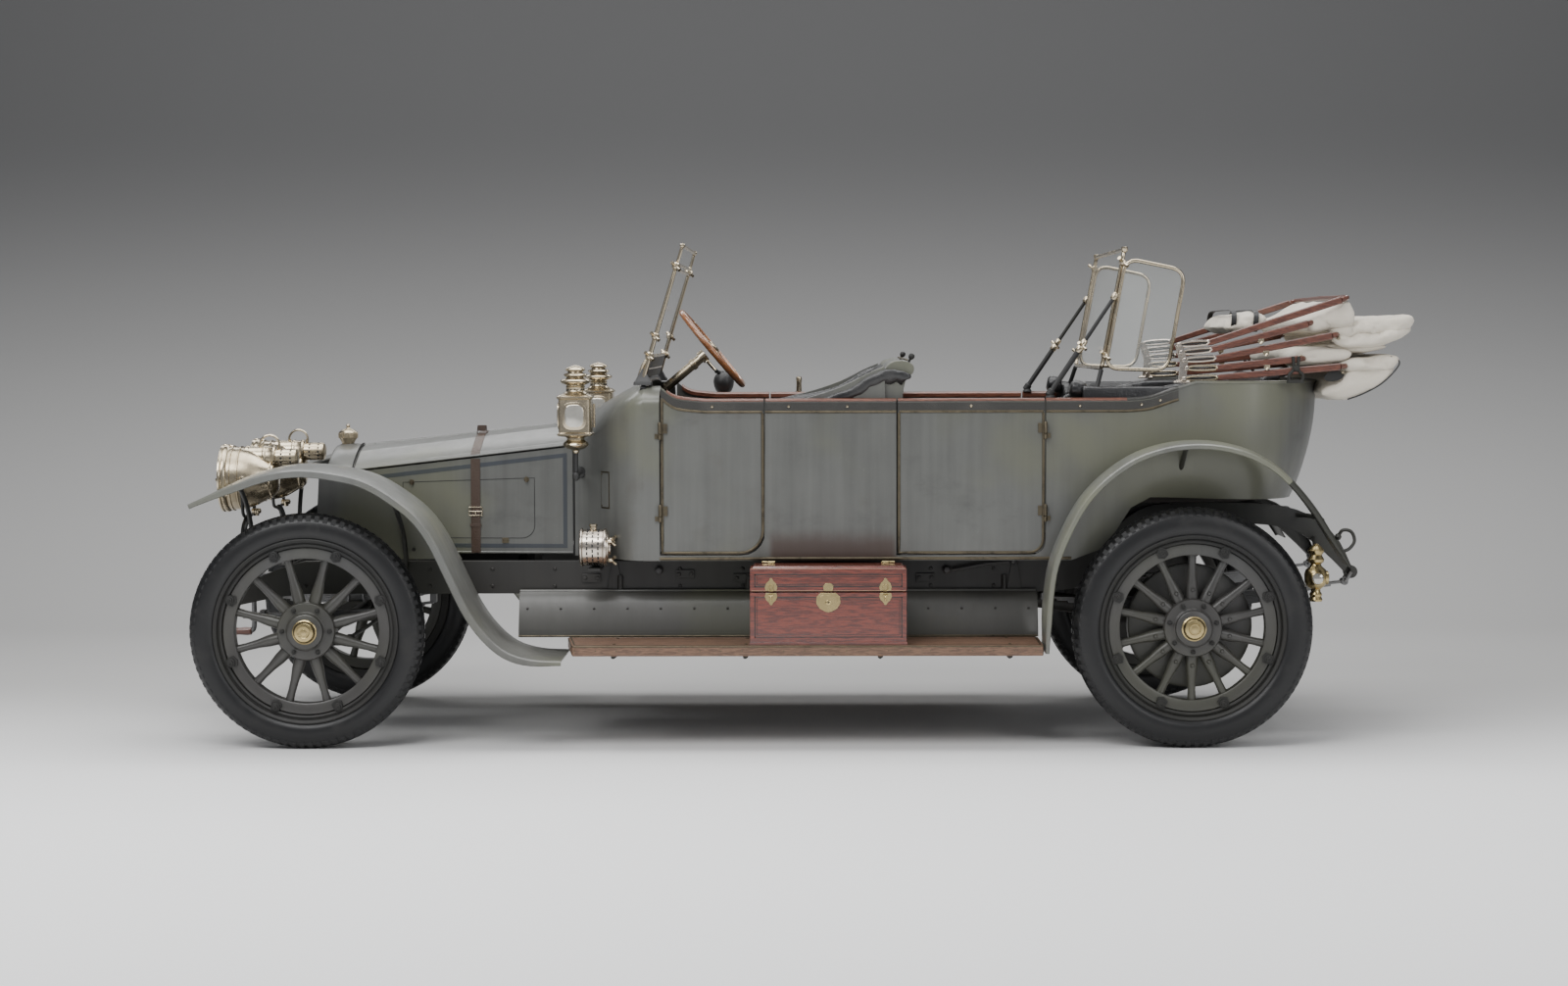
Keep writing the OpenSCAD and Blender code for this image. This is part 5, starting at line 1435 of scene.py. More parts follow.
def build_tool_box(p):
    """The polished tool box on the left board, and its bevelled lid with catches and a lock."""
    x0, x1 = BOX_X
    y0, y1 = BOX_Y
    s = Shape()
    s.block((x1, y1 - 0.012, BOARD_Z + 0.004), (x0, y1, BOX_SPLIT - 0.003))
    s.block((x1, y0, BOARD_Z), (x0, y0 + 0.012, BOX_TOP - 0.01))
    s.block((x1, y0 + 0.012, BOARD_Z + 0.004), (x1 + 0.012, y1 - 0.012, BOX_SPLIT - 0.003))
    s.block((x0 - 0.012, y0 + 0.012, BOARD_Z + 0.004), (x0, y1 - 0.012, BOX_SPLIT - 0.003))
    s.block((x1 + 0.012, y0 + 0.012, BOARD_Z + 0.004), (x0 - 0.012, y1 - 0.012, BOARD_Z + 0.016))
    s.block((x1 - 0.003, y0 + 0.01, BOARD_Z), (x0 + 0.003, y1 + 0.003, BOARD_Z + 0.012))
    lining(s, x0, x1, BOARD_Z + 0.012, BOX_SPLIT - 0.003, y1, 1)
    for x in (x0 - 0.078, x1 + 0.078):
        plate = catch_plate(x, BOX_SPLIT - 0.004, -0.046)
        s.plate(plate, y1, y1 + 0.0022, 2)
        s.tube([(x - 0.009, y1 + 0.006, BOX_SPLIT - 0.014), (x + 0.009, y1 + 0.006, BOX_SPLIT - 0.014)], 0.0042, 12, 2)
        s.tube(through([(x, y1 + 0.006, BOX_SPLIT - 0.014), (x, y1 + 0.011, BOX_SPLIT - 0.026),
                        (x, y1 + 0.007, BOX_SPLIT - 0.036)], 3), 0.0034, 8, 2)
    middle = (x0 + x1) / 2
    shield = [(middle + 0.045 * a, BOX_SPLIT - 0.04 + 0.036 * b) for a, b in
              ((-0.62, 1.0), (0.62, 1.0), (0.96, 0.62), (1.0, -0.05), (0.72, -0.62), (0.28, -0.92), (0, -1.0),
               (-0.28, -0.92), (-0.72, -0.62), (-1.0, -0.05), (-0.96, 0.62))]
    s.plate(shield, y1, y1 + 0.0026, 2)
    s.plate([(lerp(middle, a, 0.78), lerp(BOX_SPLIT - 0.04, b, 0.78)) for a, b in shield], y1 + 0.002, y1 + 0.0042, 2)
    s.lathe([(0.01, 0.004), (0.01, 0.0065), (0.006, 0.0085), (0, 0.009)], (middle, y1, BOX_SPLIT - 0.04),
            LEFT, 20, 2)
    s.lathe([(0.003, 0.0085), (0.0026, 0.0098), (0, 0.0098)], (middle, y1, BOX_SPLIT - 0.04), LEFT, 10, 3)
    hy, hz = JOINTS["tool_box_lid_lift"]["pos_m"][1:]
    for x in (x0 - 0.062, x1 + 0.04):
        s.tube([(x, hy, hz), (x + 0.02, hy, hz)], 0.006, 14, 2)
    for x in (x0 - 0.09, x1 + 0.06):
        s.tube([(x, hy, hz), (x + 0.03, hy, hz)], 0.0028, 10, 2)
    put("tool_box_wood", s, ["box", "line", "gold", "dark"], bevel=0.0018, replaces=["tool_box"])
    lid = Shape()
    y_in = y0 + 0.018
    t = 0.012
    lid.block((x1, y1 - t, BOX_SPLIT + 0.002), (x0, y1, BOX_TOP - 0.014))
    lid.block((x1, y_in, BOX_SPLIT + 0.002), (x1 + t, y1 - t, BOX_TOP - 0.014))
    lid.block((x0 - t, y_in, BOX_SPLIT + 0.002), (x0, y1 - t, BOX_TOP - 0.014))
    top = []
    for inset, z in ((0.0, BOX_TOP - 0.014), (0.0, BOX_TOP - 0.01), (0.009, BOX_TOP - 0.007), (0.013, BOX_TOP)):
        top.append([Vector(q) for q in ((x0 - inset, y_in, z), (x0 - inset, y1 - inset, z), (x1 + inset, y1 - inset, z),
                (x1 + inset, y_in, z))])
    lid.loft(top)
    lining(lid, x0, x1, BOX_SPLIT + 0.002, BOX_TOP - 0.012, y1, 1)
    for x in (x0 - 0.078, x1 + 0.078):
        lid.plate(catch_plate(x, BOX_SPLIT + 0.004, 0.048), y1, y1 + 0.0022, 2)
        loop = [(x - 0.008, y1 + 0.005, BOX_SPLIT + 0.026), (x + 0.008, y1 + 0.005, BOX_SPLIT + 0.026),
                (x + 0.0075, y1 + 0.0105, BOX_SPLIT + 0.004), (x - 0.0075, y1 + 0.0105, BOX_SPLIT + 0.004)]
        lid.tube(loop, 0.0022, 8, 2, loop=True)
    lid.plate([(middle - 0.016, BOX_SPLIT + 0.003), (middle + 0.016, BOX_SPLIT + 0.003),
               (middle + 0.019, BOX_SPLIT + 0.022), (middle + 0.01, BOX_SPLIT + 0.032),
               (middle - 0.01, BOX_SPLIT + 0.032), (middle - 0.019, BOX_SPLIT + 0.022)], y1, y1 + 0.003, 2)
    lid.tube([(x0 - 0.004, y1 - 0.004, BOX_TOP - 0.0095), (x1 + 0.004, y1 - 0.004, BOX_TOP - 0.0095)], 0.0022, 6, 3)
    lid.tube([(x0 - 0.004, y1 + 0.0002, BOX_SPLIT + 0.004), (x1 + 0.004, y1 + 0.0002, BOX_SPLIT + 0.004)], 0.0014,
             6, 3)
    for x in (x0 - 0.09, x1 + 0.062):
        lid.tube([(x, hy, hz), (x + 0.026, hy, hz)], 0.006, 14, 2)
        lid.block((x + 0.002, hy, BOX_TOP - 0.002), (x + 0.024, y_in + 0.03, BOX_TOP + 0.002), 2)
    put("tool_box_lid_wood", lid, ["box", "line", "gold", "worn_edge"], "tool_box_lid", bevel=0.0018,
            replaces=["tool_box_lid"])


# ---- lamps ----

HEAD_Y = 0.298
HEAD_Z = 0.99


def build_headlamps(p):
    """Acetylene headlamps with ribbed fronts, chimneys, carrying rings and forks."""
    s = Shape()
    body = [(0, 0.18), (0.03, 0.181), (0.056, 0.186), (0.07, 0.2), (0.076, 0.215), (0.09, 0.238), (0.104, 0.262),
            (0.114, 0.292), (0.12, 0.32), (0.122, 0.345), (0.122, 0.362), (0.127, 0.366), (0.131, 0.372),
            (0.131, 0.38), (0.128, 0.384), (0.131, 0.388), (0.1305, 0.3945), (0.124, 0.396), (0.112, 0.396),
            (0.111, 0.389), (0.108, 0.386)]
    s.lathe(body + [(0.0, 0.386)], (0, HEAD_Y, HEAD_Z), AHEAD, 72, 0)
    s.lathe([(0.1085, 0.3865), (0.08, 0.3905), (0.04, 0.3935), (0, 0.3945)], (0, HEAD_Y, HEAD_Z), AHEAD, 48, 1)
    for x, r in ((0.205, 0.0735), (0.322, 0.1215), (0.352, 0.1235)):
        s.lathe([(r, x - 0.004), (r + 0.003, x - 0.002), (r + 0.003, x + 0.002), (r, x + 0.004)],
                (0, HEAD_Y, HEAD_Z), AHEAD, 64, 0)
    z = HEAD_Z + 0.078
    s.lathe([(0, 0.104), (0.026, 0.105), (0.034, 0.11), (0.036, 0.116), (0.036, 0.188), (0.047, 0.19), (0.049, 0.197),
             (0.045, 0.203), (0.045, 0.224), (0.048, 0.228), (0.048, 0.234), (0.045, 0.238), (0.045, 0.29),
             (0.048, 0.294), (0.048, 0.304), (0.04, 0.313), (0, 0.314)], (0, HEAD_Y, z), AHEAD, 48, 0)
    for k in range(2):
        for i in range(14):
            a = TURN * i / 14
            d = Vector((0, cos(a), sin(a)))
            s.lathe([(0.0042, 0), (0.0042, 0.0006), (0, 0.0007)], Vector((0.13 + 0.036 * k, HEAD_Y, z)) + d * 0.0358,
                    d, 8, 2)
    s.tube([Vector((0.215 + 0.038 * cos(a), HEAD_Y, HEAD_Z + 0.128 + 0.038 * sin(a)))
            for a in (TURN * i / 28 for i in range(28))], 0.0045, 10, 0, loop=True)
    for dx in (-0.036, 0.036):
        s.lathe([(0.007, 0), (0.007, 0.01), (0, 0.012)], (0.215 + dx, HEAD_Y, HEAD_Z + 0.118), UP, 12, 0)
    for g in (-1, 1):
        y = HEAD_Y + g * 0.1175
        s.tube(through([(0.3, y, HEAD_Z + 0.008), (0.3, y, HEAD_Z - 0.05),
                        (0.3, HEAD_Y + g * 0.113, HEAD_Z - 0.1), (0.3, HEAD_Y + g * 0.1, HEAD_Z - 0.134),
                        (0.3, HEAD_Y + g * 0.06, HEAD_Z - 0.146), (0.3, HEAD_Y, HEAD_Z - 0.148)], 6), 0.0065, 10, 3)
        s.lathe([(0.013, -0.012), (0.013, 0.0), (0.009, 0.003), (0.009, 0.005), (0.0, 0.006)],
                (0.3, y, HEAD_Z), (0, g, 0), 20, 0)
        s.bolt((0.396, HEAD_Y + g * 0.1285, HEAD_Z), AHEAD, 0.006, 0.004, 0, 12)
    s.tube(through([(0.3, 0.3975, 0.597), (0.3, 0.3975, 0.74), (0.3, 0.385, 0.8), (0.3, 0.33, 0.835),
                    (0.3, HEAD_Y, HEAD_Z - 0.15)], 7), lambda t: 0.013 - 0.002 * t, 14, 3)
    s.lathe([(0.022, 0), (0.02, 0.012), (0.013, 0.02)], (0.3, 0.3975, 0.594), UP, 20, 3)
    s.lathe([(0.016, 0), (0.02, 0.008), (0.018, 0.018), (0.012, 0.02), (0.01, 0.028), (0, 0.029)],
            (0.27, HEAD_Y, HEAD_Z - 0.118), (0, 0, -1), 18, 0)
    for i in range(3):
        a = radians(90 + 120 * i)
        d = Vector((0, cos(a), sin(a)))
        s.tube([Vector((0.356, HEAD_Y, HEAD_Z)) + d * 0.124, Vector((0.39, HEAD_Y, HEAD_Z)) + d * 0.129], 0.004, 8, 0)
    put("headlamps_brass", s.mirrored(), ["brass", "lens", "dark", "chassis"], replaces=["lamps"])


def rounded_square(half, r, z, n=5):
    ring = []
    for cx, cy, a0 in ((half - r, half - r, 0), (r - half, half - r, 90), (r - half, r - half, 180),
            (half - r, r - half, 270)):
        ring += [Vector((cx + r * cos(radians(a0 + 90 * i / n)),
                         cy + r * sin(radians(a0 + 90 * i / n)), z)) for i in range(n + 1)]
    return ring


def build_side_lamps(p):
    """Oil side lamps: ringed feet, square bodies with oval windows and stacked chimneys."""
    s = Shape()
    foot = [(0, 1.092), (0.008, 1.093), (0.012, 1.097), (0.014, 1.104), (0.02, 1.108), (0.03, 1.11), (0.036, 1.114),
            (0.046, 1.121), (0.049, 1.127), (0.046, 1.135), (0.038, 1.141), (0.033, 1.146), (0.033, 1.151),
            (0.041, 1.156), (0.044, 1.161), (0, 1.162)]
    s.lathe(foot, (0, 0, 0), UP, 40, 0)
    s.loft([rounded_square(h, r, z) for h, r, z in ((0.05, 0.016, 1.158), (0.06, 0.016, 1.16), (0.066, 0.017, 1.163),
            (0.066, 0.017, 1.17), (0.061, 0.016, 1.174), (0.061, 0.016, 1.298), (0.067, 0.018, 1.302),
            (0.067, 0.018, 1.309), (0.06, 0.02, 1.314), (0.046, 0.022, 1.32))], 0)
    cap = [(0.0, 1.315), (0.046, 1.317), (0.047, 1.321), (0.038, 1.326), (0.035, 1.331), (0.035, 1.34), (0.037, 1.344),
           (0.034, 1.348), (0.036, 1.352), (0.052, 1.358), (0.0565, 1.363), (0.0565, 1.368), (0.052, 1.373),
           (0.035, 1.377), (0.033, 1.381), (0.043, 1.386), (0.045, 1.39), (0.042, 1.394), (0.029, 1.398),
           (0.028, 1.402), (0.037, 1.407), (0.038, 1.411), (0.034, 1.416), (0.018, 1.423), (0.008, 1.426), (0, 1.427)]
    s.lathe(cap, (0, 0, 0), UP, 40, 0)
    for i in range(16):
        a = TURN * i / 16
        d = Vector((cos(a), sin(a), 0))
        s.lathe([(0.0028, 0), (0.0028, 0.0006), (0, 0.0007)], Vector((0, 0, 1.3355)) + d * 0.0348, d, 8, 2)
    for turn in (Matrix.Identity(4), Matrix.Rotation(-pi / 2, 4, "Z"), Matrix.Rotation(pi, 4, "Z")):
        w = Shape()
        for half_w, half_h, y0, y1, f in ((0.045, 0.052, 0.058, 0.0655, 0), (0.036, 0.043, 0.0655, 0.067, 0),
                (0.0345, 0.0415, 0.063, 0.0682, 1)):
            ring = []
            for i in range(36):
                a = TURN * i / 36
                c, d = cos(a), sin(a)
                ring.append((half_w * copysign(abs(c) ** 0.62, c), half_h * copysign(abs(d) ** 0.62, d)))
            w.loft([[Vector((q[0] * k, y, 1.236 + q[1] * k)) for q in ring]
                    for y, k in ((y0, 1.0), (y1 - 0.001, 1.0), (y1, 0.95))], f)
        s.join(w.moved(turn))
    for q in (-1, 1):
        s.tube([(q * 0.0665, -0.045, 1.19), (q * 0.0665, -0.045, 1.28)], 0.004, 8, 0)
    s.tube(through([(0, 0.0, 1.094), (0, 0, 1.05), (0, -0.004, 1.024), (0, -0.035, 1.012), (0, -0.1, 1.012),
                    (0, -0.19, 1.012)], 5), 0.0085, 12, 3)
    s.lathe([(0, -0.024), (0.008, -0.021), (0.014, -0.01), (0.014, 0.0), (0.01, 0.008), (0.0085, 0.01)],
            (0, 0, 1.012), UP, 20, 3)
    s.lathe([(0.022, 0), (0.02, 0.006), (0.0085, 0.01)], (0, -0.192, 1.012), LEFT, 20, 3)
    place = Matrix.Translation((-0.995, 0.55, 0))
    put("side_lamps_brass", s.moved(place).mirrored(), ["brass", "lens", "dark", "chassis"],
        replaces=["lamps"])


def build_generator(p):
    """The gas generator drum, with slots round it and wing nuts at its rear."""
    s = Shape()
    at = Vector((-1.01, 0.568, 0.739))
    drum = [(0, 0.0), (0.066, 0.0), (0.071, 0.003), (0.073, 0.006), (0.073, 0.01), (0.068, 0.014), (0.068, 0.088),
            (0.073, 0.092), (0.073, 0.097), (0.07, 0.102), (0.06, 0.104), (0.058, 0.108), (0.03, 0.11),
            (0.028, 0.116), (0, 0.117)]
    s.lathe(drum, at, BACK, 64, 0)
    for k in range(3):
        for i in range(22):
            a = TURN * (i + 0.5 * (k % 2)) / 22
            d = Vector((0, cos(a), sin(a)))
            side = Vector((0, -sin(a), cos(a)))
            c = at + Vector((-0.03 - 0.021 * k, 0, 0)) + d * 0.0678
            ring = [c + Vector((dx, 0, 0)) + side * dy for dx, dy in
                    ((-0.0028, -0.0062), (0.0028, -0.0062), (0.0028, 0.0062), (-0.0028, 0.0062))]
            s.loft([ring, [q + d * 0.0009 for q in ring]], 1)
    for i in range(3):
        a = radians(30 + 120 * i)
        q = at + Vector((-0.106, 0.05 * cos(a), 0.05 * sin(a)))
        s.tube([q + Vector((0.1, 0, 0)), q + Vector((-0.018, 0, 0))], 0.0035, 8, 2)
        s.wing_nut(q + Vector((-0.004, 0, 0)), BACK, 1.15, 2)
    s.lathe([(0.012, 0), (0.012, 0.012), (0.016, 0.014), (0.016, 0.022), (0, 0.024)], at + Vector((-0.05, 0, 0.066)),
            UP, 18, 2)
    s.block((-1.088, 0.424, 0.652), (-1.042, 0.6, 0.66), 3)
    s.tube([(-1.05, 0.5, 0.667), (-1.08, 0.5, 0.667)], 0.01, 10, 3)
    put("generator_drum", s, ["nickel", "dark", "brass", "chassis"], replaces=["lamps"])


def build_tail_lamp(p):
    """The brass tail lamp behind the left rear wheel."""
    s = Shape()
    rows = [(0, 0.528), (0.024, 0.529), (0.026, 0.536), (0.021, 0.546), (0.024, 0.556), (0.018, 0.566), (0.018, 0.575),
            (0.034, 0.588), (0.042, 0.602), (0.0425, 0.616), (0.0425, 0.634), (0.038, 0.648), (0.022, 0.662),
            (0.019, 0.67), (0.029, 0.678), (0.031, 0.688), (0.026, 0.696), (0.022, 0.704), (0.029, 0.714),
            (0.03, 0.722), (0.02, 0.736), (0.008, 0.745), (0, 0.748)]
    s.lathe(rows, (-3.786, 0.56, 0), UP, 40, 0)
    for d in (LEFT, BACK):
        d = Vector(d)
        s.lathe([(0.026, 0.03), (0.026, 0.0445), (0.022, 0.047), (0.02, 0.045)], Vector((-3.786, 0.56, 0.618)),
                d, 28, 0)
        s.lathe([(0.021, 0.03), (0.021, 0.0455), (0.012, 0.049), (0, 0.05)], Vector((-3.786, 0.56, 0.618)), d, 24,
                1)
    s.tube(through([(-3.786, 0.56, 0.69), (-3.79, 0.52, 0.712), (-3.795, 0.47, 0.742), (-3.8, 0.427, 0.76)], 5),
           0.007, 10, 2)
    put("tail_lamp_brass", s, ["gold", "lens", "chassis"], replaces=["lamps"])


# ---- screens and controls ----

SCREEN_Y = 0.52
WING_Y = 0.534
SCREEN_FOOT = Vector((-1.248, 0, 1.372))
SCREEN_TOP = Vector((-1.402, 0, 1.884))
REAR_FOOT = Vector((-2.979, 0, 1.402))
REAR_TOP = Vector((-3.066, 0, 1.862))


def on_screen(t, y=0.0):
    return lerp(SCREEN_FOOT, SCREEN_TOP, t) + Vector((0, y, 0))


def on_rear(t, y=0.0):
    return lerp(REAR_FOOT, REAR_TOP, t) + Vector((0, y, 0))


def rounded_loop(corners, r, n=9):
    """The corners of a closed loop, each rounded."""
    out, m = [], len(corners)
    for k, c in enumerate(corners):
        a, b = (corners[k - 1] - c).normalized(), (corners[(k + 1) % m] - c).normalized()
        p0, p1 = c + a * r, c + b * r
        for i in range(n + 1):
            t = i / n
            out.append((1 - t) ** 2 * p0 + 2 * t * (1 - t) * c + t * t * p1)
    return out


def pane(s, corners, thickness, finish):
    normal = (corners[1] - corners[0]).cross(corners[2] - corners[0]).normalized() * thickness / 2
    s.loft([[c - normal for c in corners], [c + normal for c in corners]], finish)


def build_front_screen(p):
    """The two-part front screen with brass edges, posts, joints and wing nuts."""
    s, glass = Shape(), Shape()
    y = SCREEN_Y - 0.012
    for lo, hi in ((0.17, 0.815), (0.85, 0.985)):
        loop = rounded_loop([on_screen(lo, -y), on_screen(lo, y), on_screen(hi, y), on_screen(hi, -y)], 0.02)
        s.tube(loop, 0.0062, 10, 0, loop=True)
        pane(glass, [on_screen(lo + 0.008, -y + 0.004), on_screen(lo + 0.008, y - 0.004),
                     on_screen(hi - 0.008, y - 0.004), on_screen(hi - 0.008, -y + 0.004)], 0.005, 0)
    for g in (-1, 1):
        post = [on_screen(t, g * SCREEN_Y) for t in (0.0, 0.08, 0.16, 0.5, 0.83)]
        s.tube(post, lambda t: 0.0105 - 0.003 * t, 12, 0)
        for t, r in ((0.17, 0.017), (0.315, 0.015), (0.83, 0.016)):
            at = on_screen(t, g * (SCREEN_Y - 0.012))
            s.lathe([(r * 0.6, -0.004), (r, 0), (r, 0.018), (r * 0.7, 0.024), (0, 0.025)], at, (0, g, 0), 20, 0)
            s.wing_nut(at + Vector((0, g * 0.024, 0)), (0, g, 0), 1.2, 0)
        foot = on_screen(0.0, g * SCREEN_Y)
        s.loft([[foot + Vector((dx * k, dy * k, h)) for dx, dy in
                 ((-0.03, -0.016), (0.03, -0.016), (0.036, 0), (0.03, 0.016), (-0.03, 0.016), (-0.036, 0))]
                for h, k in ((-0.022, 1.0), (-0.012, 1.0), (-0.004, 0.8), (0.026, 0.36), (0.04, 0.32))], 1)
        for dx in (-0.024, 0.024):
            s.bolt(foot + Vector((dx, 0, -0.012)), UP, 0.0055, 0.005, 0, 8)
        s.tube(through([on_screen(0.16, g * SCREEN_Y) + Vector((0.004, 0, 0)),
                        on_screen(0.1, g * SCREEN_Y) + Vector((0.016, 0, 0)),
                        on_screen(0.02, g * SCREEN_Y) + Vector((0.018, 0, 0))], 4), 0.006, 8, 0)
    s.tube([on_screen(0.075, -SCREEN_Y), on_screen(0.075, SCREEN_Y)], 0.0055, 8, 0)
    s.loft([[on_screen(t, yy) + Vector((dx, 0, 0)) for yy, dx in ((-y, -0.004), (y, -0.004), (y, 0.004), (-y, 0.004))]
            for t in (0.01, 0.165)], 1)
    for g in (-1, 1):
        s.lathe([(0.007, -0.006), (0.01, 0), (0.007, 0.008), (0, 0.01)], on_screen(0.985, g * y), (0, g, 0), 14, 0)
    put("front_screen_frame", s, ["brass", "iron"], replaces=["screen_frames"])
    put("front_screen_glass", glass, ["glass"], replaces=["screen_glass"])


def build_rear_screen(p):
    """The tonneau screen with its side wings of brass tube and its two jointed stays."""
    s, glass = Shape(), Shape()
    y = SCREEN_Y
    loop = rounded_loop([on_rear(0.015, -y), on_rear(0.015, y), on_rear(0.985, y), on_rear(0.985, -y)], 0.028)
    s.tube(loop, 0.0078, 12, 0, loop=True)
    pane(glass, [on_rear(0.03, -y + 0.003), on_rear(0.03, y - 0.003), on_rear(0.97, y - 0.003),
                 on_rear(0.97, -y + 0.003)], 0.005, 0)
    for g in (-1, 1):
        corners = [Vector((q[0], g * WING_Y, q[1])) for q in ((-2.992, 1.408), (-3.227, 1.4), (-3.292, 1.775),
                (-3.068, 1.822))]
        loop = rounded_loop(corners, 0.055)
        s.tube(loop, 0.0075, 12, 0, loop=True)
        middle = sum(corners, Vector()) / 4
        inner = [q + (middle - q).normalized() * 0.006 for q in loop[::2]]
        pane(glass, inner, 0.0045, 0)
        for t in (0.12, 0.88):
            at = on_rear(t, g * (y + 0.001))
            s.lathe([(0.01, -0.012), (0.012, -0.01), (0.012, 0.02), (0.008, 0.024), (0, 0.025)], at, (0, g, 0), 16, 0)
            s.wing_nut(at + Vector((0, g * 0.024, 0)), (0, g, 0), 1.3, 0)
        s.lathe([(0.008, -0.012), (0.012, -0.006), (0.012, 0.008), (0, 0.01)], on_rear(0.99, g * y), UP, 14, 0)
        lo, hi = Vector((-2.783, g * 0.575, 1.318)), Vector((-3.033, g * 0.549, 1.69))
        s.tube([lo, lerp(lo, hi, 0.5)], 0.0105, 12, 2)
        s.tube([lerp(lo, hi, 0.46), lerp(lo, hi, 0.98)], 0.0075, 12, 2)
        for t, r in ((0.0, 0.0145), (0.44, 0.0135), (0.5, 0.0115), (0.97, 0.0125)):
            d = (hi - lo).normalized()
            s.lathe([(r * 0.8, -0.014), (r, -0.01), (r, 0.01), (r * 0.8, 0.014)], lerp(lo, hi, t), d, 16,
                    0 if t else 2)
        s.wing_nut(lerp(lo, hi, 0.47) + Vector((0, g * 0.012, 0)), (0, g, 0), 1.1, 0)
        s.lathe([(0.019, 0), (0.017, 0.006), (0.012, 0.012), (0.01, 0.022), (0, 0.024)],
                (-2.783, g * 0.575, RAIL_Z + 0.01), UP, 20, 2)
        low = Vector((-2.979, g * y, 1.402))
        s.tube([low, Vector((-2.962, g * 0.545, 1.345)), Vector((-2.95, g * 0.575, 1.306))], 0.009, 10, 2)
    put("rear_screen_frame", s, ["brass", "cap_rail", "dark"], replaces=["screen_frames"])
    put("rear_screen_glass", glass, ["glass"], replaces=["screen_glass"])


WHEEL_AT = JOINTS["steering_wheel_turn"]["pos_m"]


def build_steering(p):
    """The wooden-rimmed steering wheel and the brass column with its quadrant and levers."""
    a = radians(40)
    centre = Vector((WHEEL_AT[0] - FRONT_X, WHEEL_AT[1], WHEEL_AT[2]))
    down = Vector((cos(a), 0, -sin(a)))
    side = Vector(LEFT)
    up = side.cross(down) * -1
    s = Shape()
    rim_r = 0.19

    def at(r, angle, h):
        return centre + (side * cos(angle) + up * sin(angle)) * r - down * h

    n = 72
    rings = []
    for i in range(n):
        t = TURN * i / n
        out = side * cos(t) + up * sin(t)
        ring = []
        for k in range(14):
            b = TURN * k / 14
            grip = 1.0 - 0.05 * (sin(24 * t) > 0.2) * (sin(b) < -0.2)
            ring.append(centre + out * (rim_r + 0.0128 * grip * cos(b)) - down * 0.0128 * grip * sin(b))
        rings.append(ring)
    s.loft(rings, 0, loop=True)
    for i in range(4):
        t = pi / 4 + pi / 2 * i
        path = [at(r, t, h) for r, h in ((0.02, 0.006), (0.06, 0.004), (0.12, 0.001), (0.181, 0.0))]
        s.tube(path, lambda k: 0.0095 - 0.0025 * sin(pi * k), 12, 1, flatten=0.5, up=-down)
        s.bolt(at(0.183, t, 0.01), -down, 0.005, 0.003, 1, 8)
    s.lathe([(0.03, -0.018), (0.03, 0.012), (0.026, 0.016), (0.017, 0.018), (0, 0.0185)], centre, -down, 32, 1)
    put("steering_wheel_rim", s, ["rim", "brass"], "steering_wheel", replaces=["steering_wheel"])
    c = Shape()
    end = centre + down * ((-0.555 - centre.x) / down.x)
    c.tube([centre + down * 0.036, centre + down * 0.062], 0.026, 24, 0)
    c.tube([centre + down * 0.06, end], 0.0185, 20, 0)
    for h, r in ((0.1, 0.023), (0.3, 0.022)):
        c.lathe([(0.018, -0.01), (r, -0.008), (r, 0.008), (0.018, 0.01)], centre + down * h, down, 24, 0)
    arc = [centre + down * 0.048 + (side * cos(t) + up * sin(t)) * 0.075
           for t in (radians(200 + 140 * i / 16) for i in range(17))]
    c.tube(arc, 0.0045, 8, 0)
    for t, r in ((radians(240), 0.105), (radians(300), 0.095)):
        d = side * cos(t) + up * sin(t)
        c.tube([centre + down * 0.048, centre + down * 0.044 + d * r], 0.0036, 8, 0)
        c.lathe([(0, -0.009), (0.008, -0.004), (0.009, 0.003), (0, 0.01)], centre + down * 0.044 + d * r, d, 14, 1)
    foot = centre + down * ((-1.02 - centre.x) / down.x)
    c.lathe([(0.04, 0), (0.038, 0.008), (0.022, 0.014), (0.0185, 0.03)], foot, -down, 24, 0)
    c.block((-0.62, -0.372, 0.602), (-0.5, -0.232, 0.686), 2)
    for x in (-0.6, -0.52):
        for y in (-0.35, -0.25):
            c.bolt((x, y, 0.6), (0, 0, -1), 0.009, 0.007, 2)
    put("steering_column_tube", c, ["brass", "dark", "iron"], replaces=["steering_column"])


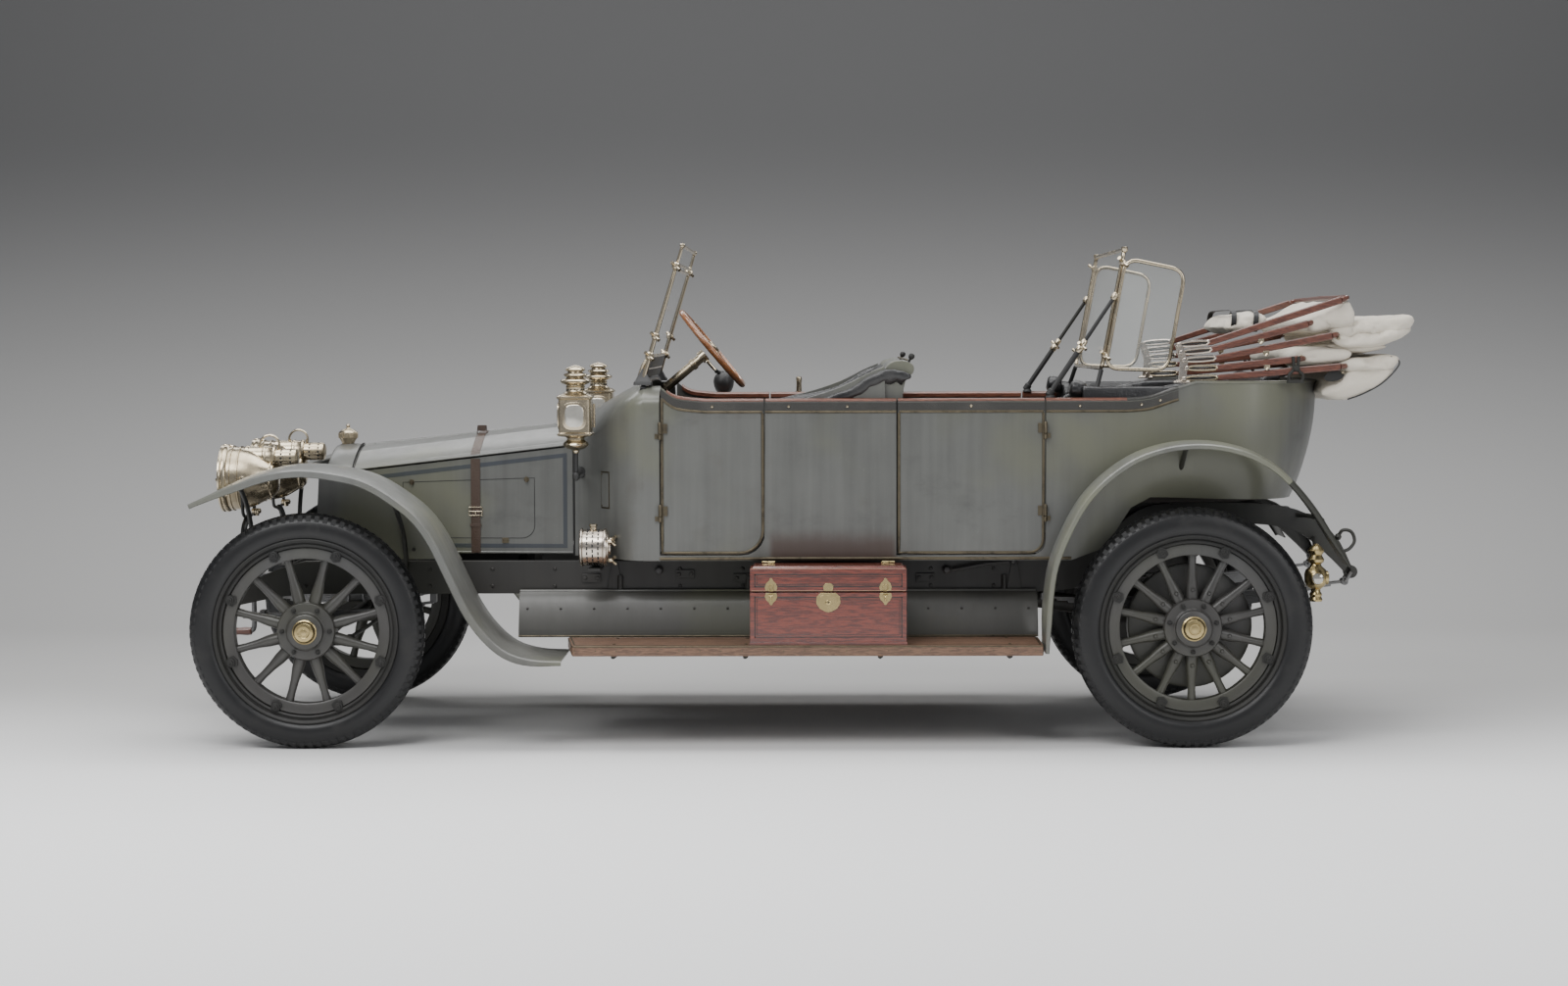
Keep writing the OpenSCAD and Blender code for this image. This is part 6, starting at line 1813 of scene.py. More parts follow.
def build_controls(p):
    """The bulb horn on the right front door and the two side levers with their quadrant."""
    at = Vector((-1.514, -0.654, 1.3))
    s = Shape()
    rows = [(0, -0.02), (0.014, -0.018), (0.022, -0.006), (0.034, 0.006), (0.041, 0.024), (0.0435, 0.042),
            (0.041, 0.058), (0.033, 0.073), (0.022, 0.084), (0.01, 0.089), (0, 0.09)]
    s.lathe(rows, at, UP, 36, 0)
    s.lathe([(0.0125, -0.066), (0.0125, -0.044), (0.015, -0.042), (0.015, -0.036), (0.012, -0.033), (0.012, -0.02),
             (0.016, -0.016), (0.016, -0.01), (0.01, -0.008)], at, UP, 24, 1)
    s.block(at + Vector((-0.011, 0.01, -0.06)), at + Vector((0.011, 0.0335, -0.026)), 1)
    put("horn_bulb_rubber", s, ["rubber", "brass"], "front_door_right", bevel=0.001, replaces=["horn_bulb"])
    c = Shape()
    for x, z in ((-1.83, 1.364), (-1.745, 1.21)):
        path = through([(-1.78, -0.661, 0.612), (lerp(-1.78, x, 0.45), -0.661, lerp(0.612, z, 0.45)),
                        (x + 0.006, -0.661, z - 0.09), (x, -0.661, z - 0.05)], 5)
        c.tube(path, lambda t: 0.0105 - 0.003 * t, 10, 0, flatten=0.6, up=LEFT)
        c.lathe([(0.008, -0.068), (0.012, -0.062), (0.0105, -0.03), (0.0125, -0.01), (0.0105, -0.002), (0, 0)],
                (x, -0.661, z), UP, 20, 1)
        c.tube([(x + 0.014, -0.661, z - 0.064), (x + 0.01, -0.661, z - 0.15),
                (lerp(-1.78, x, 0.5) + 0.016, -0.661, lerp(0.612, z, 0.5))], 0.0032, 8, 1)
    quad = [(-1.78 + 0.3 * cos(radians(t)), 0.612 + 0.3 * sin(radians(t)))
            for t in range(72, 118, 5)]
    c.plate(quad + [(q[0] * 0.93 - 1.78 * 0.07, q[1] * 0.93 + 0.612 * 0.07) for q in reversed(quad)],
            -0.652, -0.648, 0)
    for q in (quad[0], quad[-1]):
        c.tube([(q[0], -0.65, q[1]), (q[0], -0.626, q[1] - 0.01)], 0.006, 8, 0)
    c.lathe([(0.013, 0), (0.013, 0.28)], (-1.789, -0.7, 0.598), LEFT, 20, 0)
    c.lathe([(0.02, 0), (0.02, 0.014), (0.014, 0.018), (0, 0.019)], (-1.78, -0.668, 0.612), (0, -1, 0), 20, 0)
    put("hand_levers_iron", c, ["iron", "brass"], replaces=["hand_levers"])


# ---- seats ----

def pillow(width, depth, height, cells, lift, rows=1, seed=1):
    """A tufted pad lying on its back at the origin: buttons where folds meet, and slack between them."""
    nx, ny = 14 * cells, 12 * rows
    top, under = [], []
    for j in range(ny + 1):
        v = j / ny
        for i in range(nx + 1):
            u = i / nx
            edge = min(1.0, min(u, 1 - u) * width / 0.035) * min(1.0, min(v, 1 - v) * depth / 0.035)
            dome = sqrt(max(edge * (2 - edge), 0.0))
            puff = abs(sin(pi * u * cells)) * (1 if rows < 2 else abs(sin(pi * v * rows)))
            tuck = puff ** 0.6
            q = Vector((u * width * 7, v * depth * 7, seed * 3.1))
            slack = noise.noise(q) * 0.5 + noise.noise(q * 2.7) * 0.25
            z = height * (0.45 + 0.55 * dome) * (0.62 + 0.38 * tuck) + slack * lift * dome
            top.append(Vector((u * width, v * depth, z if edge > 0 else height * 0.42)))
            under.append(Vector((u * width, v * depth, 0.002)))
    n = nx + 1
    faces = []
    count = len(top)
    for j in range(ny):
        for i in range(nx):
            a, b, c, d = j * n + i, j * n + i + 1, (j + 1) * n + i + 1, (j + 1) * n + i
            faces.append([a, b, c, d])
            faces.append([d + count, c + count, b + count, a + count])
    rim = list(range(n)) + [j * n + nx for j in range(1, ny + 1)] \
        + [ny * n + i for i in range(nx - 1, -1, -1)] + [j * n for j in range(ny - 1, 0, -1)]
    for a, b in zip(rim, rim[1:] + rim[:1]):
        faces.append([b, a, a + count, b + count])
    return Shape().add(top + under, faces)


def place_on(shape, frame_of):
    """Carries each point of a flat pad (u across, v along, h high) to its place."""
    shape.points = [frame_of(p) for p in shape.points]
    return shape


def roll_path(points, steps):
    return through([(x, 0, z) for x, z in points], steps)


def upholstery(name, path, y0, y1, thickness, pleats, rows, lift, seed, node):
    """A pleated or buttoned pad that follows a side view path between y0 and y1."""
    lengths = [0.0]
    for a, b in zip(path, path[1:]):
        lengths.append(lengths[-1] + (b - a).length)
    total = lengths[-1]
    shape = pillow(y1 - y0, total, thickness, pleats, lift, rows, seed)

    def spot(q):
        v = max(0.0, min(total, q.y))
        for k in range(len(path) - 1):
            if v <= lengths[k + 1] or k == len(path) - 2:
                t = (v - lengths[k]) / max(lengths[k + 1] - lengths[k], 1e-6)
                at = lerp(path[k], path[k + 1], t)
                d0 = (path[min(k + 1, len(path) - 1)] - path[max(k - 1, 0)]).normalized()
                d1 = (path[min(k + 2, len(path) - 1)] - path[k]).normalized()
                d = lerp(d0, d1, t).normalized()
                return at + Vector((d.z, 0, -d.x)) * -q.z + Vector((0, y0 + q.x, 0))
        return path[-1]

    place_on(shape, spot)
    piece = put(name, shape, ["leather"], replaces=[node], crease=radians(60), weld=True)
    stuffed(piece, 0.016 if y1 - y0 > 0.5 else 0.009, 3.0, 0.02, 0.004)
    if rows > 1 and pleats > 1:
        b = Shape()
        for j in range(1, rows):
            for i in range(1, pleats):
                at = spot(Vector(((y1 - y0) * i / pleats, total * j / rows, thickness * 0.62)))
                up = (spot(Vector(((y1 - y0) * i / pleats, total * j / rows, thickness))) - at).normalized()
                b.lathe([(0.009, 0), (0.008, 0.003), (0, 0.005)], at, up, 12, 0)
        put(name + "_buttons", b, ["leather"])
    return piece


def build_seats(p):
    """Front and rear upholstery of black leather with pleats, rolls and buttons."""
    upholstery("front_cushion", roll_path([(-1.625, 0.9), (-1.612, 0.98), (-1.64, 1.045), (-1.75, 1.062),
            (-1.95, 1.052), (-2.06, 1.045)], 4), -0.545, 0.545, 0.055, 12, 3, 0.012, 3, "front_seat_pads")
    upholstery("front_back", roll_path([(-2.05, 1.05), (-2.075, 1.16), (-2.11, 1.3), (-2.135, 1.392), (-2.178, 1.425),
            (-2.222, 1.41)], 4), -0.545, 0.545, 0.052, 14, 4, 0.012, 5, "front_seat_pads")
    for side, g in reversed(SIDES):
        arm = roll_path([(-1.722, 1.24), (-1.735, 1.268), (-1.82, 1.284), (-1.93, 1.304), (-2.02, 1.336),
                         (-2.1, 1.386), (-2.17, 1.408), (-2.25, 1.392), (-2.262, 1.37)], 4)
        y = sorted((g * 0.505, g * 0.598))
        upholstery(f"front_arm_{side}", arm, y[0], y[1], 0.064, 1, 9, 0.014, 8 + g,
                   "front_seat_pads")
    upholstery("rear_cushion", roll_path([(-2.872, 0.96), (-2.862, 1.02), (-2.89, 1.072), (-3.0, 1.085), (-3.3, 1.07),
            (-3.42, 1.062)], 4), -0.47, 0.47, 0.055, 10, 3, 0.012, 13, "rear_seat_pads")
    upholstery("rear_back", roll_path([(-3.46, 1.06), (-3.53, 1.2), (-3.585, 1.325), (-3.6, 1.372), (-3.64, 1.392),
            (-3.68, 1.38)], 4), -0.42, 0.42, 0.055, 11, 4, 0.012, 15, "rear_seat_pads")
    for side, g in reversed(SIDES):
        def wall(q, g=g):
            u = lerp(u_of(-2.9), u_of(-3.62), q.x / 0.72)
            outer = skin(u, 1.1 + q.y, -0.034 - q.z)
            return Vector((outer.x, g * outer.y, outer.z))
        s = pillow(0.72, 0.245, 0.06, 9, 0.01, 2, 20 + g)
        place_on(s, wall)
        piece = put(f"rear_side_{side}", s, ["leather"], replaces=["rear_seat_pads"],
                    crease=radians(60), weld=True)
        stuffed(piece, 0.012, 3.0, 0.02, 0.004)
        arm = roll_path([(-2.915, 1.262), (-2.935, 1.288), (-3.02, 1.296), (-3.1, 1.306), (-3.18, 1.328),
                         (-3.25, 1.345), (-3.36, 1.348), (-3.5, 1.35), (-3.62, 1.348)], 4)
        y = sorted((g * 0.466, g * 0.553))
        upholstery(f"rear_roll_{side}", arm, y[0], y[1], 0.062, 1, 13, 0.014, 26 + g,
                   "rear_seat_pads")
        barrel = Shape()
        barrel.lathe([(0, -0.03), (0.022, -0.029), (0.031, -0.023), (0.034, -0.012), (0.035, 0.0), (0.034, 0.012),
                      (0.031, 0.023), (0.022, 0.029), (0, 0.03)], (-2.89, g * 0.525, 1.33), (1, 0, 0.2), 24, 0)
        piece = put(f"rear_pad_{side}", barrel, ["leather"], replaces=["rear_seat_pads"])


# ---- folded hood ----

BOWS = [((-3.37, 1.503), (-3.87, 1.664), (-3.256, 1.496)), ((-3.381, 1.477), (-3.745, 1.575), (-3.264, 1.467)),
        ((-3.396, 1.446), (-3.835, 1.53), (-3.277, 1.439)), ((-3.402, 1.411), (-3.71, 1.443), (-3.286, 1.409)),
        ((-3.404, 1.374), (-3.868, 1.414), (-3.276, 1.369))]
BOW_Y = 0.576


def build_bows(p):
    """The five hood bows, their pointed fittings, spacer brackets, pivots and rest clamps."""
    s = Shape()
    for k, (a, b, tip) in enumerate(BOWS):
        lo, hi = Vector((a[0], BOW_Y, a[1] - 0.001)), Vector((b[0], BOW_Y, b[1] - 0.001))
        d = (hi - lo).normalized()
        up = Vector((-d.z, 0, d.x))
        if up.z < 0:
            up = -up
        rings = []
        for t, h, w in ((0.0, 0.009, 0.0085), (0.03, 0.0115, 0.0105), (0.5, 0.013, 0.0115), (1.0, 0.0135, 0.0115)):
            at = lerp(lo, hi, t)
            rings.append([at + up * h * v + Vector((0, w * u, 0)) for u, v in
                          ((1, 0.72), (0.72, 1), (-0.72, 1), (-1, 0.72), (-1, -0.72), (-0.72, -1), (0.72, -1),
                           (1, -0.72))])
        s.loft(rings, 0)
        corner_path = through([hi, hi + d * 0.022 + Vector((0, -0.016, 0)), hi + d * 0.03 + Vector((0, -0.07, 0)),
                hi + d * 0.032 + Vector((0, -0.3, 0)), Vector(((hi + d * 0.032).x, 0, hi.z + 0.012))], 5)
        s.tube(corner_path, 0.0105, 10, 0)
        foot = Vector((tip[0], BOW_Y, tip[1]))
        start = lo + d * 0.012
        f = 1 if k < 3 else 2
        for side in (-1, 1):
            prong = [lerp(foot, start, t) + up * side * w for t, w in
                     ((0.0, 0.0), (0.1, 0.0045), (0.3, 0.0082), (0.6, 0.009), (0.85, 0.0074), (1.02, 0.004),
                      (1.1, 0.0))]
            s.tube(through(prong, 3), 0.0048, 10, f)
        s.tube([lerp(foot, start, 0.06), lerp(foot, start, 1.0)], 0.003, 8, 3)
        s.lathe([(0.0085, 0), (0.0105, 0.002), (0.0105, 0.008), (0.0085, 0.01)], lerp(foot, start, 0.9), d, 14, f)
    for k, t in ((1, 0.52), (2, 0.44), (3, 0.62)):
        a, b, _ = BOWS[k]
        at = Vector((lerp(a[0], b[0], t), BOW_Y + 0.004, lerp(a[1], b[1], t)))
        s.block(at + Vector((-0.011, -0.006, -0.024)), at + Vector((0.011, 0.01, -0.01)), 2)
        s.tube([at + Vector((-0.004, 0.011, -0.02)), at + Vector((0.004, 0.011, -0.03))], 0.005, 8, 2)
    plate = [(-3.262, 1.358), (-3.29, 1.358), (-3.298, 1.43), (-3.278, 1.495), (-3.256, 1.503), (-3.25, 1.49),
             (-3.268, 1.43)]
    s.plate(plate, BOW_Y - 0.006, BOW_Y + 0.006, 1)
    for _, _, tip in BOWS:
        s.lathe([(0.009, -0.019), (0.009, 0.019), (0.006, 0.0215), (0, 0.022)], (tip[0] - 0.006, BOW_Y, tip[1]),
                LEFT, 16, 1)
    s.loft([[Vector((-3.275 + dx * k, BOW_Y + dy * k, z)) for dx, dy in
             ((0.03, -0.016), (0.03, 0.016), (-0.03, 0.016), (-0.03, -0.016))]
            for z, k in ((1.353, 1.0), (1.359, 1.0), (1.366, 0.55))], 1)
    clamp = Vector((-3.7, BOW_Y + 0.014, 1.352))
    s.block(clamp + Vector((-0.03, -0.03, 0)), clamp + Vector((0.03, 0.006, 0.012)), 3)
    for dx in (-0.022, 0.022):
        s.tube(through([clamp + Vector((dx, 0, 0.008)), clamp + Vector((dx * 1.2, 0.002, 0.03)),
                        clamp + Vector((dx * 0.4, 0, 0.052)), clamp + Vector((dx * 0.5, 0, 0.1))], 4), 0.0062, 8, 3)
    s.lathe([(0.01, -0.008), (0.012, 0), (0.01, 0.008), (0, 0.01)], clamp + Vector((0, 0.002, 0.055)), LEFT,
            14, 3)
    put("hood_bow_wood", s.mirrored(), ["bow", "nickel", "brass", "dark"], bevel=0.0008, replaces=["hood_bows"])


def bundle(name, outline, p, seed, half=0.548, swell=0.022, folds=3):
    """A folded roll of canvas that runs across the car: outline is its side view, pinched and creased at its ends."""
    ring = through([Vector((q[0], 0, q[1])) for q in outline + [outline[0]]], 7)[:-1]
    n = len(ring)
    middle = sum(ring, Vector()) / n
    rng = random.Random(seed)
    phase = [rng.uniform(0, 6.28) for _ in range(4)]
    s = Shape()
    rings = []
    shares = [(0.12, 1.0), (0.34, 0.96), (0.56, 0.86), (0.76, 0.7), (0.9, 0.46), (0.98, 0.18)]
    stations = [(half + swell * q, k) for k, q in shares]
    stations += [(lerp(half, -half, i / 40), 1.0) for i in range(41)]
    stations += [(-half - swell * q, k) for k, q in reversed(shares)]
    for y, k in stations:
        row = []
        for i, q in enumerate(ring):
            a = TURN * i / n
            out = q - middle
            wave = sin(folds * a + phase[0] + 1.4 * sin(y * 5 + phase[1]))
            fine = noise.noise(Vector((q.x * 16, y * 5, q.z * 16 + seed)))
            crease = 1 - abs(noise.noise(Vector((q.x * 9 + seed, y * 3.0, q.z * 9)))) * 4
            move = p.fold_depth * (0.55 * wave + 0.9 * fine + 0.5 * max(crease, 0))
            point = middle + out * k + out.normalized() * (move * min(1.0, k * 1.6))
            side = copysign(1, y)
            dent = noise.noise(Vector((point.x * 11 + seed, side * 3, point.z * 17))) * 0.012
            ridge = (1 - abs(sin((point.z - middle.z) * 42 + (point.x - middle.x) * 9 + phase[2]))) ** 3
            bulge = (dent - 0.016 * ridge) * (1 if k < 1.0 else 0.0)
            row.append(Vector((point.x, y + side * bulge, point.z)))
        rings.append(row)
    s.loft(rings, 0)
    piece = put(name, s, ["canvas"], replaces=["hood_canvas"], crease=radians(70))
    stuffed(piece, 0.0125, 2.0, 0.05, 0.009)
    return piece


def build_canvas(p):
    """The folded canvas: sleeves on the bows, rolls and the hanging corner, with seams, studs and an eye."""
    bundle("canvas_sleeve_top", [(-3.742, 1.586), (-3.8, 1.606), (-3.85, 1.64), (-3.892, 1.662), (-3.914, 1.64),
            (-3.926, 1.604), (-3.908, 1.566), (-3.83, 1.556), (-3.765, 1.545)], p, 3, folds=2)
    bundle("canvas_roll_upper", [(-3.812, 1.544), (-3.87, 1.566), (-3.96, 1.58), (-4.06, 1.586), (-4.126, 1.604),
            (-4.15, 1.592), (-4.14, 1.566), (-4.09, 1.546), (-4.0, 1.538), (-3.88, 1.524)], p, 7, folds=3)
    bundle("canvas_roll_lower", [(-3.836, 1.53), (-3.96, 1.544), (-4.07, 1.552), (-4.132, 1.566), (-4.128, 1.54),
            (-4.076, 1.514), (-3.99, 1.494), (-3.91, 1.488), (-3.868, 1.5)], p, 11, folds=3)
    bundle("canvas_shadow_roll", [(-3.83, 1.492), (-3.95, 1.496), (-4.04, 1.498), (-4.056, 1.486), (-3.98, 1.474),
            (-3.88, 1.47)], p, 13, half=0.52, swell=0.016, folds=3)
    bundle("canvas_sleeve_low", [(-3.704, 1.472), (-3.79, 1.478), (-3.892, 1.474), (-3.912, 1.456), (-3.886, 1.438),
            (-3.79, 1.43), (-3.708, 1.43)], p, 17, swell=0.016, folds=2)
    bundle("canvas_corner_upper", [(-3.842, 1.414), (-3.912, 1.436), (-4.01, 1.446), (-4.084, 1.45), (-4.096, 1.432),
            (-4.06, 1.404), (-3.98, 1.404), (-3.9, 1.398)], p, 23, folds=3)
    bundle("canvas_corner_lower", [(-3.8, 1.318), (-3.858, 1.352), (-3.9, 1.392), (-3.99, 1.406), (-4.078, 1.412),
            (-4.07, 1.388), (-4.02, 1.346), (-3.95, 1.31), (-3.892, 1.288), (-3.85, 1.296)], p, 29, swell=0.014,
            folds=3)
    bundle("canvas_inner_roll", [(-3.47, 1.56), (-3.52, 1.598), (-3.6, 1.612), (-3.64, 1.592), (-3.6, 1.562),
            (-3.52, 1.548)], p, 31, half=0.3, swell=0.03, folds=3)
    trim = Shape()
    edge = [(-3.9, 1.29), (-3.96, 1.312), (-4.028, 1.35), (-4.08, 1.402), (-4.092, 1.432), (-4.06, 1.45)]
    for g in (-1, 1):
        trim.tube(through([(x, g * 0.561, z) for x, z in edge], 5), 0.0028, 8, 0)
        for x, z in ((-3.862, 1.52), (-3.722, 1.452), (-3.878, 1.392)):
            trim.lathe([(0.0065, -0.006), (0.0065, 0.002), (0.0045, 0.005), (0, 0.0055)], (x, g * 0.57, z), (0, g, 0),
                       14, 1)
        eye = [Vector((-3.848 + 0.034 * cos(t) - 0.01 * sin(t), g * 0.56, 1.378 + 0.019 * sin(t)))
               for t in (TURN * i / 20 for i in range(20))]
        trim.loft([eye, [q + Vector((0, g * 0.004, 0)) for q in eye]], 2)
        trim.tube([q + Vector((0, g * 0.004, 0)) for q in eye], 0.0022, 6, 0, loop=True)
    put("canvas_trim", trim, ["cord", "brass", "dark"], replaces=["hood_canvas"])
    for k, x in enumerate((-3.505, -3.59)):
        strap = Shape()
        path = through([(x, 0.3, 1.545), (x, 0.335, 1.58), (x - 0.004, 0.3, 1.622), (x - 0.006, 0.1, 1.628),
                        (x - 0.006, -0.1, 1.628), (x - 0.004, -0.3, 1.622), (x, -0.335, 1.58),
                        (x, -0.3, 1.545)], 6)
        strap.sweep([(-0.01, -0.0012), (0.01, -0.0012), (0.01, 0.0012), (-0.01, 0.0012)], path, 0,
                    up=AHEAD)
        put(f"canvas_band_{k + 1}", strap, ["cord"], replaces=["hood_canvas"])


# ---- chassis ----

RAIL_Y = (0.375, 0.42)


def chassis_rail_lines():
    top = through([(0.392, 0.534), (0.3, 0.585), (0.18, 0.64), (0.06, 0.675)], 6) + [Vector((-2.76, 0.675))] \
        + through([(-2.86, 0.678), (-2.96, 0.716), (-3.11, 0.852), (-3.25, 0.893), (-3.6, 0.89),
                   (-3.78, 0.85), (-3.89, 0.76), (-3.946, 0.652)], 5)
    low = through([(0.392, 0.49), (0.3, 0.51), (0.18, 0.535), (0.06, 0.55)], 6) + [Vector((-2.7, 0.55))] \
        + through([(-2.9, 0.565), (-3.05, 0.69), (-3.18, 0.78), (-3.3, 0.81), (-3.58, 0.812),
                   (-3.74, 0.782), (-3.85, 0.7), (-3.946, 0.604)], 5)
    return top, low


def resample(line, n):
    lengths = [0.0]
    for a, b in zip(line, line[1:]):
        lengths.append(lengths[-1] + (Vector(b) - Vector(a)).length)
    out = []
    for i in range(n):
        want, k = lengths[-1] * i / (n - 1), 0
        while k < len(lengths) - 2 and lengths[k + 1] < want:
            k += 1
        t = (want - lengths[k]) / max(lengths[k + 1] - lengths[k], 1e-9)
        out.append(lerp(Vector(line[k]), Vector(line[k + 1]), min(t, 1.0)))
    return out


def build_frame(p):
    """The channel-section frame with its cross members, rivets, engine arms, exhaust and side fittings."""
    s = Shape()
    top, low = chassis_rail_lines()
    top, low = resample(top, 90), resample(low, 90)
    y_in, y_out = RAIL_Y
    t = 0.006
    rings = []
    for a, b in zip(top, low):
        up = (a - b).normalized() * t
        rows = [(y_in, a), (y_out, a), (y_out, b), (y_in, b), (y_in, b + up), (y_out - t, b + up), (y_out - t, a - up),
                (y_in, a - up)]
        rings.append([Vector((q.x, y, q.y)) for y, q in rows])
    s.loft(rings, 0)
    for x, z in ((0.392, 0.512), (-3.946, 0.628)):
        s.lathe([(0.01, 0), (0.024, 0), (0.0245, 0.001), (0.0245, 0.044), (0.024, 0.045), (0.01, 0.045)],
                (x, y_in, z), LEFT, 32, 0)
    for x in [0.3 - 0.24 * i for i in range(14)]:
        for z in (0.58, 0.645):
            if x < -0.1 or z < 0.6:
                s.bolt((x, y_out, z if x < 0.1 else 0.56), LEFT, 0.0075, 0.006, 0, 8)
    for x, z in ((-1.04, 0.61), (-1.4, 0.625), (-1.62, 0.61), (-2.1, 0.62), (-2.32, 0.61)):
        s.block((x - 0.035, y_out, z - 0.016), (x + 0.035, y_out + 0.01, z + 0.016), 0)
        for dx in (-0.023, 0.023):
            s.bolt((x + dx, y_out + 0.01, z), LEFT, 0.008, 0.007, 0)
    for x in (-1.3, -2.18, -2.4):
        s.lathe([(0.016, 0), (0.016, 0.018), (0.011, 0.022), (0.011, 0.034), (0, 0.036)], (x, y_out, 0.64),
                LEFT, 18, 1)
    s.tube([(-2.42, y_out + 0.026, 0.64), (-2.56, y_out + 0.03, 0.665), (-2.64, y_out + 0.03, 0.672)], 0.007, 8, 1)
    s.lathe([(0, -0.016), (0.014, -0.008), (0.017, 0.0), (0.014, 0.008), (0, 0.016)], (-2.655, y_out + 0.03, 0.674),
            AHEAD, 18, 1)
    for x in (-1.13, -1.93, -2.66):
        brace = [(x - 0.03, 0.56), (x + 0.03, 0.56), (x + 0.012, 0.668), (x - 0.012, 0.668)]
        s.plate(brace, y_out, y_out + 0.006, 0)
    s.mirrored()
    for m in ((0.04, 0.11, 0.56, 0.64), (-0.56, -0.49, 0.556, 0.59), (-1.18, -1.11, 0.556, 0.64),
              (-2.0, -1.93, 0.556, 0.66), (-2.76, -2.69, 0.556, 0.66), (-3.64, -3.58, 0.83, 0.88)):
        s.block((m[0], -y_in - 0.002, m[2]), (m[1], y_in + 0.002, m[2] + 0.006), 0)
        s.block((m[0], -y_in - 0.002, m[3] - 0.006), (m[1], y_in + 0.002, m[3]), 0)
        s.block((m[0], -y_in - 0.002, m[2] + 0.005), (m[0] + 0.006, y_in + 0.002, m[3] - 0.005), 0)
    for x in (-0.2, -0.75):
        for g in (-1, 1):
            s.tube(through([(x, g * 0.15, 0.66), (x, g * 0.25, 0.64), (x, g * 0.375, 0.655)], 4), 0.02, 10, 1)
    put("frame_channel", s, ["chassis", "iron"], bevel=0.0015, replaces=["frame_rails"])
    pipe = Shape()
    pipe.tube(through([(-0.3, 0.15, 0.8), (-0.3, 0.2, 0.78), (-0.36, 0.23, 0.68), (-0.55, 0.235, 0.605),
            (-0.9, 0.235, 0.598), (-1.2, 0.235, 0.598)], 6), 0.024, 14, 0)
    pipe.lathe([(0.024, 0), (0.06, 0.012), (0.068, 0.03), (0.068, 0.56), (0.06, 0.585), (0.02, 0.6), (0.02, 0.8)],
               (-1.2, 0.235, 0.598), BACK, 28, 0)
    put("exhaust_pipe", pipe, ["iron"])


def build_engine(p):
    """A plain four-cylinder block with cast pots, pipes and a fan."""
    s = Shape()
    s.block((-0.795, -0.145, 0.595), (-0.175, 0.145, 0.7), 0)
    for i in range(2):
        x = -0.205 - 0.3 * i
        s.loft([[Vector((x - dx, dy * k, z)) for dx, dy in
                 ((0.0, 0.09), (0.03, 0.115), (0.235, 0.115), (0.265, 0.09), (0.265, -0.09), (0.235, -0.115),
                  (0.03, -0.115), (0.0, -0.09))] for z, k in ((0.7, 1.0), (0.852, 1.0), (0.872, 0.86), (0.878, 0.6))],
               0)
        for dx in (0.065, 0.2):
            s.lathe([(0.03, 0), (0.03, 0.012), (0.018, 0.016), (0, 0.017)], (x - dx, 0, 0.86), UP, 20, 1)
    s.tube([(-0.21, 0.135, 0.835), (-0.76, 0.135, 0.835)], 0.014, 12, 0)
    s.tube([(-0.21, -0.13, 0.8), (-0.76, -0.13, 0.8)], 0.017, 12, 1)
    s.lathe([(0.048, 0), (0.05, 0.004), (0.05, 0.012), (0.03, 0.016), (0, 0.017)], (-0.174, 0, 0.78), AHEAD,
            28, 0)
    put("engine_castings", s, ["iron", "brass"], bevel=0.003, replaces=["engine_block"])


def leaf_shape(a, middle, b, leaves, y, t=0.009):
    s = Shape()
    a, middle, b = Vector(a), Vector(middle), Vector(b)
    for k in range(leaves):
        cut = k * 0.085
        sag = Vector((0, 0.009))
        path = through([lerp(middle, a, 1 - cut), lerp(middle, a, 0.5 * (1 - cut)) - sag, middle,
                        lerp(middle, b, 0.5 * (1 - cut)) - sag, lerp(middle, b, 1 - cut)], 6)
        rings = []
        for q in path:
            z = q.y - t * k
            rings.append([Vector((q.x, y - 0.0215, z)), Vector((q.x, y + 0.0215, z)),
                          Vector((q.x, y + 0.0215, z - t + 0.0008)), Vector((q.x, y - 0.0215, z - t + 0.0008))])
        s.loft(rings, 0)
    for x in (-0.03, 0.03):
        for dy in (-0.026, 0.026):
            s.tube([(middle.x + x, y + dy, middle.y + 0.004), (middle.x + x, y + dy, middle.y - t * leaves - 0.006)],
                   0.005, 8, 0)
    s.block((middle.x - 0.045, y - 0.032, middle.y), (middle.x + 0.045, y + 0.032, middle.y + 0.01), 0)
    for end in (a, b):
        x = lerp(middle.x, end.x, 0.62)
        z = lerp(middle.y, end.y, 0.62)
        s.block((x - 0.01, y - 0.025, z - 0.04), (x + 0.01, y + 0.025, z + 0.004), 0)
    return s


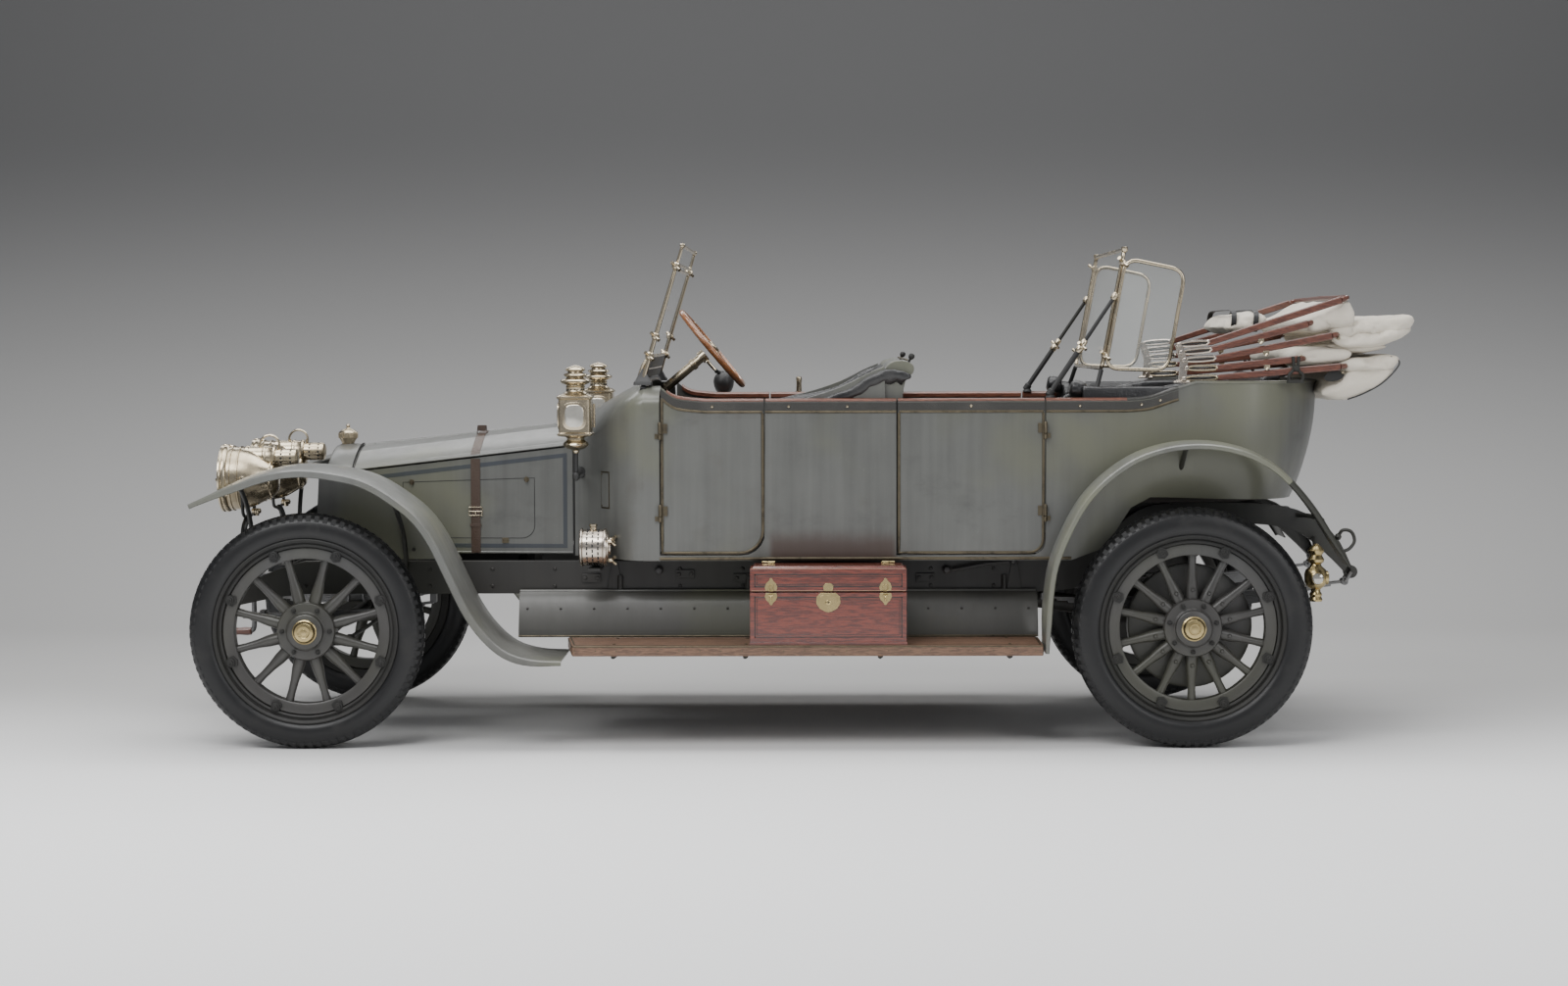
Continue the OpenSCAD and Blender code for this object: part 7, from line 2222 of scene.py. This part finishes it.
def build_springs(p):
    """Leaf springs with clips and U-bolts, the front axle beam, the live rear axle and the steering parts' paint."""
    for name in ("knuckle_left", "knuckle_right", "tie_rod"):
        mesh = frame["nodes"][name].data
        mesh.materials.clear()
        mesh.materials.append(FINISHES["chassis"])
    y = 0.3975
    s = leaf_shape((0.366, 0.482), (0.0, 0.485), (-0.43, 0.52), 4, y)
    s.join(leaf_shape((-2.78, 0.536), (REAR_X, REAR_R + 0.096), (-3.922, 0.594), 6, y))
    for x, z, tip in ((0.392, 0.512, (0.366, 0.478)), (-3.946, 0.628, (-3.922, 0.59))):
        s.tube([(x, y - 0.026, z), (tip[0], y - 0.026, tip[1])], 0.008, 8, 0)
        s.tube([(x, y + 0.026, z), (tip[0], y + 0.026, tip[1])], 0.008, 8, 0)
        s.lathe([(0.013, 0), (0.013, 0.052)], (tip[0], y - 0.026, tip[1]), LEFT, 14, 0)
    for x, z0 in ((-0.43, 0.52), (-2.776, 0.526)):
        s.block((x - 0.012, y - 0.02, z0 - 0.004), (x + 0.012, y + 0.02, 0.549), 0)
    put("springs_leaves", s.mirrored(), ["steel"], bevel=0.0008, replaces=["leaf_springs"])
    beam = Shape()
    z0, z1 = 0.397, 0.445
    for g in (-1, 1):
        rings = []
        for yy in (0.0, 0.3, 0.44, 0.52, 0.574):
            row = [(-0.03, z0), (0.03, z0), (0.03, z0 + 0.011), (0.009, z0 + 0.015), (0.009, z1 - 0.015),
                   (0.03, z1 - 0.011), (0.03, z1), (-0.03, z1), (-0.03, z1 - 0.011), (-0.009, z1 - 0.015),
                   (-0.009, z0 + 0.015), (-0.03, z0 + 0.011)]
            rings.append([Vector((x, g * yy, z)) for x, z in row])
        beam.loft(rings, 0)
        beam.lathe([(0.0122, 0), (0.026, 0), (0.027, 0.004), (0.027, 0.072), (0.026, 0.076), (0.0122, 0.076)],
                   (0, g * 0.6, 0.397), UP, 28, 0)
    put("front_axle_beam", beam, ["chassis"], bevel=0.0015, replaces=["front_axle"])
    axle = Shape()
    c = Vector((REAR_X, 0, REAR_R))
    for g in (-1, 1):
        axle.lathe([(0.075, 0.12), (0.06, 0.19), (0.042, 0.3), (0.041, 0.585), (0.036, 0.592), (0.0195, 0.593),
                    (0.0195, 0.755), (0, 0.756)], c, (0, g, 0), 32, 0)
        axle.block(c + Vector((-0.04, g * y - 0.03, 0.038)), c + Vector((0.04, g * y + 0.03, 0.043)), 0)
    axle.lathe([(0, -0.149), (0.06, -0.138), (0.11, -0.1), (0.138, -0.05), (0.148, -0.012), (0.149, 0.0),
                (0.148, 0.012), (0.138, 0.05), (0.115, 0.09), (0.085, 0.13), (0.058, 0.17), (0.052, 0.24), (0, 0.24)],
               c, AHEAD, 48, 0)
    for i in range(16):
        a = TURN * i / 16
        axle.bolt(c + Vector((0.013, 0.142 * cos(a), 0.142 * sin(a))), AHEAD, 0.007, 0.007, 0)
    axle.tube([c + Vector((0.235, 0, 0.0)), c + Vector((1.288, 0, 0.149))], lambda t: 0.037 - 0.004 * t, 24, 0)
    put("rear_axle_casing", axle, ["chassis"], replaces=["rear_axle"])


def build_floor(p):
    """Floor boards under a ribbed mat, with toe board, pedals and heel boards."""
    boards = Shape()
    plan = [(-0.99, 0.32), (-1.06, 0.39), (-1.15, 0.52), (-1.25, 0.58), (-2.88, 0.58)]
    rear = [(-2.862, 0.54), (-3.35, 0.535), (-3.52, 0.46), (-3.64, 0.33), (-3.7, 0.18)]
    for line, low, high in ((plan, 0.692, 0.7105), (rear, 0.903, 0.921)):
        ring = line + [(x, -y) for x, y in reversed(line)]
        boards.loft([[Vector((x, y, z)) for x, y in ring] for z in (low, high)])
    boards.block((-2.88, -0.58, 0.7), (-2.862, 0.58, 0.921))
    put("floor_boards", boards, ["boards"], bevel=0.001, replaces=["floor"])
    mat = Shape()
    for x0, x1, w in ((-1.33, -1.6, 0.56), (-2.27, -2.84, 0.57)):
        mat.loft([[Vector((x, y, z)) for x, y in ((x0, -w), (x0, w), (x1, w), (x1, -w))] for z in (0.7105, 0.715)])
    mat.loft([[Vector(q) for q in ((-1.325, -0.52, 0.7105), (-1.325, 0.52, 0.7105), (-1.03, 0.3, 0.7105),
            (-1.03, -0.3, 0.7105))], [Vector(q) for q in ((-1.325, -0.52, 0.715), (-1.325, 0.52, 0.715),
            (-1.03, 0.3, 0.715), (-1.03, -0.3, 0.715))]])
    put("floor_mat", mat, ["mat"])
    ped = Shape()
    for y in (-0.36, -0.21, -0.28):
        ped.tube([(-1.05, y, 0.72), (-1.12, y, 0.8), (-1.16, y, 0.88)], 0.007, 8, 0)
        size = 0.022 if y == -0.28 else 0.034
        ped.lathe([(size, 0), (size, 0.006), (size * 0.8, 0.009), (0, 0.01)], (-1.16, y, 0.88), (-0.7, 0, 0.7), 20, 1)
    for i in range(5):
        ped.lathe([(0.02, 0), (0.022, 0.004), (0.018, 0.008), (0, 0.009)], (-0.998, -0.1 + 0.085 * i, 1.02),
                  BACK, 24, 1)
    ped.block((-1.0, -0.16, 0.975), (-0.992, 0.3, 1.07), 2)
    put("pedals", ped, ["iron", "brass", "cap_rail"], bevel=0.001)
    build_seat_shell()


def build_seat_shell():
    """The painted back and box of the front seat, with its beading and knob."""
    s = Shape()
    outline = through([(-2.085, 1.1), (-2.11, 1.25), (-2.14, 1.36), (-2.175, 1.425), (-2.225, 1.44), (-2.266, 1.425),
            (-2.268, 1.395), (-2.238, 1.36), (-2.226, 1.25), (-2.222, 1.0), (-2.222, 0.711)], 4)
    outline = [(q[0], q[1]) for q in outline] + [(-2.1, 0.711)]
    s.plate(outline, -0.575, 0.575, 0)
    for g in (-1, 1):
        cheek = through([(-1.735, 1.245), (-1.765, 1.275), (-1.88, 1.305), (-2.0, 1.345), (-2.1, 1.395),
                         (-2.16, 1.42)], 4)
        y = sorted((g * 0.56, g * 0.588))
        s.plate([(q[0], q[1]) for q in cheek] + [(-2.17, 0.9), (-1.66, 0.9), (-1.66, 1.05)], y[0], y[1], 0)
        s.lathe([(0.0045, 0), (0.0045, 0.016), (0.01, 0.022), (0.012, 0.03), (0.009, 0.038), (0, 0.041)],
                (-2.25, g * 0.545, 1.43), (-0.45, 0, 0.9), 16, 1)
    s.block((-2.1, -0.585, 0.711), (-1.65, 0.585, 0.965), 0)
    s.tube([(-2.245, -0.572, 1.443), (-2.245, 0.572, 1.443)], 0.004, 8, 2)
    put("front_seat_frame", s, ["coach", "dark", "gilt"], bevel=0.002, replaces=["front_seat_shell"])


# ---- stage ----

def build_stage(p):
    """A pale floor, a plain backdrop, soft lamps overhead and the camera."""
    scene = bpy.context.scene
    bend, centre = 3.0, (-3.4, 3.0 - 0.0005)
    profile = [(16, -0.0005)] + [(centre[0] - bend * sin(a), centre[1] - bend * cos(a)) for a in
            (radians(i * 3.75) for i in range(25))] + [(centre[0] - bend, 11)]
    sweep = Shape()
    sweep.add([(x, y, z) for y, z in profile for x in (-30, 30)],
              [[2 * i, 2 * i + 1, 2 * i + 3, 2 * i + 2] for i in range(len(profile) - 1)])
    put("stage_floor", sweep, ["stage_floor"], local=False, body=None)
    for name, at, turn, size, power in (
            ("key", (3.0, 5.0, 6.0), (-38, 18, 0), (6.0, 3.0), p.key_power),
            ("fill", (-5.5, 6.0, 3.6), (-60, -35, 0), (5.0, 3.0), p.key_power * 0.4),
            ("top", (0.0, 0.0, 6.5), (0, 0, 0), (8.0, 4.0), p.key_power * 1.15),
            ("back", (0.0, -4.4, 4.5), (62, 0, 0), (9.0, 1.2), p.key_power * 0.3)):
        light = bpy.data.lights.new(name, "AREA")
        light.shape = "RECTANGLE"
        light.size, light.size_y = size
        light.energy = power
        lamp = bpy.data.objects.new(name, light)
        lamp.location = at
        lamp.rotation_euler = [radians(a) for a in turn]
        scene.collection.objects.link(lamp)
    world = bpy.data.worlds.new("studio")
    world.use_nodes = True
    world.node_tree.nodes["Background"].inputs["Color"].default_value = (0.9, 0.93, 1.0, 1)
    world.node_tree.nodes["Background"].inputs["Strength"].default_value = 0.33
    scene.world = world
    camera = bpy.data.cameras.new("camera")
    camera.lens = p.lens
    view = bpy.data.objects.new("camera", camera)
    yaw, pitch, roll = (radians(a) for a in (0.716, 3.282, -0.168))
    ahead = Vector((sin(yaw) * cos(pitch), -cos(yaw) * cos(pitch), -sin(pitch)))
    right = Vector((-cos(yaw), -sin(yaw), 0))
    up = right.cross(ahead)
    right, up = (cos(roll) * right + sin(roll) * up, -sin(roll) * right + cos(roll) * up)
    turn = Matrix((right, up, -ahead)).transposed().to_4x4()
    view.matrix_world = Matrix.Translation((-0.051, 10.965, 1.539)) @ turn
    scene.collection.objects.link(view)
    scene.camera = view


# ---- panel ----

class CarSettings(bpy.types.PropertyGroup):
    body_colour: FloatVectorProperty(name="Coach paint", description="Colour of the body and mudguards",
            subtype="COLOR", size=3, min=0, max=1, default=(0.118, 0.12, 0.112))
    brass_colour: FloatVectorProperty(name="Brass", description="Colour of the polished brass", subtype="COLOR", size=3,
            min=0, max=1, default=(0.54, 0.465, 0.34))
    plate_colour: FloatVectorProperty(name="Pale plate", description="Colour of the pale plated parts", subtype="COLOR",
            size=3, min=0, max=1, default=(0.64, 0.575, 0.5))
    front_spokes: IntProperty(name="Front spokes", description="Spokes in each front wheel", min=10, max=16, default=12)
    rear_spokes: IntProperty(name="Rear spokes", description="Spokes in each rear wheel", min=10, max=18, default=14)
    fold_depth: FloatProperty(name="Fold depth", description="Height of the hood's folds", subtype="DISTANCE",
            unit="LENGTH", min=0, max=0.02, default=0.006)
    key_power: FloatProperty(name="Light power", description="Power of the main light", unit="POWER", min=50, max=2000,
            default=420)
    lens: FloatProperty(name="Lens", description="Focal length of the camera in millimetres", min=20, max=200,
            default=63.4)


class CarOperator:
    """Runs one builder with the panel's settings."""
    bl_options = {"REGISTER", "UNDO"}
    builder = None

    def execute(self, context):
        type(self).builder(context.scene.touring_car)
        return {"FINISHED"}


def operator(build):
    """An operator that runs one builder, named after it."""
    part = build.__name__.split("_", 1)[1]
    return type("TOURING_OT_" + part, (CarOperator, bpy.types.Operator),
                {"bl_idname": "touring." + part, "bl_label": build.__name__.replace("_", " ").capitalize(),
                 "__doc__": build.__doc__, "builder": staticmethod(build)})


OPERATORS = [operator(build) for build in (mix_finishes, build_wheels, build_tub, build_doors, build_cowl, build_bonnet,
        build_radiator, build_wings, build_boards, build_tool_box, build_headlamps, build_side_lamps, build_generator,
        build_tail_lamp, build_front_screen, build_rear_screen, build_steering, build_controls, build_seats, build_bows,
        build_canvas, build_frame, build_engine, build_springs, build_floor, build_stage)]


class TOURING_PT_panel(bpy.types.Panel):
    bl_label = "Touring Car"
    bl_space_type = "VIEW_3D"
    bl_region_type = "UI"
    bl_category = "Touring Car"

    def draw(self, context):
        for name in CarSettings.__annotations__:
            self.layout.prop(context.scene.touring_car, name)
        for op in OPERATORS:
            self.layout.operator(op.bl_idname)


CLASSES = [CarSettings, *OPERATORS, TOURING_PT_panel]


def register():
    for cls in CLASSES:
        bpy.utils.register_class(cls)
    bpy.types.Scene.touring_car = PointerProperty(type=CarSettings)


def unregister():
    del bpy.types.Scene.touring_car
    for cls in reversed(CLASSES):
        bpy.utils.unregister_class(cls)


def main():
    register()
    for op in OPERATORS:
        getattr(bpy.ops.touring, op.bl_idname.split(".")[1])()


if __name__ == "__main__":
    main()
